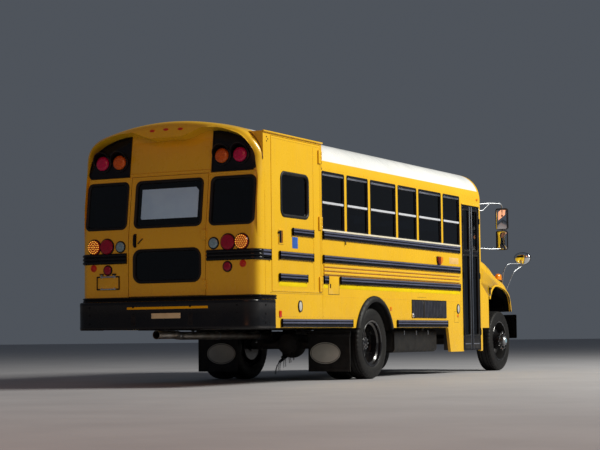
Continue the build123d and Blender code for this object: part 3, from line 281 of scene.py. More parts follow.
def plain(name, light, deep, rough, scale=6.0, grain=220.0, grain_depth=0.15, coat=0.0, metal=0.0, dust=0.15,
          dust_top=1.2, spec=0.5):
    """worn or moulded surface with cloudy colour, grain and some dust"""
    s = Shade(name, coat=coat, metal=metal, spec=spec)
    base = s.ramp(s.noise(scale, 6), [(0.3, deep), (0.7, light)])
    low = s.spread(s.axis("Z"), dust_top, 0.1, 0.0, dust)
    base = s.mix(s.math("MULTIPLY", low, s.spread(s.noise(scale * 1.7, 8), 0.35, 0.65)), base, DUST)
    s.colour(base)
    s.roughness(s.spread(s.noise(scale * 2, 5), 0.3, 0.7, *rough))
    s.bump((s.noise(grain, 4), grain_depth, 0.001))
    return s.m


def glazing(name, tint, deep, rough=0.012):
    s = Shade(name, rough=rough, ior=1.45, transmission=1.0)
    s.colour(s.ramp(s.noise(1.5, 3), [(0.3, deep), (0.7, tint)]))
    s.roughness(s.spread(s.noise(9, 6), 0.4, 0.8, rough, rough + 0.05))
    s.bump((s.noise(0.8, 1), 0.02, 0.01))
    return s.m


def lens(name, light, deep, scale=110.0, glow=0.25):
    """moulded lamp lens: prisms under a glossy face"""
    s = Shade(name, rough=0.16, coat=0.35, coat_rough=0.03, ior=1.5, spec=0.35)
    prism = s.cells(scale)
    s.colour(s.ramp(prism, [(0.1, light), (0.75, deep)]))
    s.roughness(s.spread(s.noise(12, 3), 0.3, 0.7, 0.12, 0.24))
    s.bump((prism, 0.5, 0.0025))
    return s.m


def metal(name, light, deep, rough=(0.15, 0.35), brushed=(1, 1, 1), scale=30.0, dust=0.08):
    s = Shade(name, metal=1.0)
    base = s.ramp(s.noise(scale, 6, brushed), [(0.25, deep), (0.75, light)])
    base = s.mix(s.math("MULTIPLY", s.spread(s.axis("Z"), 1.3, 0.2, 0.0, dust), s.noise(9, 6)), base, DUST)
    s.colour(base)
    s.roughness(s.spread(s.noise(scale * 1.5, 6, brushed), 0.3, 0.7, *rough))
    s.bump((s.noise(scale * 6, 4, brushed), 0.04, 0.0008))
    return s.m


M = {}
M["body"] = paint("school_yellow", YELLOW, YELLOW_DEEP, coat=0.18, dust=0.14, streaks=0.06)
M["roof"] = paint("roof_two_tone", YELLOW, YELLOW_DEEP, coat=0.18, streaks=0.06, split=(2.742, 4.055, (0.90, 0.91, 0.90), (0.80, 0.82, 0.82)))
M["white"] = paint("roof_white", (0.86, 0.87, 0.86), (0.78, 0.79, 0.79))
M["black"] = paint("rail_black", (0.0060, 0.0062, 0.0075), (0.0032, 0.0032, 0.0045), rough=(0.16, 0.30), coat=0.08,
                   dust=0.010, wavy=0.1, streaks=0.004, spec=0.25)
# pale bluish strip for the rail ribs: a painted highlight, the sky reflected on their upward slopes
M["rail_painted_highlight"] = paint("rail_rib_highlight_painted", (0.100, 0.110, 0.175), (0.060, 0.068, 0.115), rough=(0.22, 0.36), coat=0.1,
                       dust=0.04, wavy=0.1, streaks=0.02, spec=0.4)
M["bumper"] = paint("bumper_black", (0.0065, 0.0065, 0.0080), (0.0035, 0.0035, 0.0045), rough=(0.20, 0.38), coat=0.10,
                    dust=0.010, wavy=0.35, streaks=0.004, spec=0.3)
M["panel"] = plain("lamp_panel_black", (0.0052, 0.0055, 0.0085), (0.0025, 0.0025, 0.0040), (0.25, 0.42), dust=0.0,
                   coat=0.06, spec=0.25)
M["chassis"] = plain("chassis_black", (0.010, 0.0095, 0.0095), (0.0045, 0.0045, 0.005), (0.45, 0.75), dust=0.05,
                     dust_top=1.0, grain=90, spec=0.3)
M["wheel"] = paint("wheel_black", (0.010, 0.010, 0.012), (0.0045, 0.0045, 0.0055), rough=(0.12, 0.30), coat=0.6,
                   dust=0.03, dust_top=1.2, wavy=0.08, streaks=0.01)
M["cast"] = plain("cast_iron", (0.055, 0.052, 0.050), (0.025, 0.022, 0.020), (0.55, 0.85), grain=60,
                  grain_depth=0.4, dust=0.16, dust_top=0.9)
M["rubber"] = plain("gasket_rubber", (0.0085, 0.0085, 0.0095), (0.0042, 0.0042, 0.005), (0.38, 0.60), grain=300,
                    dust=0.03, spec=0.3)
M["flap"] = plain("flap_rubber", (0.0080, 0.0080, 0.0080), (0.0040, 0.0040, 0.0045), (0.45, 0.75), grain=120,
                  grain_depth=0.25, dust=0.05, dust_top=0.9, spec=0.3)
M["plastic"] = plain("black_plastic", (0.0095, 0.0095, 0.011), (0.0050, 0.0050, 0.006), (0.35, 0.55), grain=400,
                     grain_depth=0.25, dust=0.04, spec=0.35)
# dark bluish grey, lighter than the black plastic: painted sheen of the sky on vent slats and the oval caps' rims
M["slat_painted_sheen"] = plain("vent_louvre_painted_sheen", (0.030, 0.034, 0.050), (0.016, 0.018, 0.028), (0.35, 0.55), grain=400,
                  grain_depth=0.2, dust=0.04, spec=0.4)
M["patch"] = plain("blank_patch_beige", (0.80, 0.50, 0.17), (0.72, 0.44, 0.13), (0.4, 0.55), grain=200, dust=0.06)
M["fog"] = plain("mirror_housing", (0.0080, 0.0080, 0.0095), (0.0045, 0.0045, 0.0055), (0.28, 0.45), coat=0.10,
                 dust=0.0, grain=500, spec=0.3)
M["hatch"] = plain("hatch_white", (0.74, 0.74, 0.71), (0.60, 0.60, 0.57), (0.40, 0.60), dust=0.0, grain=180)
M["floor"] = plain("floor_rubber", (0.060, 0.062, 0.066), (0.035, 0.036, 0.038), (0.55, 0.8), grain=90, dust=0.1)
M["steel"] = metal("aluminised_steel", (0.50, 0.48, 0.45), (0.20, 0.15, 0.11), (0.3, 0.6), scale=9, dust=0.5)
M["alu"] = metal("anodised_frame", (0.66, 0.68, 0.78), (0.50, 0.52, 0.60), (0.28, 0.42), brushed=(1, 0.06, 1),
                 scale=60)
M["edge_grey"] = plain("edge_strip_grey", (0.170, 0.205, 0.270), (0.120, 0.145, 0.200), (0.35, 0.5), grain=200,
                       dust=0.02)
M["bright"] = metal("bright_bar", (0.88, 0.88, 0.88), (0.74, 0.74, 0.75), (0.22, 0.36), brushed=(1, 0.05, 1),
                    scale=60)
M["tube"] = metal("mirror_tube", (0.46, 0.48, 0.51), (0.34, 0.36, 0.39), (0.30, 0.45), scale=40)
M["chrome"] = metal("chrome_trim", (0.86, 0.86, 0.87), (0.72, 0.72, 0.73), (0.05, 0.14), scale=25)
M["mirror"] = metal("mirror_glass", (0.80, 0.83, 0.86), (0.72, 0.76, 0.80), (0.01, 0.03), scale=3, dust=0)
M["glass"] = glazing("tinted_glass", (0.026, 0.034, 0.056), (0.018, 0.024, 0.042))
M["screen"] = glazing("windscreen_glass", (0.42, 0.47, 0.46), (0.36, 0.42, 0.41))
M["clear"] = glazing("lamp_cover", (0.90, 0.92, 0.93), (0.82, 0.85, 0.87), 0.02)
M["red"] = lens("lens_red", (0.46, 0.001, 0.040), (0.26, 0.001, 0.020))
M["red_big"] = lens("lens_warning_red", (0.72, 0.004, 0.100), (0.44, 0.002, 0.058), 60)
M["amber_big"] = lens("lens_warning_amber", (0.80, 0.150, 0.003), (0.55, 0.085, 0.002), 60)
M["amber"] = lens("lens_amber", (0.95, 0.33, 0.006), (0.75, 0.19, 0.003))
M["turn_red"] = lens("lens_turn_red", (0.30, 0.022, 0.004), (0.16, 0.008, 0.002))
M["led_base"] = lens("lens_led_base", (0.42, 0.016, 0.001), (0.28, 0.008, 0.001))
M["led"] = lens("led_bead_amber", (1.0, 0.46, 0.050), (1.0, 0.36, 0.030), 200)
for key, colour, strength in (("led", (1.0, 0.50, 0.06, 1.0), 0.90), ("led_base", (1.0, 0.05, 0.002, 1.0), 0.06)):
    shader = M[key].node_tree.nodes["Principled BSDF"]
    shader.inputs["Emission Color"].default_value = colour
    shader.inputs["Emission Strength"].default_value = strength
M["lamp_white"] = lens("lens_clear", (0.34, 0.56, 0.66), (0.16, 0.28, 0.34), 90)
M["marker"] = lens("lens_marker_red", (0.80, 0.035, 0.006), (0.52, 0.016, 0.004), 160)
M["tape"] = plain("reflective_yellow", (0.84, 0.62, 0.001), (0.78, 0.55, 0.001), (0.45, 0.60), grain=330,
                  grain_depth=0.3, dust=0.02, spec=0.12)
M["sign_blue"] = plain("blank_sign_blue", (0.030, 0.13, 0.50), (0.022, 0.10, 0.42), (0.3, 0.4), grain=300, dust=0.02)
M["sign_white"] = plain("blank_sign_white", (0.50, 0.78, 1.0), (0.44, 0.70, 0.95), (0.35, 0.5), grain=260,
                        dust=0.0)
M["tape_amber"] = plain("reflective_amber", (0.95, 0.50, 0.002), (0.88, 0.43, 0.001), (0.45, 0.60), grain=330,
                        grain_depth=0.3, dust=0.02, spec=0.12)
M["beige"] = plain("blank_plate_beige", (0.84, 0.70, 0.40), (0.74, 0.60, 0.33), (0.35, 0.5), grain=200, dust=0.1)
M["pale"] = plain("blank_patch_pale", (0.62, 0.60, 0.52), (0.52, 0.50, 0.44), (0.4, 0.55), grain=200, dust=0.10)
M["stop_red"] = plain("stop_red", (0.55, 0.012, 0.012), (0.46, 0.008, 0.010), (0.28, 0.4), grain=330, dust=0.02)
# dark orange for the bead in the crease beside the lift header: painted shade
M["crease_painted_shade"] = plain("header_crease_shade_orange", (0.30, 0.135, 0.006), (0.20, 0.085, 0.004), (0.5, 0.7), grain=120, dust=0.05)
# dark orange for the undersides of the pressed ribs and the floor of the paddle dish: painted shade
M["underside_painted_shade"] = plain("rib_and_dish_painted_shade_orange", (0.36, 0.125, 0.004), (0.27, 0.085, 0.003), (0.5, 0.7), grain=120, dust=0.03)
M["sash"] = plain("sash_bar_pale", (0.66, 0.68, 0.73), (0.56, 0.58, 0.63), (0.30, 0.45), grain=260, dust=0.0,
                  coat=0.2)
M["sill"] = plain("window_sill_cream", (0.84, 0.78, 0.62), (0.76, 0.70, 0.54), (0.30, 0.45), grain=260, dust=0.0,
                  coat=0.2)
# near-black for panel joint gaps, also used as painted shade behind the battery-box louvres
M["shadow"] = plain("joint_gap_and_painted_shade", (0.020, 0.012, 0.004), (0.012, 0.007, 0.003), (0.7, 0.9), dust=0.0)
M["lining"] = plain("cabin_lining", (0.40, 0.42, 0.43), (0.33, 0.35, 0.36), (0.4, 0.6), dust=0.0)
M["dash"] = plain("dash_grained", (0.045, 0.046, 0.050), (0.028, 0.028, 0.031), (0.45, 0.65), grain=350,
                  grain_depth=0.4, dust=0.0)


def vinyl(name, light, deep):
    s = Shade(name, sheen=0.15)
    s.colour(s.ramp(s.noise(4, 6), [(0.3, deep), (0.7, light)]))
    s.roughness(s.spread(s.noise(16, 5), 0.3, 0.7, 0.34, 0.55))
    s.bump((s.cells(420), 0.25, 0.0012), (s.noise(14, 4), 0.25, 0.006))
    return s.m


def tread_rubber():
    """tyre rubber: wear-polished tread, dusty grooves, fine radial moulding lines"""
    s = Shade("tyre_rubber", spec=0.28)
    base = s.ramp(s.noise(8, 7), [(0.3, (0.0045, 0.0045, 0.0048)), (0.72, (0.0095, 0.0092, 0.0092))])
    base = s.mix(s.spread(s.noise(3.5, 9), 0.45, 0.75, 0.0, 0.05), base, (0.10, 0.09, 0.075))
    s.colour(base)
    s.roughness(s.spread(s.noise(18, 6), 0.3, 0.7, 0.46, 0.70))
    s.bump((s.noise(150, 5), 0.3, 0.0012), (s.noise(24, 3), 0.15, 0.003))
    return s.m


M["seat"] = vinyl("seat_vinyl", (0.030, 0.045, 0.085), (0.020, 0.030, 0.060))
M["tyre"] = tread_rubber()


# ---------------------------------------------------------------- mesh building
def offset(points, c):
    """closed outline moved inwards by c (anticlockwise or clockwise)"""
    n = len(points)
    area = sum(points[i][0] * points[(i + 1) % n][1] - points[(i + 1) % n][0] * points[i][1] for i in range(n))
    sign = 1.0 if area > 0 else -1.0
    out = []
    for i in range(n):
        p, a, b = Vector(points[i]), Vector(points[i - 1]), Vector(points[(i + 1) % n])
        e1, e2 = p - a, b - p
        if e1.length < 1e-9 or e2.length < 1e-9:
            out.append(tuple(p))
            continue
        n1 = Vector((-e1.y, e1.x)).normalized() * sign
        n2 = Vector((-e2.y, e2.x)).normalized() * sign
        m = n1 + n2
        if m.length < 1e-6:
            out.append(tuple(p + n1 * c))
            continue
        m.normalize()
        out.append(tuple(p + m * (c / max(0.35, m.dot(n1)))))
    return out


def rounded(a0, a1, b0, b1, r, n=6):
    """rounded rectangle outline"""
    out = []
    for cx, cy, start in ((a1 - r, b1 - r, 0), (a0 + r, b1 - r, 90), (a0 + r, b0 + r, 180), (a1 - r, b0 + r, 270)):
        for i in range(n + 1):
            t = math.radians(start + 90.0 * i / n)
            out.append((cx + r * math.cos(t), cy + r * math.sin(t)))
    return out


def ellipse(a, b, ra, rb, n=28, start=0.0):
    return [(a + ra * math.cos(start + 2 * math.pi * i / n), b + rb * math.sin(start + 2 * math.pi * i / n))
            for i in range(n)]


def densify(points, step, closed=True):
    out = []
    n = len(points)
    for i in range(n if closed else n - 1):
        a, b = Vector(points[i]), Vector(points[(i + 1) % n])
        k = max(1, int((b - a).length / step))
        out += [tuple(a.lerp(b, j / k)) for j in range(k)]
    if not closed:
        out.append(tuple(points[-1]))
    return out


class Piece:
    """gathers shapes into one named mesh that rides on a body"""

    def __init__(self, name, body=ROOT, slot=None):
        self.name, self.body, self.slot = name, body, slot
        self.v, self.f, self.fm, self.mats = [], [], [], []

    def mat(self, m):
        m = M[m] if isinstance(m, str) else m
        if m not in self.mats:
            self.mats.append(m)
        return self.mats.index(m)

    def add(self, verts, faces, m):
        k, base = self.mat(m), len(self.v)
        self.v += [Vector(p) for p in verts]
        self.f += [tuple(base + i for i in f) for f in faces]
        self.fm += [k] * len(faces)
        return self

    def loops(self, rings, m, closed=True, cap_start=True, cap_end=True):
        """skin between rings of equal length"""
        n = len(rings[0])
        verts = [p for ring in rings for p in ring]
        faces = []
        for k in range(len(rings) - 1):
            for i in range(n if closed else n - 1):
                j = (i + 1) % n
                faces.append((k * n + i, k * n + j, (k + 1) * n + j, (k + 1) * n + i))
        if cap_start:
            faces.append(tuple(range(n - 1, -1, -1)))
        if cap_end:
            faces.append(tuple((len(rings) - 1) * n + i for i in range(n)))
        return self.add(verts, faces, m)

    def slab(self, place, outline, lo, hi, m, c=0.002, face=None):
        """outline raised from lo to hi on a face, its top edge eased by c"""
        steps = [(0.0, lo), (0.0, hi - c), (c * 0.3, hi - c * 0.3), (c, hi)] if c else [(0.0, lo), (0.0, hi)]
        rings = [[place(a, b, d) for a, b in (offset(outline, k) if k else outline)] for k, d in steps]
        if face is None:
            return self.loops(rings, m)
        self.loops(rings, m, cap_end=False)
        return self.add(rings[-1], [tuple(range(len(outline)))], face)

    def ring(self, place, outer, inner, lo, hi, m, c=0.003):
        """frame between two outlines with the same number of points, eased edges"""
        rings = []
        for outline, sign, ds in ((outer, 1, (lo, hi - c, None, hi)), (inner, -1, (hi, None, hi - c, lo))):
            for i, d in enumerate(ds):
                k = (0, 0, c * 0.3, c)[i] if sign > 0 else (c, c * 0.3, 0, 0)[i]
                d = hi - c * 0.3 if d is None else d
                pts = offset(outline, k * sign) if k else outline
                rings.append([place(a, b, d) for a, b in pts])
        rings.append(rings[0])
        return self.loops(rings, m, cap_start=False, cap_end=False)

    def box(self, a, b, d, m, place=world, c=0.002):
        """block with eased edges: limits along the place function's three directions"""
        lo = [min(q) for q in (a, b, d)]
        hi = [max(q) for q in (a, b, d)]
        c = min(c, *[(h - l) * 0.45 for l, h in zip(lo, hi)])
        verts, index = [], {}
        for sx in (0, 1):
            for sy in (0, 1):
                for sz in (0, 1):
                    corner = [hi[0] if sx else lo[0], hi[1] if sy else lo[1], hi[2] if sz else lo[2]]
                    for k in range(3):
                        p = list(corner)
                        for q in range(3):
                            if q != k:
                                p[q] += -c if (sx, sy, sz)[q] else c
                        index[(sx, sy, sz, k)] = len(verts)
                        verts.append(place(*p))
        faces = []
        for k in range(3):
            o1, o2 = [q for q in range(3) if q != k]
            for s in (0, 1):
                quad = []
                for u, w in ((0, 0), (1, 0), (1, 1), (0, 1)):
                    key = [0, 0, 0]
                    key[k], key[o1], key[o2] = s, u, w
                    quad.append(index[(*key, k)])
                flip = (s == 0) != (k == 1)
                faces.append(tuple(reversed(quad)) if flip else tuple(quad))
        for k in range(3):
            o1, o2 = [q for q in range(3) if q != k]
            for u in (0, 1):
                for w in (0, 1):
                    ends = []
                    for s in (0, 1):
                        key = [0, 0, 0]
                        key[k], key[o1], key[o2] = s, u, w
                        ends.append((index[(*key, o1)], index[(*key, o2)]))
                    (a0, a1), (b0, b1) = ends
                    faces.append((a0, b0, b1, a1))
        for sx in (0, 1):
            for sy in (0, 1):
                for sz in (0, 1):
                    faces.append(tuple(index[(sx, sy, sz, k)] for k in range(3)))
        return self.add(verts, faces, m)

    def lathe(self, profile, origin, axis, m, n=32, closed=False, start=0.0, sweep=2 * math.pi):
        """(axial, radial) outline turned about an axis; closed joins its last point to the first"""
        axis = Vector(axis).normalized()
        side = axis.orthogonal().normalized()
        up = axis.cross(side)
        origin = Vector(origin)
        full = abs(sweep - 2 * math.pi) < 1e-6
        count = n if full else n + 1
        verts, faces = [], []
        for a, r in profile:
            for i in range(count):
                t = start + sweep * i / n
                verts.append(origin + axis * a + side * (r * math.cos(t)) + up * (r * math.sin(t)))
        rows = len(profile)
        for k in range(rows if closed else rows - 1):
            k2 = (k + 1) % rows
            for i in range(count if full else count - 1):
                j = (i + 1) % count
                faces.append((k * count + i, k * count + j, k2 * count + j, k2 * count + i))
        return self.add(verts, faces, m)

    def tube(self, points, r, m, n=12, cap=True):
        """round bar along points"""
        pts = [Vector(p) for p in points]
        tangents = []
        for i in range(len(pts)):
            a, b = pts[max(0, i - 1)], pts[min(len(pts) - 1, i + 1)]
            tangents.append((b - a).normalized())
        side = tangents[0].orthogonal().normalized()
        rings = []
        for p, t in zip(pts, tangents):
            side = (side - t * side.dot(t)).normalized()
            up = t.cross(side)
            rings.append([p + side * (r * math.cos(2 * math.pi * i / n)) + up * (r * math.sin(2 * math.pi * i / n))
                          for i in range(n)])
        return self.loops(rings, m, cap_start=cap, cap_end=cap)

    def sweep(self, path, profile, m, cap=True):
        """(d, z) outline carried along a level path of (point, outward) pairs"""
        rings = [[Vector((p[0] + o[0] * d, p[1] + o[1] * d, z)) for d, z in profile] for p, o in path]
        return self.loops(rings, m, cap_start=cap, cap_end=cap)

    def bolt(self, place, a, b, d, r, m, h=0.006, sides=6):
        """hexagon or round head with a domed top"""
        o, al, up, n = local_axes(place, a, b)
        o = o + n * d
        self.lathe([(0, 0), (0, r), (h * 0.7, r), (h, r * 0.82), (h, 0)], o, n, m, n=sides)
        return self

    def done(self, smooth=38.0, subsurf=0, body=None, padded=None, replaces=(), weld=True):
        me = bpy.data.meshes.new(self.name)
        me.from_pydata([tuple(p) for p in self.v], [], self.f)
        for m in self.mats:
            me.materials.append(m)
        for poly, k in zip(me.polygons, self.fm):
            poly.material_index = k
        me.validate()
        o = bpy.data.objects.new(self.name, me)
        bpy.context.scene.collection.objects.link(o)
        tidy(me, weld)
        me.polygons.foreach_set("use_smooth", [True] * len(me.polygons))
        if not subsurf:
            me.set_sharp_from_angle(angle=math.radians(smooth))
        else:
            mod = o.modifiers.new("round", "SUBSURF")
            mod.levels = mod.render_levels = subsurf
        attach(o, self.body)
        if replaces:
            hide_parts(*replaces)
        return o


def tidy(me, weld=True):
    """join equal points, drop empty faces, turn faces outwards"""
    import bmesh
    bm = bmesh.new()
    bm.from_mesh(me)
    if weld:
        bmesh.ops.remove_doubles(bm, verts=bm.verts, dist=1e-6)
    bmesh.ops.dissolve_degenerate(bm, edges=bm.edges, dist=1e-7)
    bmesh.ops.recalc_face_normals(bm, faces=bm.faces)
    bm.to_mesh(me)
    bm.free()


def mirrored(fn):
    """run a builder for both sides of the bus: -1 is the right side, 1 the left"""
    for side in (-1, 1):
        fn(side)


# ---------------------------------------------------------------- CAD nodes that stay
FINISH = {
    "right_side_wall": "body", "left_side_wall": "body", "roof": "roof", "rear_wall": "body",
    "front_wall": "body", "lift_header": "body", "rear_door": "body", "lift_door": "body",
    "floor": "floor", "entrance_steps": "floor", "windscreen": "screen", "side_windows": "glass",
    "rear_door_glass": "glass", "lift_door_glass": "glass", "entrance_door_rear_leaf_glass": "glass",
    "entrance_door_front_leaf_glass": "glass", "entrance_door_rear_leaf": "panel",
    "entrance_door_front_leaf": "panel", "frame": "chassis", "floor_bearers": "chassis",
    "leaf_springs": "chassis",
    "front_bumper": "bumper", "rear_bumper": "bumper", "front_axle": "cast", "rear_axle": "cast",
    "engine": "cast", "fuel_tank": "chassis", "exhaust": "steel", "dashboard": "dash",
    "roof_hatch": "hatch", "right_knuckle": "cast", "left_knuckle": "cast",
    "front_right_rim": "wheel", "front_left_rim": "wheel", "rear_right_rims": "wheel", "rear_left_rims": "wheel",
    "hood": "body", "grille": "plastic", "mirrors": "fog", "fender_mirrors": "fog", "rub_rails": "black",
    "mudflaps": "flap", "seats": "seat", "stop_arm": "stop_red",
}
for name, key in FINISH.items():
    if name in NODE:
        for sl in NODE[name].material_slots:
            sl.material = M[key]
for name in sorted(n for n in NODE if n.endswith(("_tyre", "_tyres"))):
    for sl in NODE[name].material_slots:
        sl.material = M["tyre"]

# ---------------------------------------------------------------- rub rails
RAIL_D = 0.022


def rail_profile(z0, z1, ribs, depth=RAIL_D, base=0.011):
    """ribbed strip: (d, z) outline from its lower back edge, outwards and up"""
    pts = [(0.0, z0), (base * 0.8, z0)]
    pitch = (z1 - z0) / ribs
    for k in range(ribs):
        zc = z0 + pitch * (k + 0.5)
        w = pitch * 0.34
        pts += [(base, zc - w - pitch * 0.10), (depth * 0.86, zc - w * 0.86), (depth, zc - w * 0.55),
                (depth, zc + w * 0.55), (depth * 0.86, zc + w * 0.86), (base, zc + w + pitch * 0.10)]
    pts += [(base * 0.8, z1), (0.0, z1)]
    return pts


def side_path(side, s0, s1, step=0.7):
    k = max(2, int(abs(s1 - s0) / step) + 1)
    return [((side * HW, at(s0 + (s1 - s0) * i / (k - 1))), (side, 0.0)) for i in range(k)]


def wrap_path(x_from, side, s_to, r=0.11, n=8):
    """along the rear face to a corner, round it and forward along the side"""
    path = [((x_from, REAR), (0.0, 1.0))]
    cx, cy = side * (HW - r), REAR - r
    for i in range(n + 1):
        t = math.radians(90.0 * i / n)
        o = (side * math.sin(t), math.cos(t))
        path.append(((cx + o[0] * r, cy + o[1] * r), o))
    path.append(((side * HW, at(s_to)), (side, 0.0)))
    return path


def end_cap(piece, side, s, z0, z1, ahead, m="black"):
    """rounded end of a rail on a side face"""
    place = right if side < 0 else left
    s2 = s + 0.02 * ahead
    lo, hi = min(s, s2), max(s, s2)
    piece.slab(place, rounded(lo, hi, z0, z1, 0.0095, 4), 0.0, RAIL_D * 0.8, m, 0.005)


def rail(piece, path, z0, z1):
    """ribbed rail with a paler bluish strip on top of its two upper ribs, a painted highlight of the sky on their
    slopes
    """
    piece.sweep(path, rail_profile(z0, z1, 3), "black")
    pitch = (z1 - z0) / 3
    for k in (1, 2):
        zc = z0 + pitch * (k + 0.5)
        w = pitch * 0.34
        line = [(RAIL_D, zc - w * 0.50), (RAIL_D, zc + w * 0.55), (RAIL_D * 0.86, zc + w * 0.86),
                (0.0128, zc + w + pitch * 0.06)]
        back = [(d - 0.0015, z - 0.0006) for d, z in reversed(line)]
        piece.sweep(path, [(d + 0.0007, z + 0.0004) for d, z in line] + back, "rail_painted_highlight")


rails = Piece("rub_rails_ribbed", slot="black_paint")
WINDOW_RAIL, SEAT_RAIL, FLOOR_RAIL, SKIRT_RAIL = (1.761, 1.860), (1.466, 1.565), (1.210, 1.309), (0.675, 0.773)
for side, (z0, z1), s0, s1 in (
        (-1, WINDOW_RAIL, 1.668, 6.175), (-1, SEAT_RAIL, 1.668, 6.175), (-1, FLOOR_RAIL, 1.668, 1.80),
        (-1, FLOOR_RAIL, 2.14, 6.175), (-1, SKIRT_RAIL, 0.56, 2.48), (-1, SKIRT_RAIL, 3.88, 5.66),
        (1, WINDOW_RAIL, 0.23, 6.94), (1, SEAT_RAIL, 0.36, 6.94), (1, FLOOR_RAIL, 0.23, 6.94),
        (1, SKIRT_RAIL, 0.56, 2.48), (1, SKIRT_RAIL, 3.88, 6.94)):
    rail(rails, side_path(side, s0 + 0.012, s1 - 0.012), z0, z1)
    end_cap(rails, side, s0 + 0.014, z0, z1, -0.7)
    end_cap(rails, side, s1 - 0.014, z0, z1, 0.7)
rails.sweep(wrap_path(-0.552, -1, 0.30), rail_profile(1.452, 1.578, 3), "black")
rails.sweep(wrap_path(0.556, 1, 0.33), rail_profile(1.452, 1.578, 3), "black")
for side, s1 in ((-1, 0.295), (1, 0.325)):
    rail(rails, side_path(side, 0.112, s1), 1.4522, 1.5778)
    end_cap(rails, side, s1 - 0.002, 1.452, 1.578, 0.7)
sill_path = list(reversed(wrap_path(0.0, -1, 0.42)))[:-1] + wrap_path(0.0, 1, 0.42)[1:]
rails.sweep(sill_path, rail_profile(0.997, 1.052, 2), "black")
rails.done(replaces=("rub_rails",))

# three pressed ribs between the seat and floor rails, in body colour
ribs = Piece("pressed_ribs", slot="body_paint")
RIB = [(0.0, -0.0185), (0.006, -0.0170), (0.0110, -0.0120), (0.0138, -0.0045), (0.0138, 0.0045), (0.0110, 0.0120),
       (0.006, 0.0170), (0.0, 0.0185)]
for z in (1.341, 1.388, 1.435):
    for side, s0, s1 in ((-1, 1.69, 6.165), (1, 0.36, 6.93)):
        for path in (side_path(side, s0, s1),):
            ribs.sweep(path, [(d, z + h) for d, h in RIB], "body")
            # dark orange strip under the rib: painted shade where its underside falls in shadow
            ribs.sweep(path, [(-0.0005, z - 0.0290), (0.0012, z - 0.0286), (0.0030, z - 0.0176), (-0.0005, z - 0.0170)],
                       "underside_painted_shade")
ribs.done()

# reflective tape under the floor rail, on the doors and across the bumper
tape = Piece("reflective_tape")
for s0, s1 in ((1.675, 1.805), (2.145, 6.17)):
    tape.slab(right, densify(rounded(s0, s1, 1.156, 1.208, 0.004, 2), 1.2), 0.0, 0.0012, "tape", 0.0004)
tape.slab(left, densify(rounded(0.24, 6.93, 1.156, 1.208, 0.004, 2), 1.2), 0.0, 0.0012, "tape", 0.0004)
tape.slab(plane_at(Vector((0, 4.5055, 0)), Vector((1, 0, 0)), Vector((0, 0, 1)), Vector((0, 1, 0))),
          rounded(-0.63, 0.48, 0.902, 0.930, 0.003, 2), -0.0005, 0.0012, "tape_amber", 0.0004)
tape.done()

# ---------------------------------------------------------------- side windows
POSTS_R = (1.622, 2.333, 3.044, 3.933, 4.644, 5.533, 6.244)
POSTS_L = (0.200, 0.911) + POSTS_R
SILL, TOP, MID = 1.868, 2.604, 2.217


def window_unit(frames, place, s0, s1, z0=SILL, z1=TOP, split=True):
    """split-sash window: outer flange, sash rails, a hem of rubber round the glass"""
    a0, a1 = s0 + 0.002, s1 - 0.002
    frames.ring(place, rounded(a0, a1, z0 + 0.002, z1 - 0.002, 0.022, 5),
                rounded(a0 + 0.019, a1 - 0.019, z0 + 0.024, z1 - 0.026, 0.014, 5), -0.036, 0.0025, "panel", 0.002)
    frames.ring(place, rounded(a0 - 0.006, a1 + 0.006, z0 - 0.004, z1 + 0.006, 0.026, 5),
                rounded(a0 + 0.004, a1 - 0.004, z0 + 0.006, z1 - 0.004, 0.020, 5), -0.002, 0.0035, "rubber", 0.001)
    b0, b1 = a0 + 0.014, a1 - 0.014
    if split:
        # top rail of the upper sash, meeting rail, lower sash sill
        frames.box((b0, b1), (z1 - 0.047, z1 - 0.024), (-0.016, 0.000), "alu", place, 0.003)
        frames.box((b0, b1), (z1 - 0.024, z1 - 0.010), (-0.016, 0.005), "panel", place, 0.003)
        frames.box((b0, b1), (MID - 0.015, MID + 0.015), (-0.015, 0.002), "sash", place, 0.004)
        frames.box((b0, b1), (MID - 0.026, MID - 0.015), (-0.015, -0.005), "panel", place, 0.002)
        for w in (0.28, 0.72):
            s = b0 + (b1 - b0) * w
            frames.box((s - 0.022, s + 0.022), (MID + 0.002, MID + 0.014), (-0.036, -0.025), "panel", place, 0.002)
        frames.box((b0 + 0.004, b1 - 0.004), (MID - 0.014, MID + 0.014), (-0.034, -0.0245), "alu", place, 0.002)
    frames.ring(place, rounded(b0, b1, z0 + 0.022, z1 - 0.024, 0.012, 4),
                rounded(b0 + 0.012, b1 - 0.012, z0 + 0.034, z1 - 0.036, 0.008, 4), -0.0155, -0.010, "rubber", 0.001)


frames = Piece("window_frames_right")
for a, b in zip(POSTS_R, POSTS_R[1:]):
    window_unit(frames, right, a + 0.039, b - 0.039)
frames.box((1.655, 6.210), (SILL - 0.0075, SILL + 0.017), (-0.003, 0.012), "sill", right, 0.004)
frames.done()
frames = Piece("window_frames_left")
for a, b in zip(POSTS_L, POSTS_L[1:]):
    window_unit(frames, left, a + 0.039, b - 0.039)
frames.box((0.232, 6.210), (SILL - 0.0075, SILL + 0.017), (-0.003, 0.012), "sill", left, 0.004)
window_unit(frames, left, 6.33, 6.94, 1.808, TOP, False)
frames.box((6.62, 6.645), (1.83, 2.59), (-0.015, 0.003), "alu", left, 0.003)
frames.done()

# ---------------------------------------------------------------- rear end
gaskets = Piece("rear_window_gaskets")


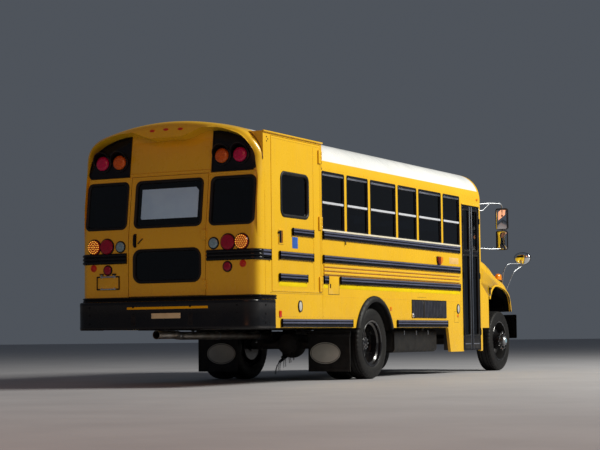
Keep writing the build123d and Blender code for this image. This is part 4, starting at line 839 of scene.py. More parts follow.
def gasket(piece, place, a0, a1, b0, b1, r, width=0.030, height=0.014, m="rubber", step=0.03, low=-0.014):
    """rubber seal: rounded bead over the skin and a lip down to the glass"""
    outer = densify(rounded(a0 - width * 0.55, a1 + width * 0.55, b0 - width * 0.55, b1 + width * 0.55,
                            r + width * 0.5, 7), step)
    n = len(outer)
    rings = []
    section = ((0.0, 0.0), (0.004, 0.62), (0.012, 0.92), (0.018, 1.0), (0.026, 0.80), (0.032, 0.35),
               (0.037, -0.2), (0.039, None))
    for k, hgt in section:
        d = low if hgt is None else height * hgt
        rings.append([place(a, b, d) for a, b in offset(outer, k * width / 0.030)])
    assert all(len(q) == n for q in rings)
    rings.append([place(a, b, low) for a, b in offset(outer, 0.0)])
    rings.append(rings[0])
    piece.loops(rings, m, cap_start=False, cap_end=False)


for x in (-0.866, 0.866):
    gasket(gaskets, rear, x - 0.285, x + 0.285, 1.876, 2.425, 0.060)
gaskets.done()
door_trim = Piece("rear_door_gaskets", "rear_door")
gasket(door_trim, rear, -0.456, 0.456, 1.880, 2.425, 0.060)
gasket(door_trim, rear, -0.456, 0.456, 1.226, 1.602, 0.095)
door_trim.done()

# doorway surround: raised flange beside and over the rear door, and the drip moulding across the body
trim = Piece("rear_body_mouldings", slot="body_paint")


def strip(piece, place, line, width, height, m, r=0.35):
    """raised bead along a line of (a, b) points on a face"""
    pts = [Vector(p) for p in densify(line, 0.05, closed=False)]
    rings = []
    for i, p in enumerate(pts):
        t = (pts[min(i + 1, len(pts) - 1)] - pts[max(i - 1, 0)]).normalized()
        nrm = Vector((-t.y, t.x))
        ring = []
        for w, h in ((-0.5, 0.0), (-0.5, 0.55), (-0.36, 0.9), (-0.15, 1.0), (0.15, 1.0), (0.36, 0.9), (0.5, 0.55),
                     (0.5, 0.0), (0.3, -0.25), (-0.3, -0.25)):
            q = p + nrm * (w * width)
            ring.append(place(q.x, q.y, h * height))
        rings.append(ring)
    piece.loops(rings, m)


strip(trim, rear, [(-0.555, 2.516), (0.0, 2.516), (0.555, 2.516)], 0.022, 0.010, "body")
for side in (-1, 1):
    strip(trim, rear, [(side * 0.560, 2.479), (side * 0.85, 2.479), (side * 1.150, 2.479)], 0.020, 0.010, "body")
for side in (-1, 1):
    strip(trim, rear, [(side * 0.545, 1.060), (side * 0.545, 2.500)], 0.016, 0.005, "body")
trim.slab(rear, densify(rounded(-0.545, 0.545, 2.532, 2.900, 0.010, 3), 0.06), -0.001, 0.0035, "body", 0.001)
trim.done()


def table_at(rows, x):
    for (x0, y0), (x1, y1) in zip(rows, rows[1:]):
        if x <= x1:
            return y0 + (y1 - y0) * (max(x, x0) - x0) / (x1 - x0)
    return rows[-1][1]


# moulded cap round the top of the rear end: rolled rim, brow over the sign field, legs beside the windows
cap = Piece("rear_cap_brow", slot="roof_paint")
stations = [((HW, z), (1.0, 0.0)) for z in (1.70, 1.76, 1.83, 1.90, 1.98, 2.06, 2.15, 2.24, 2.33,
                                               2.42, 2.50, 2.56)]
for k in range(12):
    q = math.radians(73.14 * k / 12)
    stations.append(((0.809 + 0.41 * math.cos(q), EAVE + 0.41 * math.sin(q)), (math.cos(q), math.sin(q))))
for k in range(31):
    q = math.radians(73.14 + 16.86 * k / 30)
    stations.append(((3.2 * math.cos(q), -0.06 + 3.2 * math.sin(q)), (math.cos(q), math.sin(q))))
stations += [((-x, z), (-a, b)) for (x, z), (a, b) in reversed(stations[:-1])]
CAP_X = [(0.0, 0.235), (0.22, 0.235), (0.34, 0.191), (0.44, 0.138), (0.50, 0.112), (0.555, 0.105), (0.676, 0.0887),
         (0.785, 0.0845), (0.93, 0.093)]
CAP_Z = [(2.30, 0.028), (2.42, 0.032), (2.50, 0.045), (2.61, 0.062), (2.712, 0.070), (2.837, 0.090), (2.904, 0.093),
         (3.0, 0.093)]
SIDE_SHARE = (0.0, 0.0, 0.06, 0.20, 0.40, 0.60, 0.78, 0.90)
TOP_ROLL = [(-0.0015, 1.0), (0.010, 0.38), (0.013, 0.28), (0.021, 0.195), (0.036, 0.115), (0.055, 0.055),
            (0.078, 0.015), (0.100, 0.0)]


def corner_s(q):
    """how far the rounded corner has fallen back at a distance q inside the side"""
    return 0.11 - math.sqrt(max(0.0, 0.11 ** 2 - (0.11 - min(0.11, max(0.0, q))) ** 2))


rows = []
for (x, z), (ox, oz) in stations:
    w = min(1.0, max(0.0, (z - 2.60) / 0.34))
    w = w * w * (3 - 2 * w)
    q_wall = table_at(CAP_X, abs(x)) if z > 2.95 else table_at(CAP_Z, z)
    q_face = q_wall - 0.003 - 0.027 * w
    wall = REAR - rear_y(z - 0.05 * w)
    reach = 0.045 * min(1.0, max(0.0, (z - 1.74) / 0.40)) - (0.0015 if z < 1.74 else 0.0)
    front_s = max(0.001, wall - reach) * (1 - w) + 0.005 * w
    back_s = wall + 0.120
    ring, last = [], -1.0
    for k, (q1, f1) in enumerate(TOP_ROLL):
        q0 = (-0.0015, -0.0010)[k] if k < 2 else q_face * SIDE_SHARE[k]
        q = max(min(q0 + (q1 - q0) * w, q_face - 0.004), last + 0.0004)
        last = q
        side_s = back_s if k == 0 else front_s + corner_s(q)
        ring.append((q, side_s * (1 - w) + (front_s + (back_s - front_s) * f1) * w))
    ring += [(q_face - 0.0015, front_s + corner_s(q_face - 0.0015) * (1 - w) + 0.0005),
             (q_face, front_s + corner_s(q_face) * (1 - w) + 0.006)]
    px, pz = x - ox * q_wall, z - oz * q_wall
    end_s = REAR - rear(px, pz).y
    ring += [(q_wall, end_s + 0.003), (q_wall * 0.7, end_s + 0.020), (0.010, back_s + 0.010)]
    rows.append([Vector((x - ox * q, at(s), z - oz * q)) for q, s in ring])
cap.loops(rows, "roof")
for x in (-0.200, 0.0, 0.190):
    z = 3.025 - x * x / 6.4
    face = plane_at(Vector((x, at(0.005), z)), Vector((-1, 0, 0)), Vector((0, 0, 1)), Vector((0, 1, 0)))
    cap.slab(face, ellipse(0, 0, 0.036, 0.015, 24), -0.003, 0.009, "marker", 0.004)
    cap.ring(face, ellipse(0, 0, 0.044, 0.022, 24), ellipse(0, 0, 0.034, 0.013, 24), -0.003, 0.005, "roof", 0.002)
cap.done()

# black lamp panels with hooded warning lamps
PANEL = [(0.566, 2.493), (1.120, 2.493), (1.150, 2.520), (1.160, 2.560), (1.152, 2.629), (1.133, 2.712),
         (1.089, 2.786), (1.033, 2.837), (0.922, 2.904), (0.785, 2.955), (0.676, 2.977), (0.566, 2.986)]


def lamp_panel(side):
    p = Piece("rear_lamp_panel_" + ("right" if side < 0 else "left"), slot="black_paint")
    outline = densify([(side * x, z) for x, z in PANEL], 0.05)
    if side < 0:
        outline.reverse()
    p.slab(rear, outline, -0.002, 0.008, "panel", 0.002)
    inner = offset(outline, 0.016)
    p.ring(rear, outline, inner, 0.006, 0.014, "panel", 0.002)
    for x, key in ((0.712, "amber_big"), (0.955, "red_big")):
        place = patch(rear, side * x, 2.676)
        o, al, up, n = local_axes(rear, side * x, 2.676)
        p.lathe([(0.006, 0.118), (0.022, 0.116), (0.027, 0.106), (0.027, 0.086)], o, n, "panel", 40)
        p.lathe([(0.024, 0.088), (0.044, 0.085), (0.054, 0.075), (0.061, 0.052), (0.065, 0.026), (0.066, 0.0)],
                o, n, key, 40)
        # hood over the lamp, longer at the top than at the sides
        hood_rows = []
        for k in range(25):
            t = math.radians(-8 + 196.0 * k / 24)
            reach = 0.030 + 0.085 * max(0.0, math.sin(t)) ** 0.8
            ca, sa = math.cos(t), math.sin(t)
            ring = [place(0.121 * ca, 0.121 * sa, 0.006), place(0.125 * ca, 0.125 * sa, 0.006 + reach),
                    place(0.121 * ca, 0.121 * sa, 0.009 + reach), place(0.1165 * ca, 0.1165 * sa, 0.006 + reach),
                    place(0.1165 * ca, 0.1165 * sa, 0.006)]
            hood_rows.append(ring)
        p.loops(hood_rows, "fog")
    p.done()


mirrored(lamp_panel)


def round_lamp(p, place_fn, a, b, r, lens_key, bezel="rubber", depth=0.022, beads=0):
    """lamp in a grommet with a domed lens; beads adds light-emitter domes on it"""
    o, al, up, n = local_axes(place_fn, a, b)
    p.lathe([(-0.002, r + 0.012), (0.006, r + 0.012), (0.011, r + 0.008), (0.012, r + 0.001), (0.008, r - 0.003)],
            o, n, bezel, 44)
    p.lathe([(0.006, r - 0.001), (depth * 0.75, r - 0.003), (depth, r - 0.010), (depth * 1.12, r * 0.6),
             (depth * 1.18, r * 0.3), (depth * 1.2, 0.0)], o, n, lens_key, 44)
    if beads:
        pts = [(0.0, 0.0)]
        for ring in range(1, beads + 1):
            rr = (r - 0.014) * ring / beads
            pts += [(rr * math.cos(2 * math.pi * i / (6 * ring)), rr * math.sin(2 * math.pi * i / (6 * ring)))
                    for i in range(6 * ring)]
        for u, w in pts:
            c = o + al * u + up * w + n * (depth * (1.2 - 0.16 * math.hypot(u, w) / r) - 0.002)
            p.lathe([(0.0, 0.0072), (0.003, 0.0064), (0.0055, 0.0038), (0.0064, 0.0)], c, n, "led", 10)


tail = Piece("tail_lamps")
for side in (-1, 1):
    round_lamp(tail, rear, side * 0.836, 1.661, 0.090, "red", depth=0.030)
    round_lamp(tail, rear, side * 1.020, 1.661, 0.086, "led_base", depth=0.028, beads=3)
    round_lamp(tail, rear, side * 0.644, 1.655, 0.060, "lamp_white", depth=0.020)
    round_lamp(tail, rear, side * 0.826, 1.379, 0.052, "red", depth=0.020)
    round_lamp(tail, rear, side * 1.030, 1.408, 0.030, "marker", bezel="marker", depth=0.010)
tail.done()

# rear door: edges, hinges, handle, blank notice in its window
door = Piece("rear_door_hardware", "rear_door", slot="body_paint")
for a0, a1, b0, b1 in ((-0.528, -0.512, 1.062, 2.482), (0.512, 0.528, 1.062, 2.482)):
    door.slab(rear, densify([(a0, b0), (a1, b0), (a1, b1), (a0, b1)], 0.05), -0.002, 0.0035, "body", 0.001)
for b0, b1 in ((1.062, 1.082), (2.462, 2.482)):
    door.slab(rear, densify([(-0.512, b0), (0.512, b0), (0.512, b1), (-0.512, b1)], 0.05), -0.002, 0.0035, "body",
              0.001)


def hinge(p, place, a, b0, b1, foot, m="body", r=0.0105, lift=0.014, thick=0.019):
    """three-knuckle hinge round the joint's barrel, with a bolted foot; foot is its (from, to) beside a"""
    flat = patch(place, a, (b0 + b1) / 2)
    up = flat(0, 1, 0) - flat(0, 0, 0)
    h = (b1 - b0) / 2 + 0.001
    for k in range(3):
        z0 = -h + 2 * h * k / 3 + 0.001
        z1 = -h + 2 * h * (k + 1) / 3 - 0.001
        p.lathe([(z0, 0.0), (z0, r * 0.9), (z0 + 0.0015, r), (z1 - 0.0015, r), (z1, r * 0.9), (z1, 0.0)],
                flat(0, 0, lift), up, m, 18)
    p.box(foot, (-h, h), (-0.001, thick), m, flat, 0.004)
    mid = (foot[0] * 0.35 + foot[1] * 0.65)
    for t in (-0.6, 0.0, 0.6):
        p.bolt(flat, mid, h * t, thick, 0.0075, m, 0.004)


# the foot lies towards the door: +X on the rear wall is -a
for b0, b1 in ((1.700, 1.815), (1.117, 1.233)):
    hinge(door, rear, -0.5325, b0, b1, (-0.049, -0.009))
# pull handle: a bent bar on two feet, with a guard plate beside it
place = patch(rear, 0.440, 1.722)
bar = [place(0, -0.068, 0.002), place(0, -0.068, 0.022), place(0, -0.056, 0.034), place(0, 0.0, 0.037),
       place(0, 0.056, 0.034), place(0, 0.068, 0.022), place(0, 0.068, 0.002)]
door.tube(bar, 0.0085, "panel", 12)
door.slab(place, rounded(-0.019, 0.019, -0.082, 0.082, 0.010, 4), -0.001, 0.005, "panel", 0.002)
for v in (-0.068, 0.068):
    door.bolt(place, 0.0, v, 0.005, 0.012, "panel", 0.004, 12)
lever = patch(rear, 0.350, 1.722)
door.slab(lever, ellipse(0.0, 0.0, 0.026, 0.026, 24), -0.001, 0.007, "body", 0.002)
door.tube([lever(-0.044, -0.038, 0.010), lever(-0.020, -0.018, 0.013), lever(0.0, 0.0, 0.013),
           lever(0.022, 0.020, 0.010)], 0.0065, "panel", 10)
door.done()

notice = Piece("blank_window_notice", "rear_door")
cut = [(-0.40, 1.975), (0.372, 1.975), (0.385, 1.99), (0.385, 2.335), (-0.362, 2.335), (-0.40, 2.295)]
notice.slab(rear, densify(cut, 0.08), -0.0155, -0.0135, "sign_white", 0.0005)
notice.done()

# ---------------------------------------------------------------- number plate frame, bumper fittings
plate = Piece("number_plate_holder")
flat = patch(rear, 0.822, 1.227)
plate.ring(flat, rounded(-0.163, 0.163, -0.082, 0.082, 0.008, 3), rounded(-0.150, 0.150, -0.066, 0.066, 0.005, 3),
           0.0, 0.012, "panel", 0.003)
plate.slab(flat, rounded(-0.152, 0.152, -0.068, 0.068, 0.005, 3), 0.0, 0.004, "body", 0.001)
for v in (0.074, -0.074):
    plate.box((-0.112, 0.112), (v - 0.0085, v + 0.0085), (0.006, 0.018), "chrome", flat, 0.004)
for u in (-0.089, 0.089):
    for v in (-0.0605, 0.0605):
        plate.bolt(flat, u, v, 0.004, 0.007, "chrome", 0.004)
    plate.box((u - 0.028, u + 0.028), (0.098, 0.112), (0.0, 0.020), "panel", flat, 0.003)
    plate.lathe([(0.0, 0.0), (0.0, 0.010), (0.010, 0.008), (0.012, 0.0)], flat(u, 0.094, 0.010), (0, 0.3, -1),
                "lamp_white", 16)
plate.done()

def bumper_path(r=0.170, y=4.515, x=1.237, s_end=0.415):
    """round the rear from the right side to the left: level points with their outward direction"""
    path = []
    for side, order in ((-1, True), (1, False)):
        run = [((0.0, y), (0.0, 1.0)), ((side * 0.5, y), (0.0, 1.0))]
        cx, cy = side * (x - r), y - r
        for i in range(13):
            t = math.radians(7.5 * i)
            o = (side * math.sin(t), math.cos(t))
            run.append(((cx + o[0] * r, cy + o[1] * r), o))
        run.append(((side * x, at(s_end)), (side, 0.0)))
        path += list(reversed(run)) if order else run[1:]
    return path


bumper = Piece("rear_bumper_formed", slot="black_paint")
bumper.sweep(bumper_path(), [
    (-0.060, 0.6625), (-0.026, 0.6625), (-0.016, 0.665), (-0.010, 0.671), (-0.008, 0.680), (-0.008, 0.705),
    (-0.0095, 0.711), (-0.0095, 0.945), (-0.008, 0.951), (-0.008, 0.979), (-0.010, 0.988), (-0.016, 0.994),
    (-0.026, 0.9965), (-0.060, 0.9965), (-0.060, 0.9905), (-0.028, 0.9905), (-0.018, 0.985), (-0.015, 0.975),
    (-0.015, 0.684), (-0.018, 0.674), (-0.028, 0.6685), (-0.060, 0.6685)], "bumper")
for side in (-1, 1):
    bumper.box((side * 0.355, side * 0.429), (at(0.0), 4.506), (0.700, 0.860), "chassis", world, 0.006)
bumper.done(replaces=("rear_bumper",))

back = plane_at(Vector((0, 4.5055, 0)), Vector((1, 0, 0)), Vector((0, 0, 1)), Vector((0, 1, 0)))
fit = Piece("bumper_fittings", slot="black_paint")
fit.slab(back, rounded(-0.270, 0.145, 0.785, 0.861, 0.006, 3), -0.0005, 0.003, "panel", 0.001)
fit.slab(back, rounded(-0.262, 0.137, 0.792, 0.854, 0.004, 3), 0.002, 0.0042, "beige", 0.001)
for u in (-0.256, 0.131):
    fit.bolt(back, u, 0.823, 0.004, 0.005, "chrome", 0.003)
for side in (-1, 1):
    for z in (0.735, 0.840, 0.930):
        fit.bolt(back, side * 0.392, z, 0.0, 0.014, "panel", 0.008)
        fit.bolt(back, side * 1.015, z, 0.0, 0.012, "panel", 0.007)
    flank = (lambda s, z, d=0.0, k=side: Vector((k * (1.2275 + d), at(s), z)))
    for z in (0.730, 0.830, 0.930):
        fit.bolt(flank, 0.180, z, 0.0, 0.012, "panel", 0.007)
fit.done()

# ---------------------------------------------------------------- lift door and its header
lift = Piece("lift_door_hardware", "lift_door", slot="body_paint")
gasket(lift, right, 0.590, 1.290, 1.990, 2.502, 0.080, 0.034, 0.013)
for z0, z1, s0, s1 in ((1.764, 1.856, 0.86, 1.41), (1.470, 1.568, 0.525, 1.40), (1.214, 1.306, 0.52, 1.235)):
    rail(lift, side_path(-1, s0 + 0.012, s1 - 0.012), z0, z1)
    end_cap(lift, -1, s0 + 0.014, z0, z1, -0.7)
    end_cap(lift, -1, s1 - 0.014, z0, z1, 0.7)
lift.slab(right, rounded(0.52, 1.235, 1.156, 1.211, 0.004, 2), 0.0, 0.0012, "tape", 0.0004)
lift.slab(right, rounded(0.862, 1.006, 1.612, 1.749, 0.008, 3), 0.0, 0.0016, "sign_blue", 0.0005)
# folded edge of the door skin, and its hinge-side stile
lift.ring(right, rounded(0.352, 1.622, 1.095, 2.906, 0.006, 2), rounded(0.372, 1.602, 1.115, 2.886, 0.006, 2),
          -0.001, 0.0022, "body", 0.0008)
lift.box((1.425, 1.437), (1.130, 2.870), (-0.001, 0.003), "body", right, 0.001)
for b0, b1 in ((2.690, 2.850), (1.870, 2.030), (1.110, 1.290)):
    hinge(lift, right, 1.628, b0, b1, (-0.069, -0.009))
# paddle handle in its dish, with a guard rib above it
paddle = patch(right, 0.560, 1.735)
lift.ring(paddle, rounded(-0.048, 0.088, -0.086, 0.086, 0.014, 4), rounded(-0.036, 0.052, -0.073, 0.073, 0.010, 4),
          -0.001, 0.009, "body", 0.003)
# dark orange floor of the dish: painted shade in the recess
lift.slab(paddle, rounded(-0.037, 0.053, -0.074, 0.074, 0.008, 4), -0.001, 0.0015, "underside_painted_shade", 0.0005)
lift.slab(paddle, rounded(-0.034, 0.012, -0.071, 0.071, 0.008, 4), -0.001, 0.014, "panel", 0.004)
lift.box((-0.060, -0.036), (0.036, 0.060), (-0.001, 0.014), "panel", paddle, 0.003)
lift.lathe([(0.0, 0.0), (0.0, 0.011), (0.006, 0.010), (0.008, 0.0)], paddle(-0.046, 0.012, 0.0), (-1, 0, 0),
           "chrome", 18)
lift.done()

head = Piece("lift_header_trim", slot="body_paint")
# drip lip along the top of the box and down its ends
head.box((0.146, 1.668), (2.936, 2.956), (-0.010, 0.022), "body", right, 0.005)
for s in (0.158, 1.655):
    head.box((s - 0.006, s + 0.006), (2.64, 2.94), (-0.006, 0.004), "body", right, 0.002)
for s, z in ((0.245, 2.885), (0.245, 2.835), (0.275, 2.860)):
    head.bolt(right, s, z, 0.0, 0.008, "panel", 0.004, 10)
# dark orange bead where the box meets the curved roof: painted shade in the crease
for s in (0.152, 1.660):
    beadline = []
    for i in range(12):
        z = 2.62 + (2.945 - 2.62) * i / 11
        q = z - EAVE
        x = 0.809 + math.sqrt(max(0.0, 0.41 ** 2 - q ** 2)) if q < 0.37 else 0.94
        beadline.append(Vector((-x - 0.001, at(s), z)))
    head.tube(beadline, 0.006, "crease_painted_shade", 8)
head.done()

# seams: panel joints drawn as narrow raised lips with a dark gap beside them
seams = Piece("body_seams", slot="body_paint")


def seam(place, a0, b0, a1, b1, w=0.006, gap=True, raise_by=0.0018):
    d = Vector((a1 - a0, b1 - b0)).normalized()
    nrm = Vector((-d.y, d.x))

    def quad(o0, o1):
        return [tuple(Vector((a0, b0)) + nrm * o0), tuple(Vector((a1, b1)) + nrm * o0),
                tuple(Vector((a1, b1)) + nrm * o1), tuple(Vector((a0, b0)) + nrm * o1)]
    seams.slab(place, densify(quad(0.0, w * 2.2), 0.15), -0.0005, raise_by, "body", 0.0006)
    if gap:
        seams.slab(place, densify(quad(-w * 0.32, 0.0), 0.15), -0.0008, 0.0006, "shadow", 0.0)


# rear corner panel, lift doorway surround and skirt joints on the right
seam(right, 0.200, 0.67, 0.200, 2.60)
seam(right, 0.330, 0.68, 0.330, 1.085, gap=False)
seam(right, 0.30, 1.0735, 1.665, 1.0735)
seam(right, 1.668, 0.68, 1.668, 2.600, gap=False)
seam(right, 1.668, 1.052, 6.26, 1.052, 0.003, gap=False)
seam(right, 6.205, 0.68, 6.205, 1.755, 0.003, gap=False)
seam(right, 6.275, 0.33, 6.275, 2.56, gap=False)
seam(right, 0.45, 0.80, 2.60, 0.80, 0.003, gap=False)
seam(right, 3.75, 0.79, 5.64, 0.79, 0.003, gap=False)
seam(right, 6.985, 2.56, 6.985, 2.60)
seam(left, 0.200, 0.67, 0.200, 2.60)
seam(left, 0.24, 1.052, 6.94, 1.052, 0.003, gap=False)
seam(left, 6.985, 0.67, 6.985, 2.60)
# access panel under the first windows, with a finger latch
seams.ring(right, rounded(1.812, 2.122, 1.078, 1.316, 0.008, 3), rounded(1.818, 2.116, 1.084, 1.310, 0.006, 3),
           -0.001, 0.0012, "shadow", 0.0004)
seams.slab(right, rounded(1.818, 2.116, 1.084, 1.310, 0.006, 3), -0.001, 0.0022, "body", 0.001)
seams.box((1.858, 1.878), (1.160, 1.212), (-0.001, 0.008), "panel", right, 0.002)
# step-lamp cover and fuel door outlines
seams.ring(right, rounded(5.94, 6.12, 0.745, 0.905, 0.010, 3), rounded(5.943, 6.117, 0.748, 0.902, 0.008, 3),
           -0.001, 0.0010, "shadow", 0.0003)
seams.ring(right, rounded(4.60, 4.90, 1.085, 1.095, 0.002, 1), rounded(4.602, 4.898, 1.087, 1.093, 0.001, 1),
           -0.001, 0.0006, "shadow", 0.0002)
seams.done()

# lines of rivets
rivets = Piece("rivet_rows", slot="body_paint")


def rivet_row(place, a0, b0, a1, b1, pitch=0.075, r=0.0042):
    k = max(1, int(math.hypot(a1 - a0, b1 - b0) / pitch))
    for i in range(k + 1):
        a, b = a0 + (a1 - a0) * i / k, b0 + (b1 - b0) * i / k
        o, al, up, n = local_axes(place, a, b)
        rivets.lathe([(0.0, r), (0.0011, r * 0.85), (0.0018, 0.0)], o, n, "body", 6)


for place in (right, left):
    s_from = 1.69 if place is right else 0.25
    rivet_row(place, s_from, 1.033, 6.24, 1.033, 0.10)
    rivet_row(place, s_from, 2.640, 6.95, 2.640, 0.10)
for p0 in POSTS_R:
    rivet_row(right, p0, 1.90, p0, 2.58, 0.085)
for p0 in POSTS_L[1:]:
    rivet_row(left, p0, 1.90, p0, 2.58, 0.085)
rivet_row(right, 0.215, 0.70, 0.215, 2.56, 0.12)
rivet_row(left, 0.215, 0.70, 0.215, 2.56, 0.12)
rivets.done()

# ---------------------------------------------------------------- side lamps, vents and small fittings
small = Piece("side_fittings")


def oval_cap(place, s, z, side_key="chrome"):
    small.slab(place, ellipse(s, z, 0.052, 0.070, 30), -0.001, 0.008, "plastic", 0.003)
    # rim in the slat colour, lighter than the cap: painted sheen
    small.ring(place, ellipse(s, z, 0.052, 0.070, 30), ellipse(s, z, 0.040, 0.058, 30), 0.006, 0.013, "slat_painted_sheen", 0.002)
    small.slab(place, ellipse(s, z, 0.039, 0.056, 30), 0.006, 0.0105, "pale", 0.002)


for place in (right, left):
    oval_cap(place, 1.045, 0.925)
    oval_cap(place, 6.090, 0.945)
    # turn signal lamp in a dark guard
    body_line = [(5.345, 1.566), (5.425, 1.566), (5.442, 1.582), (5.482, 1.632), (5.486, 1.672), (5.474, 1.688),
                 (5.312, 1.688), (5.300, 1.676), (5.302, 1.632), (5.330, 1.580)]
    small.slab(place, body_line, -0.001, 0.012, "panel", 0.004)
    small.slab(place, [(5.348, 1.574), (5.388, 1.574), (5.388, 1.680), (5.316, 1.680), (5.309, 1.672), (5.311, 1.634),
                       (5.336, 1.584)], 0.004, 0.036, "turn_red", 0.008)
    small.slab(place, [(5.392, 1.574), (5.422, 1.574), (5.434, 1.586), (5.473, 1.636), (5.477, 1.668),
                       (5.470, 1.680), (5.392, 1.680)], 0.004, 0.038, "amber", 0.008)
    # reflectors
    small.slab(place, rounded(0.512, 0.568, 0.790, 0.868, 0.012, 4), -0.001, 0.010, "marker", 0.003)
    small.slab(place, rounded(6.050, 6.110, 0.823, 0.863, 0.010, 3), -0.001, 0.007, "amber", 0.002)
    small.slab(place, rounded(3.665, 3.715, 0.895, 0.947, 0.010, 3), -0.001, 0.007, "amber", 0.002)
# blank patch beside the entrance door, and a drain nozzle under the window rail
small.slab(right, rounded(5.785, 6.140, 1.598, 1.690, 0.006, 3), 0.0, 0.0010, "patch", 0.0003)
small.tube([right(2.300, 1.762, -0.002), right(2.300, 1.748, 0.012), right(2.300, 1.715, 0.013)], 0.007, "panel", 10)
small.bolt(right, 2.84, 1.515, 0.020, 0.009, "chrome", 0.004, 12)
# louvred battery-box vent
v0, v1, w0, w1 = 4.39, 5.63, 0.805, 1.056
small.ring(right, rounded(v0, v1, w0, w1, 0.010, 3), rounded(v0 + 0.016, v1 - 0.016, w0 + 0.014, w1 - 0.014, 0.006, 3),
           -0.001, 0.010, "plastic", 0.003)
# dark sheet behind the louvres: painted shade
small.slab(right, rounded(v0 + 0.014, v1 - 0.014, w0 + 0.012, w1 - 0.012, 0.006, 3), -0.001, 0.0015, "shadow", 0.0005)
small.box((4.765, 4.795), (w0 + 0.012, w1 - 0.012), (0.0, 0.012), "plastic", right, 0.003)
# slats in a lighter bluish grey than their frame: painted sheen
count = 23
for k in range(count):
    s = v0 + 0.026 + (v1 - v0 - 0.052) * k / (count - 1)
    if 4.755 < s < 4.805:
        continue
    blade = [right(s - 0.0120, 0, 0.002), right(s - 0.0080, 0, 0.008), right(s + 0.0120, 0, 0.013),
             right(s + 0.0150, 0, 0.011), right(s + 0.0060, 0, 0.002)]
    small.loops([[Vector((p.x, p.y, z)) for p in blade] for z in (w0 + 0.013, w1 - 0.013)], "slat_painted_sheen")
o, al, up, n = local_axes(right, 4.412, 0.838)
small.lathe([(0.008, 0.0), (0.008, 0.031), (0.016, 0.031), (0.022, 0.026), (0.024, 0.0)], o, n, "bright", 26)
small.done()

# battery-box door on the left
vent = Piece("left_battery_box_door", slot="body_paint")
vent.ring(left, rounded(4.20, 5.10, 0.800, 1.040, 0.012, 3), rounded(4.206, 5.094, 0.806, 1.034, 0.010, 3), -0.001,
          0.0012, "shadow", 0.0004)
vent.slab(left, rounded(4.206, 5.094, 0.806, 1.034, 0.010, 3), -0.001, 0.003, "body", 0.001)
for s in (4.32, 4.98):
    vent.box((s - 0.030, s + 0.030), (0.905, 0.935), (0.001, 0.012), "panel", left, 0.003)
vent.done()

# ---------------------------------------------------------------- rear wheel arches
ARCH_S, ARCH_Z, ARCH_R = 3.156, 0.500, 0.560


def arch_flare(side):
    """rubber flare round the wheel arch, with a returned inner lip"""
    p = Piece("arch_flare_" + ("right" if side < 0 else "left"), slot="flap_rubber")
    place = right if side < 0 else left
    low = 0.667
    t0 = math.asin((low - ARCH_Z) / 0.583)
    rows = []
    section = [(0.583, -0.001), (0.585, 0.010), (0.580, 0.022), (0.566, 0.036), (0.548, 0.046), (0.530, 0.049),
               (0.512, 0.046), (0.505, 0.036), (0.506, 0.020), (0.520, 0.010), (0.540, 0.004), (0.552, -0.045),
               (0.557, -0.045), (0.5585, -0.001)]
    k = 44
    for i in range(k + 1):
        t = t0 + (math.pi - 2 * t0) * i / k
        rows.append([place(ARCH_S + r * math.cos(t), ARCH_Z + r * math.sin(t), d) for r, d in section])
    p.loops(rows, "flap")
    for i in range(3, k - 2, 5):
        t = t0 + (math.pi - 2 * t0) * (i + 0.5) / k
        p.bolt(place, ARCH_S + 0.574 * math.cos(t), ARCH_Z + 0.574 * math.sin(t), 0.028, 0.007, "panel", 0.003, 8)
    # wheelhouse: arched sheet over the twin tyres
    sheet_rows = []
    for x in (0.600, 0.62, 1.175):
        sheet_rows.append([Vector((side * x, at(ARCH_S + 0.556 * math.cos(t)), 0.52 + 0.52 * math.sin(t)))
                           for t in [math.radians(12 + 156 * i / 26) for i in range(27)]])
    outer = [[q + Vector((0, 0, 0.003)) for q in row] for row in sheet_rows]
    n = len(sheet_rows[0])
    verts = [q for row in sheet_rows for q in row] + [q for row in outer for q in row]
    faces = []
    m = 3 * n
    for r in range(2):
        for i in range(n - 1):
            a = r * n + i
            faces.append((a, a + 1, a + n + 1, a + n))
            faces.append((m + a, m + a + n, m + a + n + 1, m + a + 1))
    for i in range(n - 1):
        faces.append((i, m + i, m + i + 1, i + 1))
        faces.append((2 * n + i, 2 * n + i + 1, m + 2 * n + i + 1, m + 2 * n + i))
    for r in range(2):
        for i in (0, n - 1):
            a, b = r * n + i, (r + 1) * n + i
            faces.append((a, b, m + b, m + a) if i == 0 else (a, m + a, m + b, b))
    p.add(verts, faces, "chassis")
    p.done()


mirrored(arch_flare)

# mud flaps: CAD rubber sheets, with a blank moulded oval and a clamping bar
flaps = Piece("mudflap_details", slot="flap_rubber")
for side in (-1, 1):
    face = plane_at(Vector((0, at(2.596), 0)), Vector((1, 0, 0)), Vector((0, 0, 1)), Vector((0, 1, 0)))
    cx = side * 0.775
    flaps.ring(face, ellipse(cx, 0.3475, 0.216, 0.1375, 52), ellipse(cx, 0.3475, 0.207, 0.1285, 52), -0.0005, 0.004,
               "pale", 0.001)
    flaps.slab(face, ellipse(cx, 0.3475, 0.200, 0.1215, 52), -0.0005, 0.003, "pale", 0.001)
    for x0, x1 in ((0.532, 0.552), (1.100, 1.128)):
        lo, hi = sorted((side * x0, side * x1))
        flaps.box((lo, hi), (0.115, 0.560), (0.0, 0.005), "flap", face, 0.002)
    flaps.box(sorted((side * 0.535, side * 1.125)), (0.118, 0.150), (0.0, 0.006), "flap", face, 0.002)
    flaps.box(sorted((side * 0.530, side * 1.130)), (0.560, 0.596), (0.0, 0.010), "chassis", face, 0.003)
    for k in range(5):
        flaps.bolt(face, side * (0.58 + 0.12 * k), 0.578, 0.010, 0.010, "chassis", 0.006)
flaps.done()

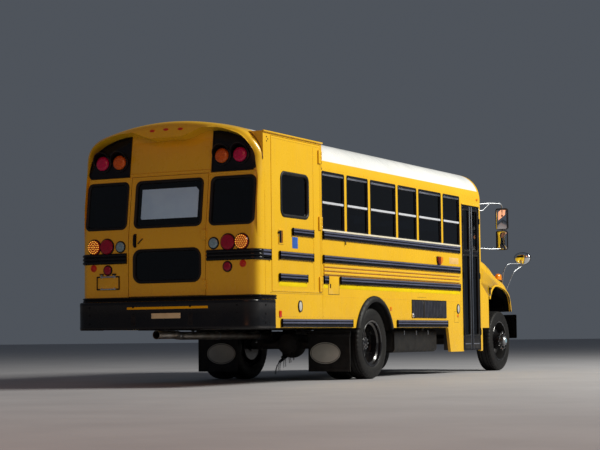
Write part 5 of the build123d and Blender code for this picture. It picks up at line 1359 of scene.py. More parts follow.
# ---------------------------------------------------------------- entrance door
def leaf_trim(name, body, lo, hi, mid_edge):
    p = Piece(name, body, slot="black_paint")
    for z0, z1 in ((0.550, 1.755), (1.815, 2.435)):
        a0, a1 = lo + 0.042, hi - 0.042
        gasket(p, right, a0, a1, z0, z1, 0.030, 0.022, 0.007, step=0.08)
    k = 1 if mid_edge == hi else -1
    # bright edge strip and soft nosing at the middle
    p.box((mid_edge - k * 0.030, mid_edge - k * 0.012), (0.345, 2.485), (-0.001, 0.004), "panel", right, 0.003)
    p.box((mid_edge - k * 0.040, mid_edge - k * 0.031), (0.345, 2.485), (-0.001, 0.009), "edge_grey", right, 0.003)
    p.sweep([((-HW, at(mid_edge - k * 0.010)), (-1.0, 0.0)), ((-HW, at(mid_edge + k * 0.001)), (-1.0, 0.0))],
            [(-0.036, 0.345), (0.002, 0.345), (0.005, 0.36), (0.005, 2.47), (0.002, 2.485), (-0.036, 2.485)],
            "rubber")
    # kick panel, rails between the panes, hinge pins
    p.slab(right, rounded(lo + 0.038, hi - 0.038, 0.362, 0.522, 0.010, 3), -0.001, 0.004, "plastic", 0.002)
    p.slab(right, rounded(lo + 0.052, hi - 0.052, 0.425, 0.437, 0.003, 2), 0.003, 0.006, "alu", 0.001)
    p.box((lo + 0.030, hi - 0.030), (1.767, 1.803), (-0.001, 0.004), "panel", right, 0.003)
    p.box((lo + 0.030, hi - 0.030), (2.446, 2.476), (-0.001, 0.004), "panel", right, 0.003)
    other = lo if mid_edge == hi else hi
    k = 1 if other == hi else -1
    for z in (0.62, 1.45, 2.28):
        p.lathe([(-0.045, 0), (-0.045, 0.008), (0.045, 0.008), (0.045, 0)],
                right(other + k * 0.0015, z, 0.006), (0, 0, 1), "panel", 12)
    # grab bar inside
    gx = -HW + 0.075
    mid = (lo + hi) / 2
    p.tube([Vector((gx - 0.04, at(mid - 0.09), 1.15)), Vector((gx, at(mid - 0.09), 1.15)),
            Vector((gx, at(mid + 0.09), 1.33)), Vector((gx - 0.04, at(mid + 0.09), 1.33))], 0.010, "tube", 10)
    p.done()


leaf_trim("entrance_rear_leaf_trim", "entrance_rear_leaf", 6.305, 6.6345, 6.6345)
leaf_trim("entrance_front_leaf_trim", "entrance_front_leaf", 6.6505, 6.980, 6.6505)

entry = Piece("entrance_surround")
entry.box((6.286, 6.300), (0.335, 2.500), (-0.030, 0.003), "rubber", right, 0.002)
entry.box((6.985, 6.999), (0.335, 2.500), (-0.030, 0.003), "rubber", right, 0.002)
entry.box((6.286, 6.999), (2.500, 2.522), (-0.030, 0.012), "body", right, 0.004)
for z, x0 in ((0.372, -1.170), (0.602, -0.930), (0.832, -0.745)):
    entry.box((x0, x0 + 0.030), (at(6.970), at(6.300)), (z - 0.006, z + 0.004), "tape",
              lambda x, y, zz: Vector((x, y, zz)), 0.002)
entry.tube([Vector((-0.60, at(6.32), 1.07)), Vector((-0.60, at(6.32), 1.98)), Vector((-0.60, at(6.34), 2.02)),
            Vector((-0.60, at(6.50), 2.02))], 0.0125, "tube", 12)
entry.box((-1.165, -0.600), (at(6.300), at(6.285)), (1.070, 1.760), "lining", world, 0.006)
entry.done()

# ---------------------------------------------------------------- mirrors on the front pillars
def bent(points, r=0.05, n=5):
    """line of points with its inner corners rounded"""
    pts = [Vector(p) for p in points]
    out = [pts[0]]
    for a, b, c in zip(pts, pts[1:], pts[2:]):
        d = min(r, (b - a).length * 0.45, (c - b).length * 0.45)
        p, q = b + (a - b).normalized() * d, b + (c - b).normalized() * d
        for i in range(n + 1):
            t = i / n
            out.append(p.lerp(b, t).lerp(b.lerp(q, t), t))
    out.append(pts[-1])
    return out


def dome(p, place, outline, centre, d0, rise, m, steps=6):
    """crowned face over an outline"""
    rings = []
    for i in range(steps):
        t = i / steps
        k = math.cos(t * math.pi / 2)
        rings.append([place(centre[0] + (a - centre[0]) * k, centre[1] + (b - centre[1]) * k,
                            d0 + rise * math.sin(t * math.pi / 2)) for a, b in outline])
    p.loops(rings, m)


def side_mirrors(side):
    p = Piece("pillar_mirrors_" + ("right" if side < 0 else "left"), slot="mirror_housing")
    mx, ms = side * 1.420, 7.480

    def pt(x, s, z):
        return Vector((side * x, at(s), z))
    p.tube(bent([pt(1.190, 7.085, 2.555), pt(1.300, 7.270, 2.575), pt(1.420, 7.480, 2.575), pt(1.420, 7.480, 2.200)],
                0.06), 0.011, "tube")
    p.tube(bent([pt(1.188, 7.085, 2.455), pt(1.225, 7.140, 2.455), pt(1.300, 7.270, 2.575)], 0.05), 0.010, "tube")
    p.tube(bent([pt(1.420, 7.480, 2.400), pt(1.420, 7.480, 1.880), pt(1.290, 7.280, 1.872), pt(1.172, 7.090, 1.880)],
                0.06), 0.010, "tube")
    for x, s, z in ((1.186, 7.082, 2.505), (1.172, 7.088, 1.880)):
        foot = plane_at(pt(x - 0.012, s - 0.004, z), Vector((0, 1, 0)), Vector((0, 0, 1)), Vector((side, 0, 0)))
        p.slab(foot, rounded(-0.024, 0.030, -0.080, 0.080, 0.012, 4), -0.004, 0.012, "fog", 0.003)
        for v in (-0.055, 0.055):
            p.bolt(foot, 0.004, v, 0.012, 0.009, "fog", 0.005)
    face = plane_at(Vector((mx, at(ms - 0.030), 0)), Vector((1, 0, 0)), Vector((0, 0, 1)), Vector((0, 1, 0)))
    for z, hz, kind in ((2.340, 0.165, "flat"), (2.010, 0.150, "convex")):
        outline = rounded(-0.095, 0.095, z - hz, z + hz, 0.032, 6)
        deep = kind == "flat"
        p.slab(face, outline, -0.048 if deep else -0.016, -0.038 if deep else 0.0, "fog", 0.006)
        small_back = offset(outline, 0.004)
        rings = [[face(a, b, d) for a, b in (offset(small_back, k) if k else small_back)]
                 for k, d in ((0.0, -0.012), (0.004, -0.030), (0.014, -0.046), (0.032, -0.054))]
        p.loops(rings, "fog", cap_start=False)
        p.ring(face, outline, offset(outline, 0.010), -0.042 if deep else -0.004, 0.006, "fog", 0.002)
        glass = offset(outline, 0.0095)
        if kind == "flat":
            turned = plane_at(Vector((mx, at(ms - 0.030), 0)), Vector((1, -side * 0.21, 0)).normalized(),
                              Vector((0, -0.05, 1)).normalized(), Vector((side * 0.21, 1, 0.05)).normalized())
            rise = Vector((0.0, 0.05 * z, 0.0))
            p.slab(lambda a, b, d=0.0: turned(a, b, d) + rise, glass, -0.026, -0.016, "mirror", 0.0005)
        else:
            dome(p, face, glass, (0.0, z), -0.001, 0.016, "mirror")
        for dz in (-0.05, 0.05):
            clamp = Vector((mx, at(ms), z + dz))
            p.lathe([(-0.013, 0.0), (-0.013, 0.017), (0.013, 0.017), (0.013, 0.0)], clamp, (0, 0, 1), "fog", 14)
    p.done(replaces=("mirrors",) if side < 0 else ())


mirrored(side_mirrors)


def fender_mirror(side):
    p = Piece("fender_mirror_" + ("right" if side < 0 else "left"), "hood", slot="mirror_housing")

    def pt(x, s, z):
        return Vector((side * x, at(s), z))
    cx, cs, cz = 1.290, 8.730, 1.795
    feet = [(1.080, 8.330), (1.100, 8.420), (0.945, 8.250)]
    low = [hood_top(x, s) for x, s in feet]
    p.tube(bent([pt(1.080, 8.330, low[0] - 0.01), pt(1.105, 8.365, 1.590), pt(1.150, 8.420, 1.690),
                 pt(cx, cs + 0.02, 1.700), pt(cx, cs + 0.03, 1.790)], 0.07), 0.009, "tube")
    p.tube(bent([pt(1.100, 8.420, low[1] - 0.01), pt(1.195, 8.560, 1.560), pt(cx - 0.005, cs + 0.02, 1.675)], 0.05),
           0.009, "tube")
    p.tube(bent([pt(0.945, 8.250, low[2] - 0.01), pt(1.105, 8.365, 1.555)], 0.05), 0.008, "tube")
    for (x, s), z in zip(feet, low):
        foot = plane_at(pt(x, s, z), Vector((1, 0, 0)), Vector((0, -1, -0.22)).normalized(),
                        Vector((0, -0.22, 1)).normalized())
        p.slab(foot, rounded(-0.030, 0.030, -0.026, 0.026, 0.012, 4), -0.020, 0.008, "fog", 0.003)
    face = plane_at(pt(cx, cs, cz), Vector((1, 0, 0)), Vector((0, 0.12, 1)).normalized(),
                    Vector((0, 1, -0.12)).normalized())
    outline = ellipse(0, 0, 0.136, 0.102, 40)
    outline = [(a, b * (0.80 if b > 0 else 1.12)) for a, b in outline]
    dome(p, face, outline, (0, -0.006), 0.002, 0.048, "mirror", 7)
    p.ring(face, [(a * 1.035, b * 1.05) for a, b in outline], [(a * 0.97, b * 0.96) for a, b in outline], -0.010,
           0.008, "fog", 0.003)
    back_face = plane_at(pt(cx, cs, cz), Vector((1, 0, 0)), Vector((0, 0.12, 1)).normalized(),
                         Vector((0, -1, 0.12)).normalized())
    dome(p, back_face, [(a * 1.03, b * 1.04) for a, b in outline], (0, -0.006), 0.004, 0.060, "fog", 6)
    p.done(replaces=("fender_mirrors",) if side < 0 else ())


# ---------------------------------------------------------------- hood
HOOD_LINE = [(7.085, 1.775, 1.745), (7.20, 1.768, 1.736), (7.36, 1.752, 1.705), (7.52, 1.732, 1.650),
             (7.70, 1.704, 1.560), (7.88, 1.672, 1.486), (8.05, 1.636, 1.446), (8.22, 1.594, 1.416),
             (8.36, 1.552, 1.378), (8.48, 1.506, 1.330), (8.57, 1.458, 1.286), (8.64, 1.404, 1.238),
             (8.69, 1.345, 1.190), (8.725, 1.280, 1.145), (8.746, 1.205, 1.098), (8.755, 1.120, 1.046)]
# across: (x, share between fender 0 and hood 1, added height)
ACROSS = [(0.0, 1, 0.014), (0.14, 1, 0.013), (0.28, 1, 0.010), (0.40, 1, 0.005), (0.505, 1, -0.001),
          (0.575, 1, -0.008), (0.64, 1, -0.016), (0.715, 1, -0.032), (0.770, 0.94, -0.042), (0.812, 0.80, -0.040),
          (0.845, 0.58, -0.030), (0.872, 0.34, -0.020), (0.900, 0.15, -0.010), (0.935, 0.04, 0.000),
          (0.975, 0, 0.004), (1.020, 0, 0.004), (1.060, 0, -0.002), (1.095, 0, -0.012), (1.125, 0, -0.027),
          (1.150, 0, -0.047), (1.170, 0, -0.073), (1.184, 0, -0.106), (1.192, 0, -0.146)]
BOW = [(0.0, 0.0), (0.35, 0.010), (0.70, 0.040), (0.87, 0.078), (1.00, 0.125), (1.08, 0.190), (1.14, 0.255),
       (1.175, 0.320), (1.195, 0.365)]
NOSE_S, HOOD_LOW, FLANK = 8.755, 0.925, 1.195
GRILLE_ROW, GRILLE_LOW = 12, 0.982
# rear edge of the fender's side, from its lower tip up, and the wheel opening from that tip forwards: (s, z)
SIDE_BACK = [(7.478, 1.130), (7.390, 1.172), (7.300, 1.215), (7.195, 1.268), (7.096, 1.322), (7.096, 1.385),
             (7.096, 1.430)]
WHEEL_ARCH = [(7.486, 1.110), (7.525, 1.190), (7.600, 1.262), (7.700, 1.306), (7.820, 1.313), (7.940, 1.301),
              (8.090, 1.273), (8.210, 1.238), (8.300, 1.185), (8.355, 1.110), (8.388, 1.020), (8.405, 0.925)]


def table_value(rows, x):
    x = abs(x)
    for (x0, v0), (x1, v1) in zip(rows, rows[1:]):
        if x <= x1:
            return v0 + (v1 - v0) * (x - x0) / (x1 - x0)
    return rows[-1][1]


def line_at(s, which):
    return table_value([(row[0], row[which]) for row in HOOD_LINE], max(s, HOOD_LINE[0][0]))


def cowl_s(x):
    """the hood's rear edge follows the bowed front of the body, with a gap for its seal"""
    return 3.0823 + math.sqrt(4.1677 ** 2 - x * x) + 0.016


def smooth_line(points, n):
    """n points, evenly spaced by length, on a smooth curve through points"""
    pts = [Vector(q) for q in points]
    fine = []
    for i in range(len(pts) - 1):
        p0, p1, p2, p3 = pts[max(0, i - 1)], pts[i], pts[i + 1], pts[min(len(pts) - 1, i + 2)]
        for k in range(12):
            u = k / 12
            fine.append(0.5 * ((2 * p1) + (p2 - p0) * u + (2 * p0 - 5 * p1 + 4 * p2 - p3) * u * u
                               + (3 * p1 - p0 - 3 * p2 + p3) * u ** 3))
    fine.append(pts[-1])
    return along_line(fine, [i / (n - 1) for i in range(n)])


def along_line(pts, shares):
    lengths = [0.0]
    for p0, p1 in zip(pts, pts[1:]):
        lengths.append(lengths[-1] + (p1 - p0).length)
    out = []
    for share in shares:
        want = share * lengths[-1]
        i = 0
        while i < len(pts) - 2 and lengths[i + 1] < want:
            i += 1
        span = lengths[i + 1] - lengths[i]
        out.append(pts[i].lerp(pts[i + 1], (want - lengths[i]) / span if span else 0.0))
    return out


WHEEL_EDGE = [(q.x, q.y) for q in smooth_line(WHEEL_ARCH, 49)]


def hood_rows():
    """half sections of the hood and fender top, from the middle out: rows of (x, s, z)"""
    rows = []
    first = HOOD_LINE[0][0]
    for station, _, _ in HOOD_LINE:
        t = (station - first) / (NOSE_S - first)
        row = []
        for x, k, dz in ACROSS:
            s = cowl_s(x) + (NOSE_S - cowl_s(x)) * t
            w = min(1.0, max(0.0, (s - 7.95) / 0.80))
            w = w * w * (3 - 2 * w)
            zh, zf = line_at(s, 1), line_at(s, 2)
            row.append((x, s - table_value(BOW, x) * w, zf + (zh - zf) * k + dz * (1 - 0.55 * w)))
        rows.append(row)
    # front face: down to the lower bar of the grille, then to the lower edge
    last = rows[-1]
    for level, share in ((GRILLE_LOW, 0.5), (GRILLE_LOW, 1.0), (HOOD_LOW, 0.5), (HOOD_LOW, 1.0)):
        base = last if level == GRILLE_LOW else rows[len(HOOD_LINE) + 1]
        rows.append([(x, s + (0.004 if level == GRILLE_LOW else -0.002), z + (level - z) * share)
                     for x, s, z in base])
    return rows


def make_hood():
    rows = hood_rows()
    full = [[(-x, s, z) for x, s, z in reversed(row)] + row[1:] for row in rows]
    m = len(full[0])
    verts = [(x, at(s), z) for line in full for x, s, z in line]
    faces = []
    for k in range(len(full) - 1):
        for i in range(m - 1):
            middle = abs(full[k][i][0] + full[k][i + 1][0]) / 2
            if middle < 0.505 and GRILLE_ROW <= k < len(HOOD_LINE) + 1:
                continue
            faces.append((k * m + i, k * m + i + 1, (k + 1) * m + i + 1, (k + 1) * m + i))
    # flanks: from the fender's edge down to the wheel opening
    for side, column in ((-1, 0), (1, m - 1)):
        edge = [k * m + column for k in range(len(full))]
        base = len(verts)
        verts += [(side * FLANK, at(s), z) for s, z in SIDE_BACK]
        rim = [base + i for i in range(len(SIDE_BACK))] + edge
        line = [Vector((at(verts[i][1]), verts[i][2])) for i in rim]
        run = [0.0]
        for p0, p1 in zip(line, line[1:]):
            run.append(run[-1] + (p1 - p0).length)
        inner = along_line([Vector(q) for q in WHEEL_EDGE], [r / run[-1] for r in run])
        base = len(verts)
        verts += [(side * FLANK, at(q.x), q.y) for q in inner]
        for i in range(len(rim) - 1):
            faces.append((rim[i], rim[i + 1], base + i + 1, base + i))
    me = bpy.data.meshes.new("hood_shell")
    me.from_pydata(verts, [], faces)
    o = bpy.data.objects.new("hood_shell", me)
    bpy.context.scene.collection.objects.link(o)
    tidy(me)
    if sum(q.normal.z * q.area for q in me.polygons if q.center.z > 1.5) < 0:
        me.flip_normals()
    me.materials.append(M["body"])
    me.materials.append(M["chassis"])
    me.polygons.foreach_set("use_smooth", [True] * len(me.polygons))
    sol = o.modifiers.new("sheet", "SOLIDIFY")
    sol.thickness, sol.offset = 0.010, -1.0
    sol.material_offset = 1
    me.set_sharp_from_angle(angle=math.radians(32))
    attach(o, "hood")
    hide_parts("hood")
    return o


make_hood()


def hood_top(x, s):
    """height of the hood's upper surface"""
    line = []
    for row in hood_rows()[:len(HOOD_LINE)]:
        for (x0, s0, z0), (x1, s1, z1) in zip(row, row[1:]):
            if x0 <= abs(x) <= x1:
                t = (abs(x) - x0) / (x1 - x0)
                line.append((s0 + (s1 - s0) * t, z0 + (z1 - z0) * t))
                break
    for (s0, z0), (s1, z1) in zip(line, line[1:]):
        if s <= s1:
            return z0 + (z1 - z0) * (s - s0) / (s1 - s0)
    return line[-1][1]


mirrored(fender_mirror)


def nose(x, z, d=0.0):
    """front face of the hood, d ahead of it"""
    def point(xx):
        return Vector((xx, at(8.755 - table_value(BOW, xx)), z))
    t = (point(x + 0.004) - point(x - 0.004)).normalized()
    n = Vector((t.y, -t.x, 0))
    if n.y > 0:
        n = -n
    return point(x) + n * d


hoodbits = Piece("hood_fittings", "hood")
for side in (-1, 1):
    flank = (lambda s, z, d=0.0, k=side: Vector((k * (1.195 + d), at(s), z)))
    pts = WHEEL_EDGE
    # rolled lip round the wheel opening
    rings = []
    vec = [Vector(q) for q in pts]
    for i, q in enumerate(vec):
        t = (vec[min(i + 1, len(vec) - 1)] - vec[max(i - 1, 0)]).normalized()
        nrm = Vector((-t.y, t.x))
        if nrm.dot(q - Vector((7.93, 0.95))) < 0:
            nrm = -nrm
        rings.append([flank(q.x + nrm.x * w, q.y + nrm.y * w, d) for w, d in
                      ((0.022, -0.003), (0.021, 0.001), (0.014, 0.006), (0.004, 0.0085), (-0.003, 0.007),
                       (-0.006, 0.002), (-0.006, -0.030), (-0.001, -0.030))])
    hoodbits.loops(rings, "body")
    # lamp on the fender top
    top = plane_at(Vector((side * 1.075, at(8.170), hood_top(1.075, 8.170) + 0.001)), Vector((1, 0, 0)),
                   Vector((0, 1, 0.17)).normalized(), Vector((0, -0.17, 1)).normalized())
    hoodbits.slab(top, ellipse(0, 0, 0.060, 0.080, 30), -0.014, 0.010, "rubber", 0.004)
    rings = [[top(a * k, b * k, d) for a, b in ellipse(0, 0, 0.053, 0.072, 30)]
             for k, d in ((1.0, 0.008), (0.99, 0.060), (0.93, 0.086), (0.78, 0.102), (0.5, 0.110), (0.2, 0.112))]
    hoodbits.loops(rings, "amber")
    # rubber catch on the hood side
    catch = plane_at(Vector((side * 1.196, at(7.47), 1.235)), Vector((0, -1, 0)), Vector((0, 0, 1)),
                     Vector((side, 0, 0)))
    hoodbits.slab(catch, rounded(-0.018, 0.018, -0.055, 0.055, 0.008, 4), -0.002, 0.014, "rubber", 0.004)
    hoodbits.slab(catch, rounded(-0.030, 0.030, 0.030, 0.052, 0.008, 4), 0.008, 0.024, "rubber", 0.004)
    hoodbits.slab(catch, rounded(-0.024, 0.024, -0.072, -0.044, 0.006, 4), -0.002, 0.010, "tube", 0.003)
    # headlamp unit
    o, al, up, n = local_axes(nose, side * 0.800, 1.090)
    if al.x < 0:
        al = -al
    face = plane_at(o, al, up, n)
    box_out = rounded(-0.215, 0.215, -0.105, 0.105, 0.035, 6)
    hoodbits.slab(face, box_out, -0.050, 0.012, "panel", 0.004)
    hoodbits.ring(face, box_out, offset(box_out, 0.012), 0.008, 0.026, "chrome", 0.004)
    c0 = face(-side * 0.075, 0, 0.0)
    hoodbits.lathe([(0.014, 0.092), (0.020, 0.090), (0.012, 0.070), (0.006, 0.040), (0.004, 0.0)], c0, n, "chrome", 40)
    hoodbits.lathe([(0.008, 0.020), (0.020, 0.018), (0.026, 0.010), (0.028, 0.0)], c0, n, "lamp_white", 20)
    hoodbits.slab(face, offset(box_out, 0.014), 0.024, 0.030, "clear", 0.003)
    a0, a1 = sorted((side * 0.060, side * 0.195))
    hoodbits.slab(face, rounded(a0, a1, -0.082, 0.082, 0.022, 5), 0.010, 0.022, "amber", 0.004)
# bright surround and bars of the grille
rows_g = rounded(-0.505, 0.505, 0.982, 1.335, 0.045, 6)
front = plane_at(Vector((0, at(8.748), 0)), Vector((1, 0, 0)), Vector((0, 0, 1)), Vector((0, -1, 0)))
surround = densify(offset(rows_g, -0.018), 0.08)
hoodbits.ring(lambda a, b, d=0.0: nose(a, b, d) + Vector((0, 0.045 * max(0.0, (b - 1.16) / 0.17) ** 1.6, 0)),
              surround, offset(surround, 0.024), -0.020, 0.010, "chrome", 0.003)
for k in range(6):
    z = 1.051 + 0.052 * k - 0.026
    hoodbits.box((-0.492, 0.492), (z + 0.020, z + 0.032), (-0.010, 0.006), "chrome", front, 0.003)
for k in range(15):
    x = -0.42 + 0.06 * k
    hoodbits.box((x - 0.004, x + 0.004), (0.992, 1.322), (-0.030, -0.016), "plastic", front, 0.001)
# hinge lugs in front of the nose, on the joint's axis
for side in (-1, 1):
    hoodbits.box((side * 0.2145, side * 0.2555), (at(8.772), at(8.655)), (0.8915, 0.9505), "chassis", world, 0.006)
    hoodbits.lathe([(-0.0305, 0.0), (-0.0305, 0.0125), (-0.028, 0.0148), (0.028, 0.0148), (0.0305, 0.0125),
                    (0.0305, 0.0)], (side * 0.235, at(8.770), 0.900), (1, 0, 0), "chassis", 24)
# soft seal behind the hood
crease_painted_shade = []
first_row = [(q[0], q[2]) for q in hood_rows()[0]]
for i in range(41):
    x = 1.17 * (-1 + 2 * i / 40)
    crease_painted_shade.append(Vector((x, at(cowl_s(x) - 0.006), table_value(first_row, x) - 0.024)))
hoodbits.tube(crease_painted_shade, 0.014, "rubber", 10)
hoodbits.done()
for sl in NODE["grille"].material_slots:
    sl.material = M["plastic"]

# ---------------------------------------------------------------- tyres and wheel fittings
AXLE_H = 0.465
TYRE_HALF = [(0.092, 0.292), (0.104, 0.297), (0.112, 0.314), (0.117, 0.322), (0.1185, 0.330), (0.122, 0.345),
             (0.1268, 0.362), (0.1275, 0.375), (0.1265, 0.395), (0.1235, 0.415), (0.1195, 0.430), (0.117, 0.438),
             (0.113, 0.448), (0.104, 0.4565), (0.092, 0.4605), (0.079, 0.462), (0.0765, 0.450), (0.0695, 0.450),
             (0.067, 0.4632), (0.038, 0.4643), (0.0355, 0.4522), (0.0285, 0.4522), (0.026, 0.4645), (0.0, 0.465)]
TYRE_SECTION = [(-a, r) for a, r in TYRE_HALF] + [(a, r) for a, r in reversed(TYRE_HALF[:-1])]


def tyre(p, x, s, n=192):
    """road tyre: beads, sidewall ribs, four tread grooves, notched shoulders and fine cuts across the ribs"""
    c = Vector((x, at(s), AXLE_H))
    rings = []
    for a, r in TYRE_SECTION:
        ring = []
        for i in range(n):
            rr = r
            if 0.0910 < abs(a) < 0.1200 and r > 0.4290 and i % 4 == 0:
                rr -= 0.008
            elif 0.0250 < abs(a) < 0.0800 and r > 0.460 and i % 4 == (2 if a > 0 else 0):
                rr -= 0.0035
            t = 2 * math.pi * i / n
            ring.append(c + Vector((a, rr * math.cos(t), rr * math.sin(t))))
        rings.append(ring)
    rings.append(rings[0])
    p.loops(rings, "tyre", cap_start=False, cap_end=False)


FRONT_S, REAR_S = 7.975, 3.174
for node, body, places in (
        ("front_right_tyre", "front_right_wheel", ((-1.040, FRONT_S),)),
        ("front_left_tyre", "front_left_wheel", ((1.040, FRONT_S),)),
        ("rear_right_tyres", "rear_right_wheels", ((-0.742, REAR_S), (-1.062, REAR_S))),
        ("rear_left_tyres", "rear_left_wheels", ((0.742, REAR_S), (1.062, REAR_S)))):
    p = Piece(node + "_treaded", body, slot="tyre_rubber")
    for x, s in places:
        tyre(p, x, s)
    p.done(smooth=40, replaces=(node,))


def wheel_nut(p, c, out, m="bright"):
    """hexagon nut on a washer with the stud end through it"""
    p.lathe([(0.0, 0.0), (0.0, 0.0225), (0.003, 0.0225), (0.004, 0.0205)], c, out, "wheel", 20)
    p.lathe([(0.003, 0.0), (0.003, 0.0190), (0.019, 0.0190), (0.022, 0.0160), (0.022, 0.0105)], c, out, m, 6)
    p.lathe([(0.020, 0.0105), (0.030, 0.0105), (0.032, 0.0080), (0.032, 0.0)], c, out, "cast", 12)


def wheel_fittings(name, body, side, s, front):
    p = Piece(name, body)
    out = (side, 0, 0)
    face = side * (1.186 if front else 0.916)
    turn = 0.130 if front else 0.140
    for k in range(10):
        t = 2 * math.pi * (k + 0.5) / 10
        wheel_nut(p, Vector((face, at(s) + turn * math.cos(t), AXLE_H + turn * math.sin(t))), out,
                  "chrome" if front else "tube")
    end = Vector((side * (1.236 if front else 1.062), at(s), AXLE_H))
    if front:
        # oil cap: clear window in a flanged ring
        p.lathe([(-0.004, 0.074), (0.006, 0.074), (0.009, 0.070), (0.009, 0.058), (0.022, 0.050), (0.026, 0.044),
                 (0.026, 0.034)], end, out, "tube", 40)
        p.lathe([(0.024, 0.036), (0.027, 0.030), (0.028, 0.0)], end, out, "lamp_white", 28)
        for k in range(6):
            t = 2 * math.pi * k / 6
            c = end + Vector((side * 0.008, 0.065 * math.cos(t), 0.065 * math.sin(t)))
            p.lathe([(0.0, 0.0), (0.0, 0.0075), (0.006, 0.0075), (0.008, 0.005), (0.008, 0.0)], c, out, "chrome", 6)
    else:
        # axle shaft flange with its studs
        p.lathe([(-0.003, 0.084), (0.011, 0.084), (0.015, 0.080), (0.015, 0.046), (0.022, 0.040), (0.024, 0.030),
                 (0.024, 0.0)], end, out, "wheel", 44)
        for k in range(8):
            t = 2 * math.pi * k / 8
            c = end + Vector((side * 0.014, 0.066 * math.cos(t), 0.066 * math.sin(t)))
            p.lathe([(0.0, 0.0), (0.0, 0.0095), (0.010, 0.0095), (0.012, 0.007), (0.012, 0.0)], c, out, "tube", 6)
    # valve stem, bent out past the disc
    if front:
        a = 0.6
        d = Vector((0, math.cos(a), math.sin(a)))
        c = Vector((0, at(s), AXLE_H))
        p.tube([c + d * 0.246 + Vector((side * 1.102, 0, 0)), c + d * 0.244 + Vector((side * 1.130, 0, 0)),
                c + d * 0.236 + Vector((side * 1.162, 0, 0))], 0.0045, "chrome", 10)
        p.tube([c + d * 0.237 + Vector((side * 1.158, 0, 0)), c + d * 0.233 + Vector((side * 1.174, 0, 0))], 0.0062,
               "rubber", 10)
    else:
        for a, x0, x1 in ((0.6, 1.000, 1.080), (3.74, 0.930, 1.060)):
            d = Vector((0, math.cos(a), math.sin(a)))
            c = Vector((0, at(s), AXLE_H))
            p.tube([c + d * 0.240 + Vector((side * x0, 0, 0)), c + d * 0.228 + Vector((side * (x0 + x1) / 2, 0, 0)),
                    c + d * 0.222 + Vector((side * x1, 0, 0))], 0.0045, "chrome", 10)
            p.tube([c + d * 0.222 + Vector((side * (x1 - 0.004), 0, 0)),
                    c + d * 0.221 + Vector((side * (x1 + 0.014), 0, 0))], 0.0062, "rubber", 10)
    # rolled edge on the rim flanges and a balance weight clipped to it
    for x in ((1.040,) if front else (0.742, 1.062)):
        for k in (-1, 1):
            p.lathe([(k * 0.1080, 0.3000), (k * 0.1145, 0.3050), (k * 0.1175, 0.3020), (k * 0.1170, 0.2960),
                     (k * 0.1130, 0.2900), (k * 0.1100, 0.2900)], (side * x, at(s), AXLE_H), (1, 0, 0), "wheel", 96,
                    closed=True)
    weight = side * (1.040 if front else 1.062)
    rings = []
    for k in range(7):
        t = 2.0 + 0.028 * k
        c = Vector((weight, at(s), AXLE_H))
        rings.append([c + Vector((side * a, r * math.cos(t), r * math.sin(t)))
                      for a, r in ((0.108, 0.292), (0.1185, 0.290), (0.1195, 0.278), (0.109, 0.278))])
    p.loops(rings, "tube")
    p.done(smooth=35)


wheel_fittings("front_right_wheel_fittings", "front_right_wheel", -1, FRONT_S, True)
wheel_fittings("front_left_wheel_fittings", "front_left_wheel", 1, FRONT_S, True)
wheel_fittings("rear_right_wheel_fittings", "rear_right_wheels", -1, REAR_S, False)
wheel_fittings("rear_left_wheel_fittings", "rear_left_wheels", 1, REAR_S, False)

# ---------------------------------------------------------------- windscreen, header lamps and front bumper
BOW_S = 3.0823


def front(x, z, d=0.0):
    """bowed front of the body, recessed below the header"""
    r = 4.2177 if z > 2.54 else 4.1677
    h = math.sqrt(r * r - x * x)
    return Vector((x, at(BOW_S + h), z)) + Vector((x / r, -h / r, 0.0)) * d


end = Piece("windscreen_trim", slot="black_paint")
gasket(end, front, -1.060, 1.060, 1.800, 2.505, 0.070, width=0.036, height=0.012, low=-0.018, step=0.05)
bar = [(-0.020, -0.020), (-0.020, -0.004), (-0.012, 0.004), (0.012, 0.004), (0.020, -0.004), (0.020, -0.020)]
end.loops([[front(a, z, d) for a, d in bar] for z in (1.802, 2.15, 2.503)], "rubber")
# black header strip over the screen
end.slab(front, densify(rounded(-1.120, 1.120, 2.520, 2.536, 0.004, 2), 0.08), -0.004, 0.006, "rubber", 0.002)
for side in (-1, 1):
    # wiper: spindle, arm and blade parked along the lower edge
    end.lathe([(-0.004, 0.0), (-0.004, 0.017), (0.010, 0.016), (0.014, 0.010), (0.022, 0.009), (0.024, 0.0)],
              front(side * 0.720, 1.786, 0.0), (front(side * 0.720, 1.786, 1.0) - front(side * 0.720, 1.786)),
              "fog", 20)
    arm = [front(side * x, z, d) for x, z, d in ((0.720, 1.786, 0.016), (0.640, 1.812, 0.014), (0.480, 1.846, 0.010),
                                                 (0.390, 1.858, 0.006))]
    end.tube(arm, 0.0055, "fog", 8)
    blade = []
    for k in range(9):
        x = 0.100 + 0.620 * k / 8
        z = 1.8400 + 0.028 * k / 8
        blade.append([front(side * x, z + b, d - 0.012) for b, d in ((-0.006, 0.0), (-0.007, 0.010), (-0.003, 0.016),
                                                                  (0.003, 0.016), (0.007, 0.010), (0.006, 0.0),
                                                                  (0.0015, -0.003), (-0.0015, -0.003))])
    end.loops(blade, "rubber")
end.done()

FRONT_PANEL = [(0.600, 2.585), (1.080, 2.585), (1.095, 2.610), (1.085, 2.680), (1.050, 2.760), (0.980, 2.830),
               (0.900, 2.880), (0.780, 2.920), (0.600, 2.945)]


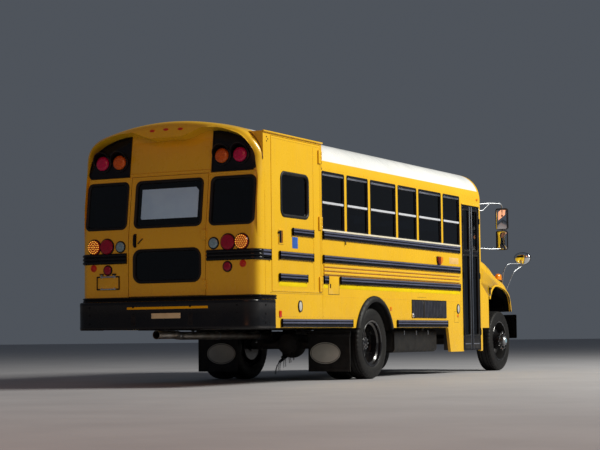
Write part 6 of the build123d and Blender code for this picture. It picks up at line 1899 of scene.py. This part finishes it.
def front_lamp_panel(side):
    p = Piece("front_lamp_panel_" + ("right" if side < 0 else "left"), slot="black_paint")
    outline = densify([(side * x, z) for x, z in FRONT_PANEL], 0.05)
    if side > 0:
        outline.reverse()
    p.slab(front, outline, -0.003, 0.008, "panel", 0.002)
    p.ring(front, outline, offset(outline, 0.016), 0.006, 0.014, "panel", 0.002)
    for x, key in ((0.730, "amber_big"), (0.955, "red_big")):
        o, al, up, n = local_axes(front, side * x, 2.715)
        place = plane_at(o, al, up, n)
        p.lathe([(0.006, 0.110), (0.022, 0.108), (0.026, 0.102), (0.026, 0.090)], o, n, "panel", 40)
        p.lathe([(0.024, 0.092), (0.042, 0.089), (0.052, 0.080), (0.060, 0.056), (0.064, 0.028), (0.065, 0.0)],
                o, n, key, 40)
        rows = []
        for k in range(25):
            t = math.radians(-8 + 196.0 * k / 24)
            reach = 0.030 + 0.070 * max(0.0, math.sin(t)) ** 0.8
            ca, sa = math.cos(t), math.sin(t)
            rows.append([place(0.113 * ca, 0.113 * sa, 0.006), place(0.117 * ca, 0.117 * sa, 0.006 + reach),
                         place(0.113 * ca, 0.113 * sa, 0.009 + reach), place(0.1085 * ca, 0.1085 * sa, 0.006 + reach),
                         place(0.1085 * ca, 0.1085 * sa, 0.006)])
        p.loops(rows, "fog")
    p.done()


mirrored(front_lamp_panel)

brow = Piece("front_header_trim", slot="body_paint")
sign = densify(rounded(-0.560, 0.560, 2.625, 2.905, 0.030, 5), 0.06)
brow.slab(front, sign, -0.004, 0.004, "body", 0.002)
brow.ring(front, sign, offset(sign, 0.014), 0.002, 0.008, "body", 0.002)
for k in range(9):
    brow.bolt(front, -0.52 + 0.13 * k, 2.632, 0.008, 0.004, "chrome", 0.003, sides=10)
    brow.bolt(front, -0.52 + 0.13 * k, 2.898, 0.008, 0.004, "chrome", 0.003, sides=10)
for x in (-0.200, 0.0, 0.200):
    o, al, up, n = local_axes(front, x, 2.972)
    place = plane_at(o, al, up, n)
    brow.slab(place, ellipse(0, 0, 0.040, 0.018, 24), -0.006, 0.012, "amber", 0.004)
    brow.ring(place, ellipse(0, 0, 0.047, 0.024, 24), ellipse(0, 0, 0.038, 0.016, 24), -0.006, 0.007, "body", 0.002)
for side in (-1, 1):
    # corner marker under the roof edge
    place = plane_at(Vector((side * HW, at(6.92), 2.86 - 0.25)), Vector((0, -1, 0)), Vector((0, 0, 1)),
                     Vector((side, 0, 0)))
    brow.slab(place, ellipse(0, 0, 0.034, 0.016, 22), -0.004, 0.012, "amber", 0.004)
brow.done()


def bumper_line():
    """front bumper's outer face: level points with their outward direction"""
    corner = bent([Vector((0.0, 8.899, 0)), Vector((0.760, 8.899, 0)), Vector((1.120, 8.797, 0)),
                   Vector((1.203, 8.642, 0))], 0.10, 8)
    half = [(q.x, q.y) for q in corner]
    pts = [(-x, s) for x, s in reversed(half)] + half[1:]
    path = []
    for i, (x, s) in enumerate(pts):
        a, b = pts[max(0, i - 1)], pts[min(len(pts) - 1, i + 1)]
        t = Vector((b[0] - a[0], b[1] - a[1])).normalized()
        path.append(((x, at(s)), (-t.y, -t.x)))
    return path


nosebar = Piece("front_bumper_formed", slot="black_paint")
nosebar.sweep(bumper_line(), [
    (-0.060, 0.5005), (-0.016, 0.5005), (-0.006, 0.504), (-0.001, 0.514), (-0.001, 0.866), (-0.006, 0.876),
    (-0.016, 0.8795), (-0.060, 0.8795), (-0.060, 0.8735), (-0.018, 0.8735), (-0.011, 0.870), (-0.007, 0.862),
    (-0.007, 0.518), (-0.011, 0.510), (-0.018, 0.5065), (-0.060, 0.5065)], "bumper")
ahead = plane_at(Vector((0, at(8.8985), 0)), Vector((1, 0, 0)), Vector((0, 0, 1)), Vector((0, -1, 0)))
for side in (-1, 1):
    nosebar.box((side * 0.355, side * 0.429), (at(8.888), at(8.740)), (0.670, 0.820), "chassis", world, 0.006)
    nosebar.box((side * 0.382, side * 0.402), (at(8.840), at(8.745)), (0.500, 0.700), "chassis", world, 0.003)
    nosebar.lathe([(-0.010, 0.024), (-0.010, 0.042), (-0.007, 0.046), (0.007, 0.046), (0.010, 0.042),
                   (0.010, 0.024)], (side * 0.392, at(8.790), 0.470), (1, 0, 0), "chassis", 30, closed=True)
    for z in (0.735, 0.800):
        for u in (0.372, 0.412):
            nosebar.bolt(ahead, side * u, z, -0.002, 0.011, "tube", 0.002, sides=16)
nosebar.done(replaces=("front_bumper",))

# ---------------------------------------------------------------- stop arm
arm = Piece("stop_arm_sign", "stop_arm", slot="sign_red")
sign_face = {k: plane_at(Vector((x, at(5.93), 1.64)), Vector((0, -k, 0)), Vector((0, 0, 1)), Vector((k, 0, 0)))
             for k, x in ((1, 1.273), (-1, 1.263))}


def octagon(flat, turn=math.pi / 8):
    r = flat / math.cos(math.pi / 8)
    corners = [Vector((r * math.cos(turn + k * math.pi / 4), r * math.sin(turn + k * math.pi / 4), 0))
               for k in range(8)]
    out = []
    for k in range(8):
        a, b, c = corners[k - 1], corners[k], corners[(k + 1) % 8]
        for w in (0.0, 0.25, 0.5, 0.75, 1.0):
            p0, p1 = b + (a - b).normalized() * 0.012, b + (c - b).normalized() * 0.012
            q = p0.lerp(b, w).lerp(b.lerp(p1, w), w)
            out.append((q.x, q.y))
    return out


for k in (1, -1):
    face = sign_face[k]
    arm.slab(face, octagon(0.2245), -0.0052, 0.0005, "white", 0.001)
    arm.ring(face, octagon(0.2235), octagon(0.205), 0.0, 0.0010, "sign_white", 0.0003)
    arm.slab(face, octagon(0.2045), 0.0, 0.0009, "stop_red", 0.0003)
    for v in (-0.150, 0.150):
        o = face(0.0, v, 0.0)
        n = Vector((k, 0, 0))
        deep = 1.0 if k > 0 else 0.55
        arm.lathe([(0.0, 0.052), (0.008 * deep, 0.052), (0.012 * deep, 0.049), (0.012 * deep, 0.043)], o, n, "fog", 36)
        arm.lathe([(0.010 * deep, 0.045), (0.017 * deep, 0.041), (0.021 * deep, 0.028), (0.023 * deep, 0.014),
                   (0.0235 * deep, 0.0)], o, n, "red_big", 36)
    for a, b in ((-0.10, 0.03), (-0.10, -0.03), (0.0, 0.03), (0.0, -0.03)):
        arm.bolt(face, a * k, b, 0.0008, 0.006, "chrome", 0.003, sides=16)
# arm plate from the sign to the hinge, and the hinge tube
arm.box((1.2505, 1.2615), (at(6.262), at(5.812)), (1.597, 1.683), "fog", world, 0.003)
arm.lathe([(-0.090, 0.0), (-0.090, 0.0075), (-0.088, 0.0088), (0.088, 0.0088), (0.090, 0.0075), (0.090, 0.0)],
          (1.256, at(6.270), 1.640), (0, 0, 1), "tube", 24)
arm.done(replaces=("stop_arm",))

mount = Piece("stop_arm_motor_box", slot="black_paint")
side_face = plane_at(Vector((HW, at(6.270), 1.640)), Vector((0, -1, 0)), Vector((0, 0, 1)), Vector((1, 0, 0)))
mount.slab(side_face, rounded(-0.030, 0.150, -0.125, 0.125, 0.020, 6), -0.002, 0.012, "fog", 0.003)
mount.slab(side_face, rounded(0.022, 0.140, -0.100, 0.100, 0.018, 6), 0.008, 0.052, "fog", 0.008)
for z0, z1 in ((-0.114, -0.096), (0.096, 0.114)):
    mount.box((-0.020, 0.026), (z0, z1), (0.006, 0.048), "fog", side_face, 0.004)
for a in (-0.015, 0.132):
    for b in (-0.108, 0.108):
        mount.bolt(side_face, a, b, 0.012, 0.007, "chrome", 0.004)
mount.done()

# ---------------------------------------------------------------- roof hatch
lid = Piece("roof_hatch_lid", "roof_hatch", slot="hatch_plastic")
top_face = plane_at(Vector((0, at(2.590), 0)), Vector((1, 0, 0)), Vector((0, 1, 0)), Vector((0, 0, 1)))
lid.loops([[top_face(a, b, d) for a, b in rounded(k - 0.331, 0.331 - k, k - 0.331, 0.331 - k, max(0.055 - k, 0.020), 8)]
           for k, d in (
    (0.012, 3.1515), (0.003, 3.1505), (0.0, 3.1525), (0.0, 3.1600), (0.004, 3.1655), (0.014, 3.1682),
    (0.060, 3.1688), (0.066, 3.1660), (0.078, 3.1652), (0.086, 3.1682), (0.120, 3.1702), (0.220, 3.1713))], "hatch")
for x in (-0.185, 0.185):
    lid.box((x - 0.034, x + 0.034), (at(2.922), at(2.890)), (3.1510, 3.1600), "hatch", world, 0.003)
    lid.lathe([(-0.035, 0.0), (-0.035, 0.0068), (-0.033, 0.0078), (0.033, 0.0078), (0.035, 0.0068), (0.035, 0.0)],
              (x, at(2.922), 3.152), (1, 0, 0), "tube", 20)
for k in range(8):
    t = math.pi * (k + 0.5) / 4
    lid.bolt(lambda a, b, d=0.0: top_face(a, b, 3.1688 + d), 0.285 * math.cos(t) * 1.02, 0.285 * math.sin(t) * 1.02,
             -0.0004, 0.0060, "tube", 0.0018, sides=14)
lid.done(replaces=("roof_hatch",))
curb = Piece("roof_hatch_curb", slot="hatch_plastic")
rim = rounded(-0.318, 0.318, -0.318, 0.318, 0.045, 7)
curb.loops([[top_face(a, b, d) for a, b in offset(rim, k)] for k, d in (
    (-0.020, 3.122), (-0.020, 3.130), (-0.004, 3.137), (0.0, 3.1410), (0.0, 3.1440), (0.004, 3.1462), (0.024, 3.1462),
    (0.028, 3.1440), (0.028, 3.110), (-0.016, 3.110), (-0.020, 3.122))], "hatch", cap_start=False, cap_end=False)
curb.done()

# ---------------------------------------------------------------- seats
def pad(p, centre, along, up, out, width, depth, thick, crown=0.014, seams=3, m="seat", n=(30, 18)):
    """stuffed pad: crowned faces, sides that pull in between the corners, sewn channels and piping round the edge"""
    nu, nv = n
    along, up, out = Vector(along).normalized(), Vector(up).normalized(), Vector(out).normalized()

    def point(u, v, face):
        eu = max(0.0, 1 - abs(u) ** 7) ** 0.5
        ev = max(0.0, 1 - abs(v) ** 7) ** 0.5
        pull_u = 1 - 0.012 * (1 - v * v)
        pull_v = 1 - 0.020 * (1 - u * u)
        h = thick * 0.5 * (0.30 + 0.70 * eu * ev) - crown * 0.5
        h += crown * (1 - u * u) * (1 - v * v)
        for k in range(1, seams):
            h -= 0.007 * math.exp(-((u - (-1 + 2 * k / seams)) / 0.022) ** 2)
        return (centre + along * (u * width * 0.5 * pull_u) + up * (v * depth * 0.5 * pull_v) + out * (h * face))
    def grid(face):
        return [[point(math.sin(math.pi * (i / nu - 0.5)) * 0.5 + (i / nu - 0.5), math.sin(math.pi * (j / nv - 0.5))
                       * 0.5 + (j / nv - 0.5), face) for i in range(nu + 1)] for j in range(nv + 1)]
    verts, faces = [], []
    for face in (1, -1):
        base = len(verts)
        rows = grid(face)
        verts += [q for row in rows for q in row]
        w = nu + 1
        faces += [(base + j * w + i, base + j * w + i + 1, base + (j + 1) * w + i + 1, base + (j + 1) * w + i)
                  for j in range(nv) for i in range(nu)]
    w, half = nu + 1, (nu + 1) * (nv + 1)
    border = [i for i in range(nu)] + [j * w + nu for j in range(nv)] + \
             [nv * w + i for i in range(nu, 0, -1)] + [j * w for j in range(nv, 0, -1)]
    for a, b in zip(border, border[1:] + border[:1]):
        faces.append((a, b, half + b, half + a))
    p.add(verts, faces, m)
    for face in (0,):
        loop = [(verts[a] + verts[half + a]) * 0.5 for a in border]
        loop = [q + (q - centre).normalized() * 0.0015 for q in loop]
        p.tube(loop + loop[:1], 0.0045, m, 6, cap=False)


def bench(name, side, s):
    p = Piece(name, slot="seat_vinyl")
    x = side * 0.7275
    pad(p, Vector((x, at(s + 0.225), 1.425)), (1, 0, 0), (0, -1, 0), (0, 0, 1), 0.862, 0.425, 0.122)
    lower, upper = Vector((x, at(s + 0.040), 1.372)), Vector((x, at(s - 0.015), 2.062))
    up = (upper - lower).normalized()
    out = Vector((1, 0, 0)).cross(up).normalized()
    if out.y > 0:
        out = -out
    pad(p, (lower + upper) * 0.5, (1, 0, 0), up, out, 0.862, (upper - lower).length, 0.074, crown=0.008, seams=1)
    p.done(smooth=60, padded=0.85, replaces=("seats",) if name == "bench_left_1" else ())


for k in range(8):
    bench(f"bench_left_{k + 1}", 1, 0.560 + 0.711 * k)
for k in range(6):
    bench(f"bench_right_{k + 1}", -1, 1.960 + 0.711 * k)

driver = Piece("driver_seat_pads", slot="seat_vinyl")
pad(driver, Vector((0.560, at(6.205), 1.460)), (1, 0, 0), (0, -1, 0), (0, 0, 1), 0.505, 0.465, 0.112, crown=0.012,
    seams=3)
low, high = Vector((0.560, at(6.010), 1.420)), Vector((0.560, at(5.957), 2.195))
up = (high - low).normalized()
pad(driver, (low + high) * 0.5, (1, 0, 0), up, -Vector((1, 0, 0)).cross(up) if Vector((1, 0, 0)).cross(up).y > 0
    else Vector((1, 0, 0)).cross(up), 0.485, (high - low).length, 0.088, crown=0.012, seams=3)
driver.done(smooth=60, padded=0.85)

legs = Piece("seat_frames", slot="chassis_paint")
rows = [(1, 0.560 + 0.711 * k) for k in range(8)] + [(-1, 1.960 + 0.711 * k) for k in range(6)]
for side, s in rows:
    for lx in (0.380, 1.120):
        x = side * lx
        legs.tube(bent([Vector((x, at(s + 0.050), 1.062)), Vector((x, at(s + 0.070), 1.350)),
                        Vector((x, at(s + 0.390), 1.350)), Vector((x, at(s + 0.400), 1.062))], 0.05, 4), 0.0125,
                  "chassis", 8)
        for q in (0.050, 0.400):
            legs.box((x - 0.028, x + 0.028), (at(s + q + 0.026), at(s + q - 0.026)), (1.0605, 1.068), "chassis",
                     world, 0.002)
    for q in (0.075, 0.385):
        legs.tube([Vector((side * 0.310, at(s + q), 1.356)), Vector((side * 1.150, at(s + q), 1.356))], 0.0110,
                  "chassis", 8)
legs.box((0.425, 0.695), (at(6.375), at(6.025)), (1.062, 1.110), "chassis", world, 0.010)
legs.loops([[world(x, y, z) for x, y in ellipse(0.560, at(6.20), 0.120 - k * 0.02, 0.150 - k * 0.02, 28)]
            for k, z in ((0, 1.105), (0.4, 1.150), (0, 1.195), (0.4, 1.240), (0, 1.285), (0.4, 1.330), (0, 1.385))],
           "rubber")
legs.box((0.335, 0.785), (at(6.405), at(6.000)), (1.378, 1.404), "chassis", world, 0.008)
legs.done()

# ---------------------------------------------------------------- dashboard
dash = Piece("dashboard_fittings", slot="dash_plastic")
panel_o = Vector((0.560, at(6.955), 1.640))
up = Vector((0, -0.35, 1)).normalized()
facing = plane_at(panel_o, Vector((-1, 0, 0)), up, Vector((-1, 0, 0)).cross(up) if
                  Vector((-1, 0, 0)).cross(up).y > 0 else -Vector((-1, 0, 0)).cross(up))
dash.slab(facing, rounded(-0.270, 0.270, -0.095, 0.080, 0.035, 6), -0.050, 0.004, "dash", 0.008)
dash.ring(facing, rounded(-0.262, 0.262, -0.088, 0.074, 0.032, 6), rounded(-0.246, 0.246, -0.072, 0.058, 0.026, 6),
          0.002, 0.020, "dash", 0.005)
for u, r in ((-0.175, 0.048), (-0.060, 0.052), (0.060, 0.052), (0.175, 0.048)):
    c = facing(u, -0.006, 0.004)
    n = facing(0, 0, 1) - facing(0, 0, 0)
    dash.lathe([(0.0, r), (0.006, r), (0.008, r - 0.003), (0.006, r - 0.007), (0.002, r - 0.008), (0.0015, 0.0)], c, n,
               "chrome", 36)
    dash.lathe([(0.002, r - 0.009), (0.003, r - 0.010), (0.003, 0.0)], c, n, "panel", 30)
    for k in range(9):
        t = math.radians(-40 + 260 * k / 8)
        q = facing(u + (r - 0.015) * math.cos(t), -0.006 + (r - 0.015) * math.sin(t), 0.0072)
        dash.lathe([(0.0, 0.0022), (0.0007, 0.0018), (0.0008, 0.0)], q, n, "pale", 6)
    dash.tube([facing(u, -0.006, 0.0085), facing(u + r * 0.55, -0.006 + r * 0.35, 0.0085)], 0.0016, "amber", 6)
for k in range(6):
    a = -0.150 + 0.060 * k
    dash.slab(facing, rounded(a - 0.020, a + 0.020, -0.135, -0.104, 0.005, 3), -0.030, 0.006, "fog", 0.003)
for y in (1.500, 1.440):
    for k in range(5):
        x = -0.10 - 0.09 * k
        dash.slab(plane_at(Vector((x, at(6.958), y)), Vector((-1, 0, 0)), Vector((0, 0, 1)), Vector((0, 1, 0))),
                  rounded(-0.030, 0.030, -0.018, 0.018, 0.006, 4), -0.010, 0.006, "fog", 0.003)
wheel_n = Vector((0, 1.0, 0.45)).normalized()
hub = Vector((0.560, at(6.720), 1.668))
dash.lathe([(-0.010, 0.062), (0.018, 0.066), (0.028, 0.060), (0.034, 0.040), (0.036, 0.0)], hub, wheel_n, "fog", 32)
wheel_u = Vector((1, 0, 0))
wheel_v = wheel_n.cross(wheel_u)
ringpts = []
for k in range(65):
    t = 2 * math.pi * k / 64
    ringpts.append(hub + wheel_u * (0.225 * math.cos(t)) + wheel_v * (0.225 * math.sin(t)))
dash.tube(ringpts, 0.0168, "fog", 12, cap=False)
dash.tube([Vector((0.560, at(6.990), 1.560)), Vector((0.560, at(6.740), 1.662))], 0.0285, "fog", 18)
for s0, tip in ((-1, Vector((0.385, at(6.765), 1.700))), (1, Vector((0.735, at(6.765), 1.690)))):
    dash.tube([Vector((0.560 - 0.02 * s0 * -1, at(6.805), 1.636)), tip], 0.0065, "fog", 8)
    dash.lathe([(-0.022, 0.0), (-0.022, 0.008), (-0.016, 0.011), (0.016, 0.011), (0.022, 0.008), (0.022, 0.0)], tip,
               (tip - hub).normalized(), "fog", 14)
# inside mirror over the windscreen
room = plane_at(Vector((0.20, at(7.02), 2.42)), Vector((1, 0, 0)), Vector((0, 0.18, 1)).normalized(),
                Vector((0, 1, -0.18)).normalized())
dash.slab(room, rounded(-0.300, 0.300, -0.070, 0.070, 0.030, 6), -0.014, 0.0, "fog", 0.006)
dash.slab(room, rounded(-0.288, 0.288, -0.058, 0.058, 0.022, 6), -0.002, 0.003, "mirror", 0.001)
for x in (-0.18, 0.18):
    dash.tube([room(x, 0.02, -0.012), room(x, 0.14, -0.03)], 0.006, "fog", 8)
dash.done()

# ---------------------------------------------------------------- under the floor
under = Piece("underbody_fittings", slot="chassis_paint")


def strap(points, width, thick, m="chassis"):
    """flat band along points in a plane across x, centred at its y"""
    pts = [Vector(q) for q in points]
    rings = []
    for i, q in enumerate(pts):
        t = (pts[(i + 1) % len(pts)] - pts[i - 1]).normalized()
        n = t.cross(Vector((0, 1, 0))).normalized()
        rings.append([q + Vector((0, u, 0)) + n * v for u, v in ((-width, 0), (-width, thick), (width, thick),
                                                                 (width, 0))])
    rings.append(rings[0])
    under.loops(rings, m, cap_start=False, cap_end=False)


tank_line = rounded(-1.0905, -0.5395, 0.3295, 0.6505, 0.061, 8)
for s in (4.400, 4.820, 5.240):
    strap([(x, at(s), z) for x, z in tank_line], 0.022, 0.004)
    for x in (-1.094, -0.536):
        under.lathe([(-0.030, 0.0), (-0.030, 0.008), (0.030, 0.008), (0.030, 0.0)], (x, at(s), 0.60), (0, 0, 1),
                    "tube", 10)
tank_end = plane_at(Vector((-0.815, at(4.080), 0.490)), Vector((1, 0, 0)), Vector((0, 0, 1)), Vector((0, 1, 0)))
under.slab(tank_end, rounded(-0.245, 0.245, -0.130, 0.130, 0.045, 6), -0.002, 0.008, "chassis", 0.005)
under.tube([Vector((-1.05, at(5.10), 0.62)), Vector((-1.08, at(5.10), 0.70)), Vector((-1.17, at(5.08), 0.80))], 0.024,
           "rubber", 14)


def cylinder_tank(centre, axis, length, r, m="chassis"):
    h = length / 2
    under.lathe([(-h, 0.0), (-h, r * 0.45), (-h + 0.012, r * 0.80), (-h + 0.030, r * 0.97), (-h + 0.045, r),
                 (h - 0.045, r), (h - 0.030, r * 0.97), (h - 0.012, r * 0.80), (h, r * 0.45), (h, 0.0)],
                centre, axis, m, 36)
    a = Vector(axis).normalized()
    for k in (-0.55, 0.55):
        under.lathe([(-0.016, r + 0.0005), (-0.016, r + 0.003), (0.016, r + 0.003), (0.016, r + 0.0005)],
                    Vector(centre) + a * (h * k), a, "tube", 36, closed=True)


cylinder_tank((0.0, at(4.30), 0.775), (1, 0, 0), 0.62, 0.105)
cylinder_tank((0.640, at(4.55), 0.740), (0, 1, 0), 0.70, 0.110)
cylinder_tank((0.640, at(5.55), 0.740), (0, 1, 0), 0.70, 0.110)
for s in (4.30, 4.80, 5.30, 5.80):
    under.box((0.430, 0.650), (at(s + 0.020), at(s - 0.020)), (0.845, 0.862), "chassis", world, 0.003)
for side in (-1, 1):
    # shock absorbers, brake chambers, spring clips and bolts, automatic chain units
    for s, lean, x in ((3.420, 0.16, 0.545), (8.180, -0.14, 0.545)):
        a, b = Vector((side * x, at(s), 0.440)), Vector((side * (x - 0.02), at(s + lean), 0.840))
        d = (b - a).normalized()
        under.lathe([(0.0, 0.0), (0.0, 0.026), (0.21, 0.026), (0.22, 0.020), (0.22, 0.0)], a, d, "fog", 22)
        under.lathe([(0.17, 0.0), (0.17, 0.032), (0.36, 0.032), (0.37, 0.026), (0.37, 0.0)], a, d, "fog", 22)
        for q in (a, b):
            under.lathe([(-0.024, 0.010), (-0.024, 0.024), (0.024, 0.024), (0.024, 0.010)], q, (1, 0, 0), "chassis", 20,
                        closed=True)
        under.tube([a - Vector((side * 0.12, 0, 0)), a + Vector((side * 0.03, 0, 0))], 0.010, "tube", 10)
    for s, way in ((3.174, 1.0),):
        for k in (-0.16, 0.16):
            c = Vector((side * 0.330, at(s - 0.15), 0.560 + k * 0.2))
            c = Vector((side * 0.300, at(s) + (0.150 if k > 0 else -0.150), 0.555))
            under.lathe([(-0.115, 0.0), (-0.115, 0.045), (-0.105, 0.070), (-0.030, 0.078), (-0.006, 0.084),
                         (0.006, 0.084), (0.030, 0.078), (0.050, 0.060), (0.055, 0.0)], c, (side, 0, 0), "chassis", 30)
            under.tube([c, c + Vector((side * 0.16, 0, -0.02))], 0.011, "tube", 10)
    for s0, half, z_eye, z_mid in ((3.184, 0.690, 0.612, 0.545), (7.975, 0.620, 0.606, 0.506)):
        # leaf edges along the pack's outer and inner faces
        for face_x in (0.5125, 0.4375):
            for j in range(1, 5):
                line = []
                share = 1.0 - 0.17 * j
                for k in range(17):
                    u = (-1 + 2 * k / 16) * share
                    z_low = z_eye + (z_mid - z_eye) * (1 - u * u)
                    z_high = z_eye + 0.014 + (z_mid + 0.070 - z_eye - 0.014) * (1 - u * u)
                    line.append(Vector((side * face_x, at(s0 + u * half), z_high + (z_low - z_high) * j / 5)))
                under.tube(line, 0.0022, "cast", 4)
        z = z_mid + 0.035
        for q in (-0.085, 0.085):
            for xx in (0.430, 0.520):
                under.tube([Vector((side * xx, at(s0 + q), z_mid - 0.06)), Vector((side * xx, at(s0 + q), z_mid + 0.12))],
                           0.0095, "cast", 10)
            under.lathe([(-0.014, 0.0), (-0.014, 0.017), (0.0, 0.017), (0.0, 0.0)],
                        (side * 0.520, at(s0 + q), z_mid - 0.045), (0, 0, 1), "tube", 6)
        for q in (-0.34, 0.34):
            u = q / half
            z_low = z_eye + (z_mid - z_eye) * (1 - u * u)
            under.box((side * 0.430, side * 0.520), (at(s0 + q + 0.02), at(s0 + q - 0.02)), (z_low - 0.006, z_low + 0.074),
                      "chassis", world, 0.003)
    # chain unit: arm, rubber-faced wheel and its chain tails
    c = Vector((side * 0.480, at(3.84), 0.270))
    n = Vector((side * 0.55, 0.25, 0.80)).normalized()
    under.tube(bent([Vector((side * 0.475, at(3.36), 0.500)), Vector((side * 0.490, at(3.60), 0.470)),
                     Vector((side * 0.480, at(3.80), 0.400)), c + n * 0.02], 0.06, 4), 0.018, "chassis", 12)
    under.lathe([(-0.018, 0.0), (-0.018, 0.088), (-0.012, 0.098), (0.012, 0.098), (0.018, 0.088), (0.018, 0.040),
                 (0.045, 0.034), (0.045, 0.0)], c, n, "rubber", 36)
    e1 = n.orthogonal().normalized()
    e2 = n.cross(e1)
    for k in range(10):
        t = 2 * math.pi * k / 10
        r0 = c + (e1 * math.cos(t) + e2 * math.sin(t)) * 0.094
        drop = [r0]
        for j in range(1, 8):
            w = j / 7
            d = (e1 * math.cos(t) + e2 * math.sin(t))
            drop.append(r0 + d * (0.075 * (1 - (1 - w) ** 2)) + Vector((0, 0, -0.125 * w ** 1.4)))
        for j, (a, b) in enumerate(zip(drop, drop[1:])):
            mid, d = (a + b) / 2, (b - a).normalized()
            sd = d.orthogonal().normalized()
            if j % 2:
                sd = d.cross(sd)
            link = [mid + d * (0.013 * math.cos(q)) + sd * (0.0065 * math.sin(q))
                    for q in [2 * math.pi * i / 10 for i in range(11)]]
            under.tube(link, 0.0026, "tube", 5, cap=False)
# coupling yokes on the propeller shaft, the cover on the axle and its bolts
for s, z in ((3.500, 0.490), (5.360, 0.597), (5.640, 0.604)):
    under.lathe([(-0.045, 0.0), (-0.045, 0.060), (-0.030, 0.066), (-0.012, 0.050), (0.012, 0.050), (0.030, 0.066),
                 (0.045, 0.060), (0.045, 0.0)], (0.0, at(s), z), (0, 1, 0.03), "cast", 24)
cover = plane_at(Vector((0, at(REAR_S) + 0.150, AXLE_H)), Vector((1, 0, 0)), Vector((0, 0, 1)), Vector((0, 1, 0)))
under.lathe([(0.0, 0.128), (0.0, 0.140), (0.014, 0.140), (0.020, 0.130), (0.030, 0.110), (0.052, 0.070),
             (0.060, 0.030), (0.062, 0.0)], cover(0, 0, -0.010), (0, 1, 0), "cast", 48)
for k in range(12):
    t = 2 * math.pi * k / 12
    under.bolt(cover, 0.132 * math.cos(t), 0.132 * math.sin(t), 0.004, 0.010, "chassis", 0.010)
# cross pipe hangers and the clamp rings on the silencer
for s in (0.55, 1.60, 2.65, 3.70):
    x = 0.255 if s > 0.7 else 0.195
    z = 0.590 if s > 0.7 else 0.596
    under.tube([Vector((x, at(s), z + 0.050)), Vector((x, at(s), 0.700))], 0.006, "chassis", 8)
    under.lathe([(-0.014, 0.0505), (-0.014, 0.0535), (0.014, 0.0535), (0.014, 0.0505)], (x, at(s), z), (0, 1, 0),
                "tube", 28, closed=True)
for s in (4.42, 4.875, 5.33):
    under.lathe([(-0.015, 0.1182), (-0.015, 0.1215), (0.015, 0.1215), (0.015, 0.1182)], (0.255, at(s), 0.510),
                (0, 1, 0), "tube", 48, closed=True)
under.done()

tip = Piece("tailpipe_end", slot="exhaust_steel")
tip.lathe([(-0.012, 0.0505), (-0.012, 0.0525), (0.003, 0.0525), (0.005, 0.0505), (0.005, 0.0472), (-0.060, 0.0465),
           (-0.060, 0.0505)], (0.133, at(-0.020), 0.602), (0, 1, 0), "steel", 40, closed=True)
tip.done()

# ---------------------------------------------------------------- floor, light and camera
studio = bpy.data.meshes.new("studio_floor")
studio.from_pydata([(-160, -160, 0), (160, -160, 0), (160, 160, 0), (-160, 160, 0)], [], [(0, 1, 2, 3)])
studio_floor = bpy.data.objects.new("studio_floor", studio)
bpy.context.scene.collection.objects.link(studio_floor)
sf = Shade("studio_floor", spec=0.3)
sf.colour(sf.ramp(sf.noise(0.8, 8), [(0.3, (0.375, 0.370, 0.385)), (0.7, (0.43, 0.425, 0.44))]))
sf.roughness(sf.spread(sf.noise(3.0, 6), 0.3, 0.7, 0.62, 0.78))
sf.bump((sf.noise(60, 5), 0.05, 0.002))
studio.materials.append(sf.m)


def area(name, place, aim, size, power, colour=(1, 1, 1)):
    lamp = bpy.data.lights.new(name, "AREA")
    lamp.shape, lamp.size, lamp.energy, lamp.color = "SQUARE", size, power, colour
    o = bpy.data.objects.new(name, lamp)
    bpy.context.scene.collection.objects.link(o)
    o.location = place
    o.rotation_euler = (Vector(aim) - Vector(place)).to_track_quat("-Z", "Y").to_euler()
    return o


key = area("key_light", (-17.0, -5.0, 15.0), (0.0, 0.5, 1.2), 7.0, 6300.0, (1.0, 0.980, 0.90))
fill = area("fill_light", (-6.0, 20.0, 9.0), (0.0, 1.0, 1.2), 9.0, 370.0, (1.0, 0.37, 0.15))

sky = bpy.data.worlds.new("studio_world")
bpy.context.scene.world = sky
sky.use_nodes = True
background = sky.node_tree.nodes["Background"]
background.inputs["Color"].default_value = (0.74, 0.84, 1.0, 1.0)
background.inputs["Strength"].default_value = 0.105

yaw, pitch, roll = 0.4775088, 0.0683805, -0.0114965
forward = Vector((math.sin(yaw) * math.cos(pitch), -math.cos(yaw) * math.cos(pitch), math.sin(pitch)))
across = forward.cross(Vector((0, 0, 1))).normalized()
upward = across.cross(forward)
turned_right = across * math.cos(roll) + upward * math.sin(roll)
turned_up = upward * math.cos(roll) - across * math.sin(roll)
lens_data = bpy.data.cameras.new("camera")
lens_data.lens, lens_data.sensor_width = 98.26, 36.0
lens_data.clip_end = 500.0
camera = bpy.data.objects.new("camera", lens_data)
bpy.context.scene.collection.objects.link(camera)
camera.matrix_world = Matrix.Translation((-10.2443, 20.7570, 0.5562)) @ Matrix(
    (turned_right, turned_up, -forward)).transposed().to_4x4()
bpy.context.scene.camera = camera
bpy.context.scene.view_settings.view_transform = "Standard"
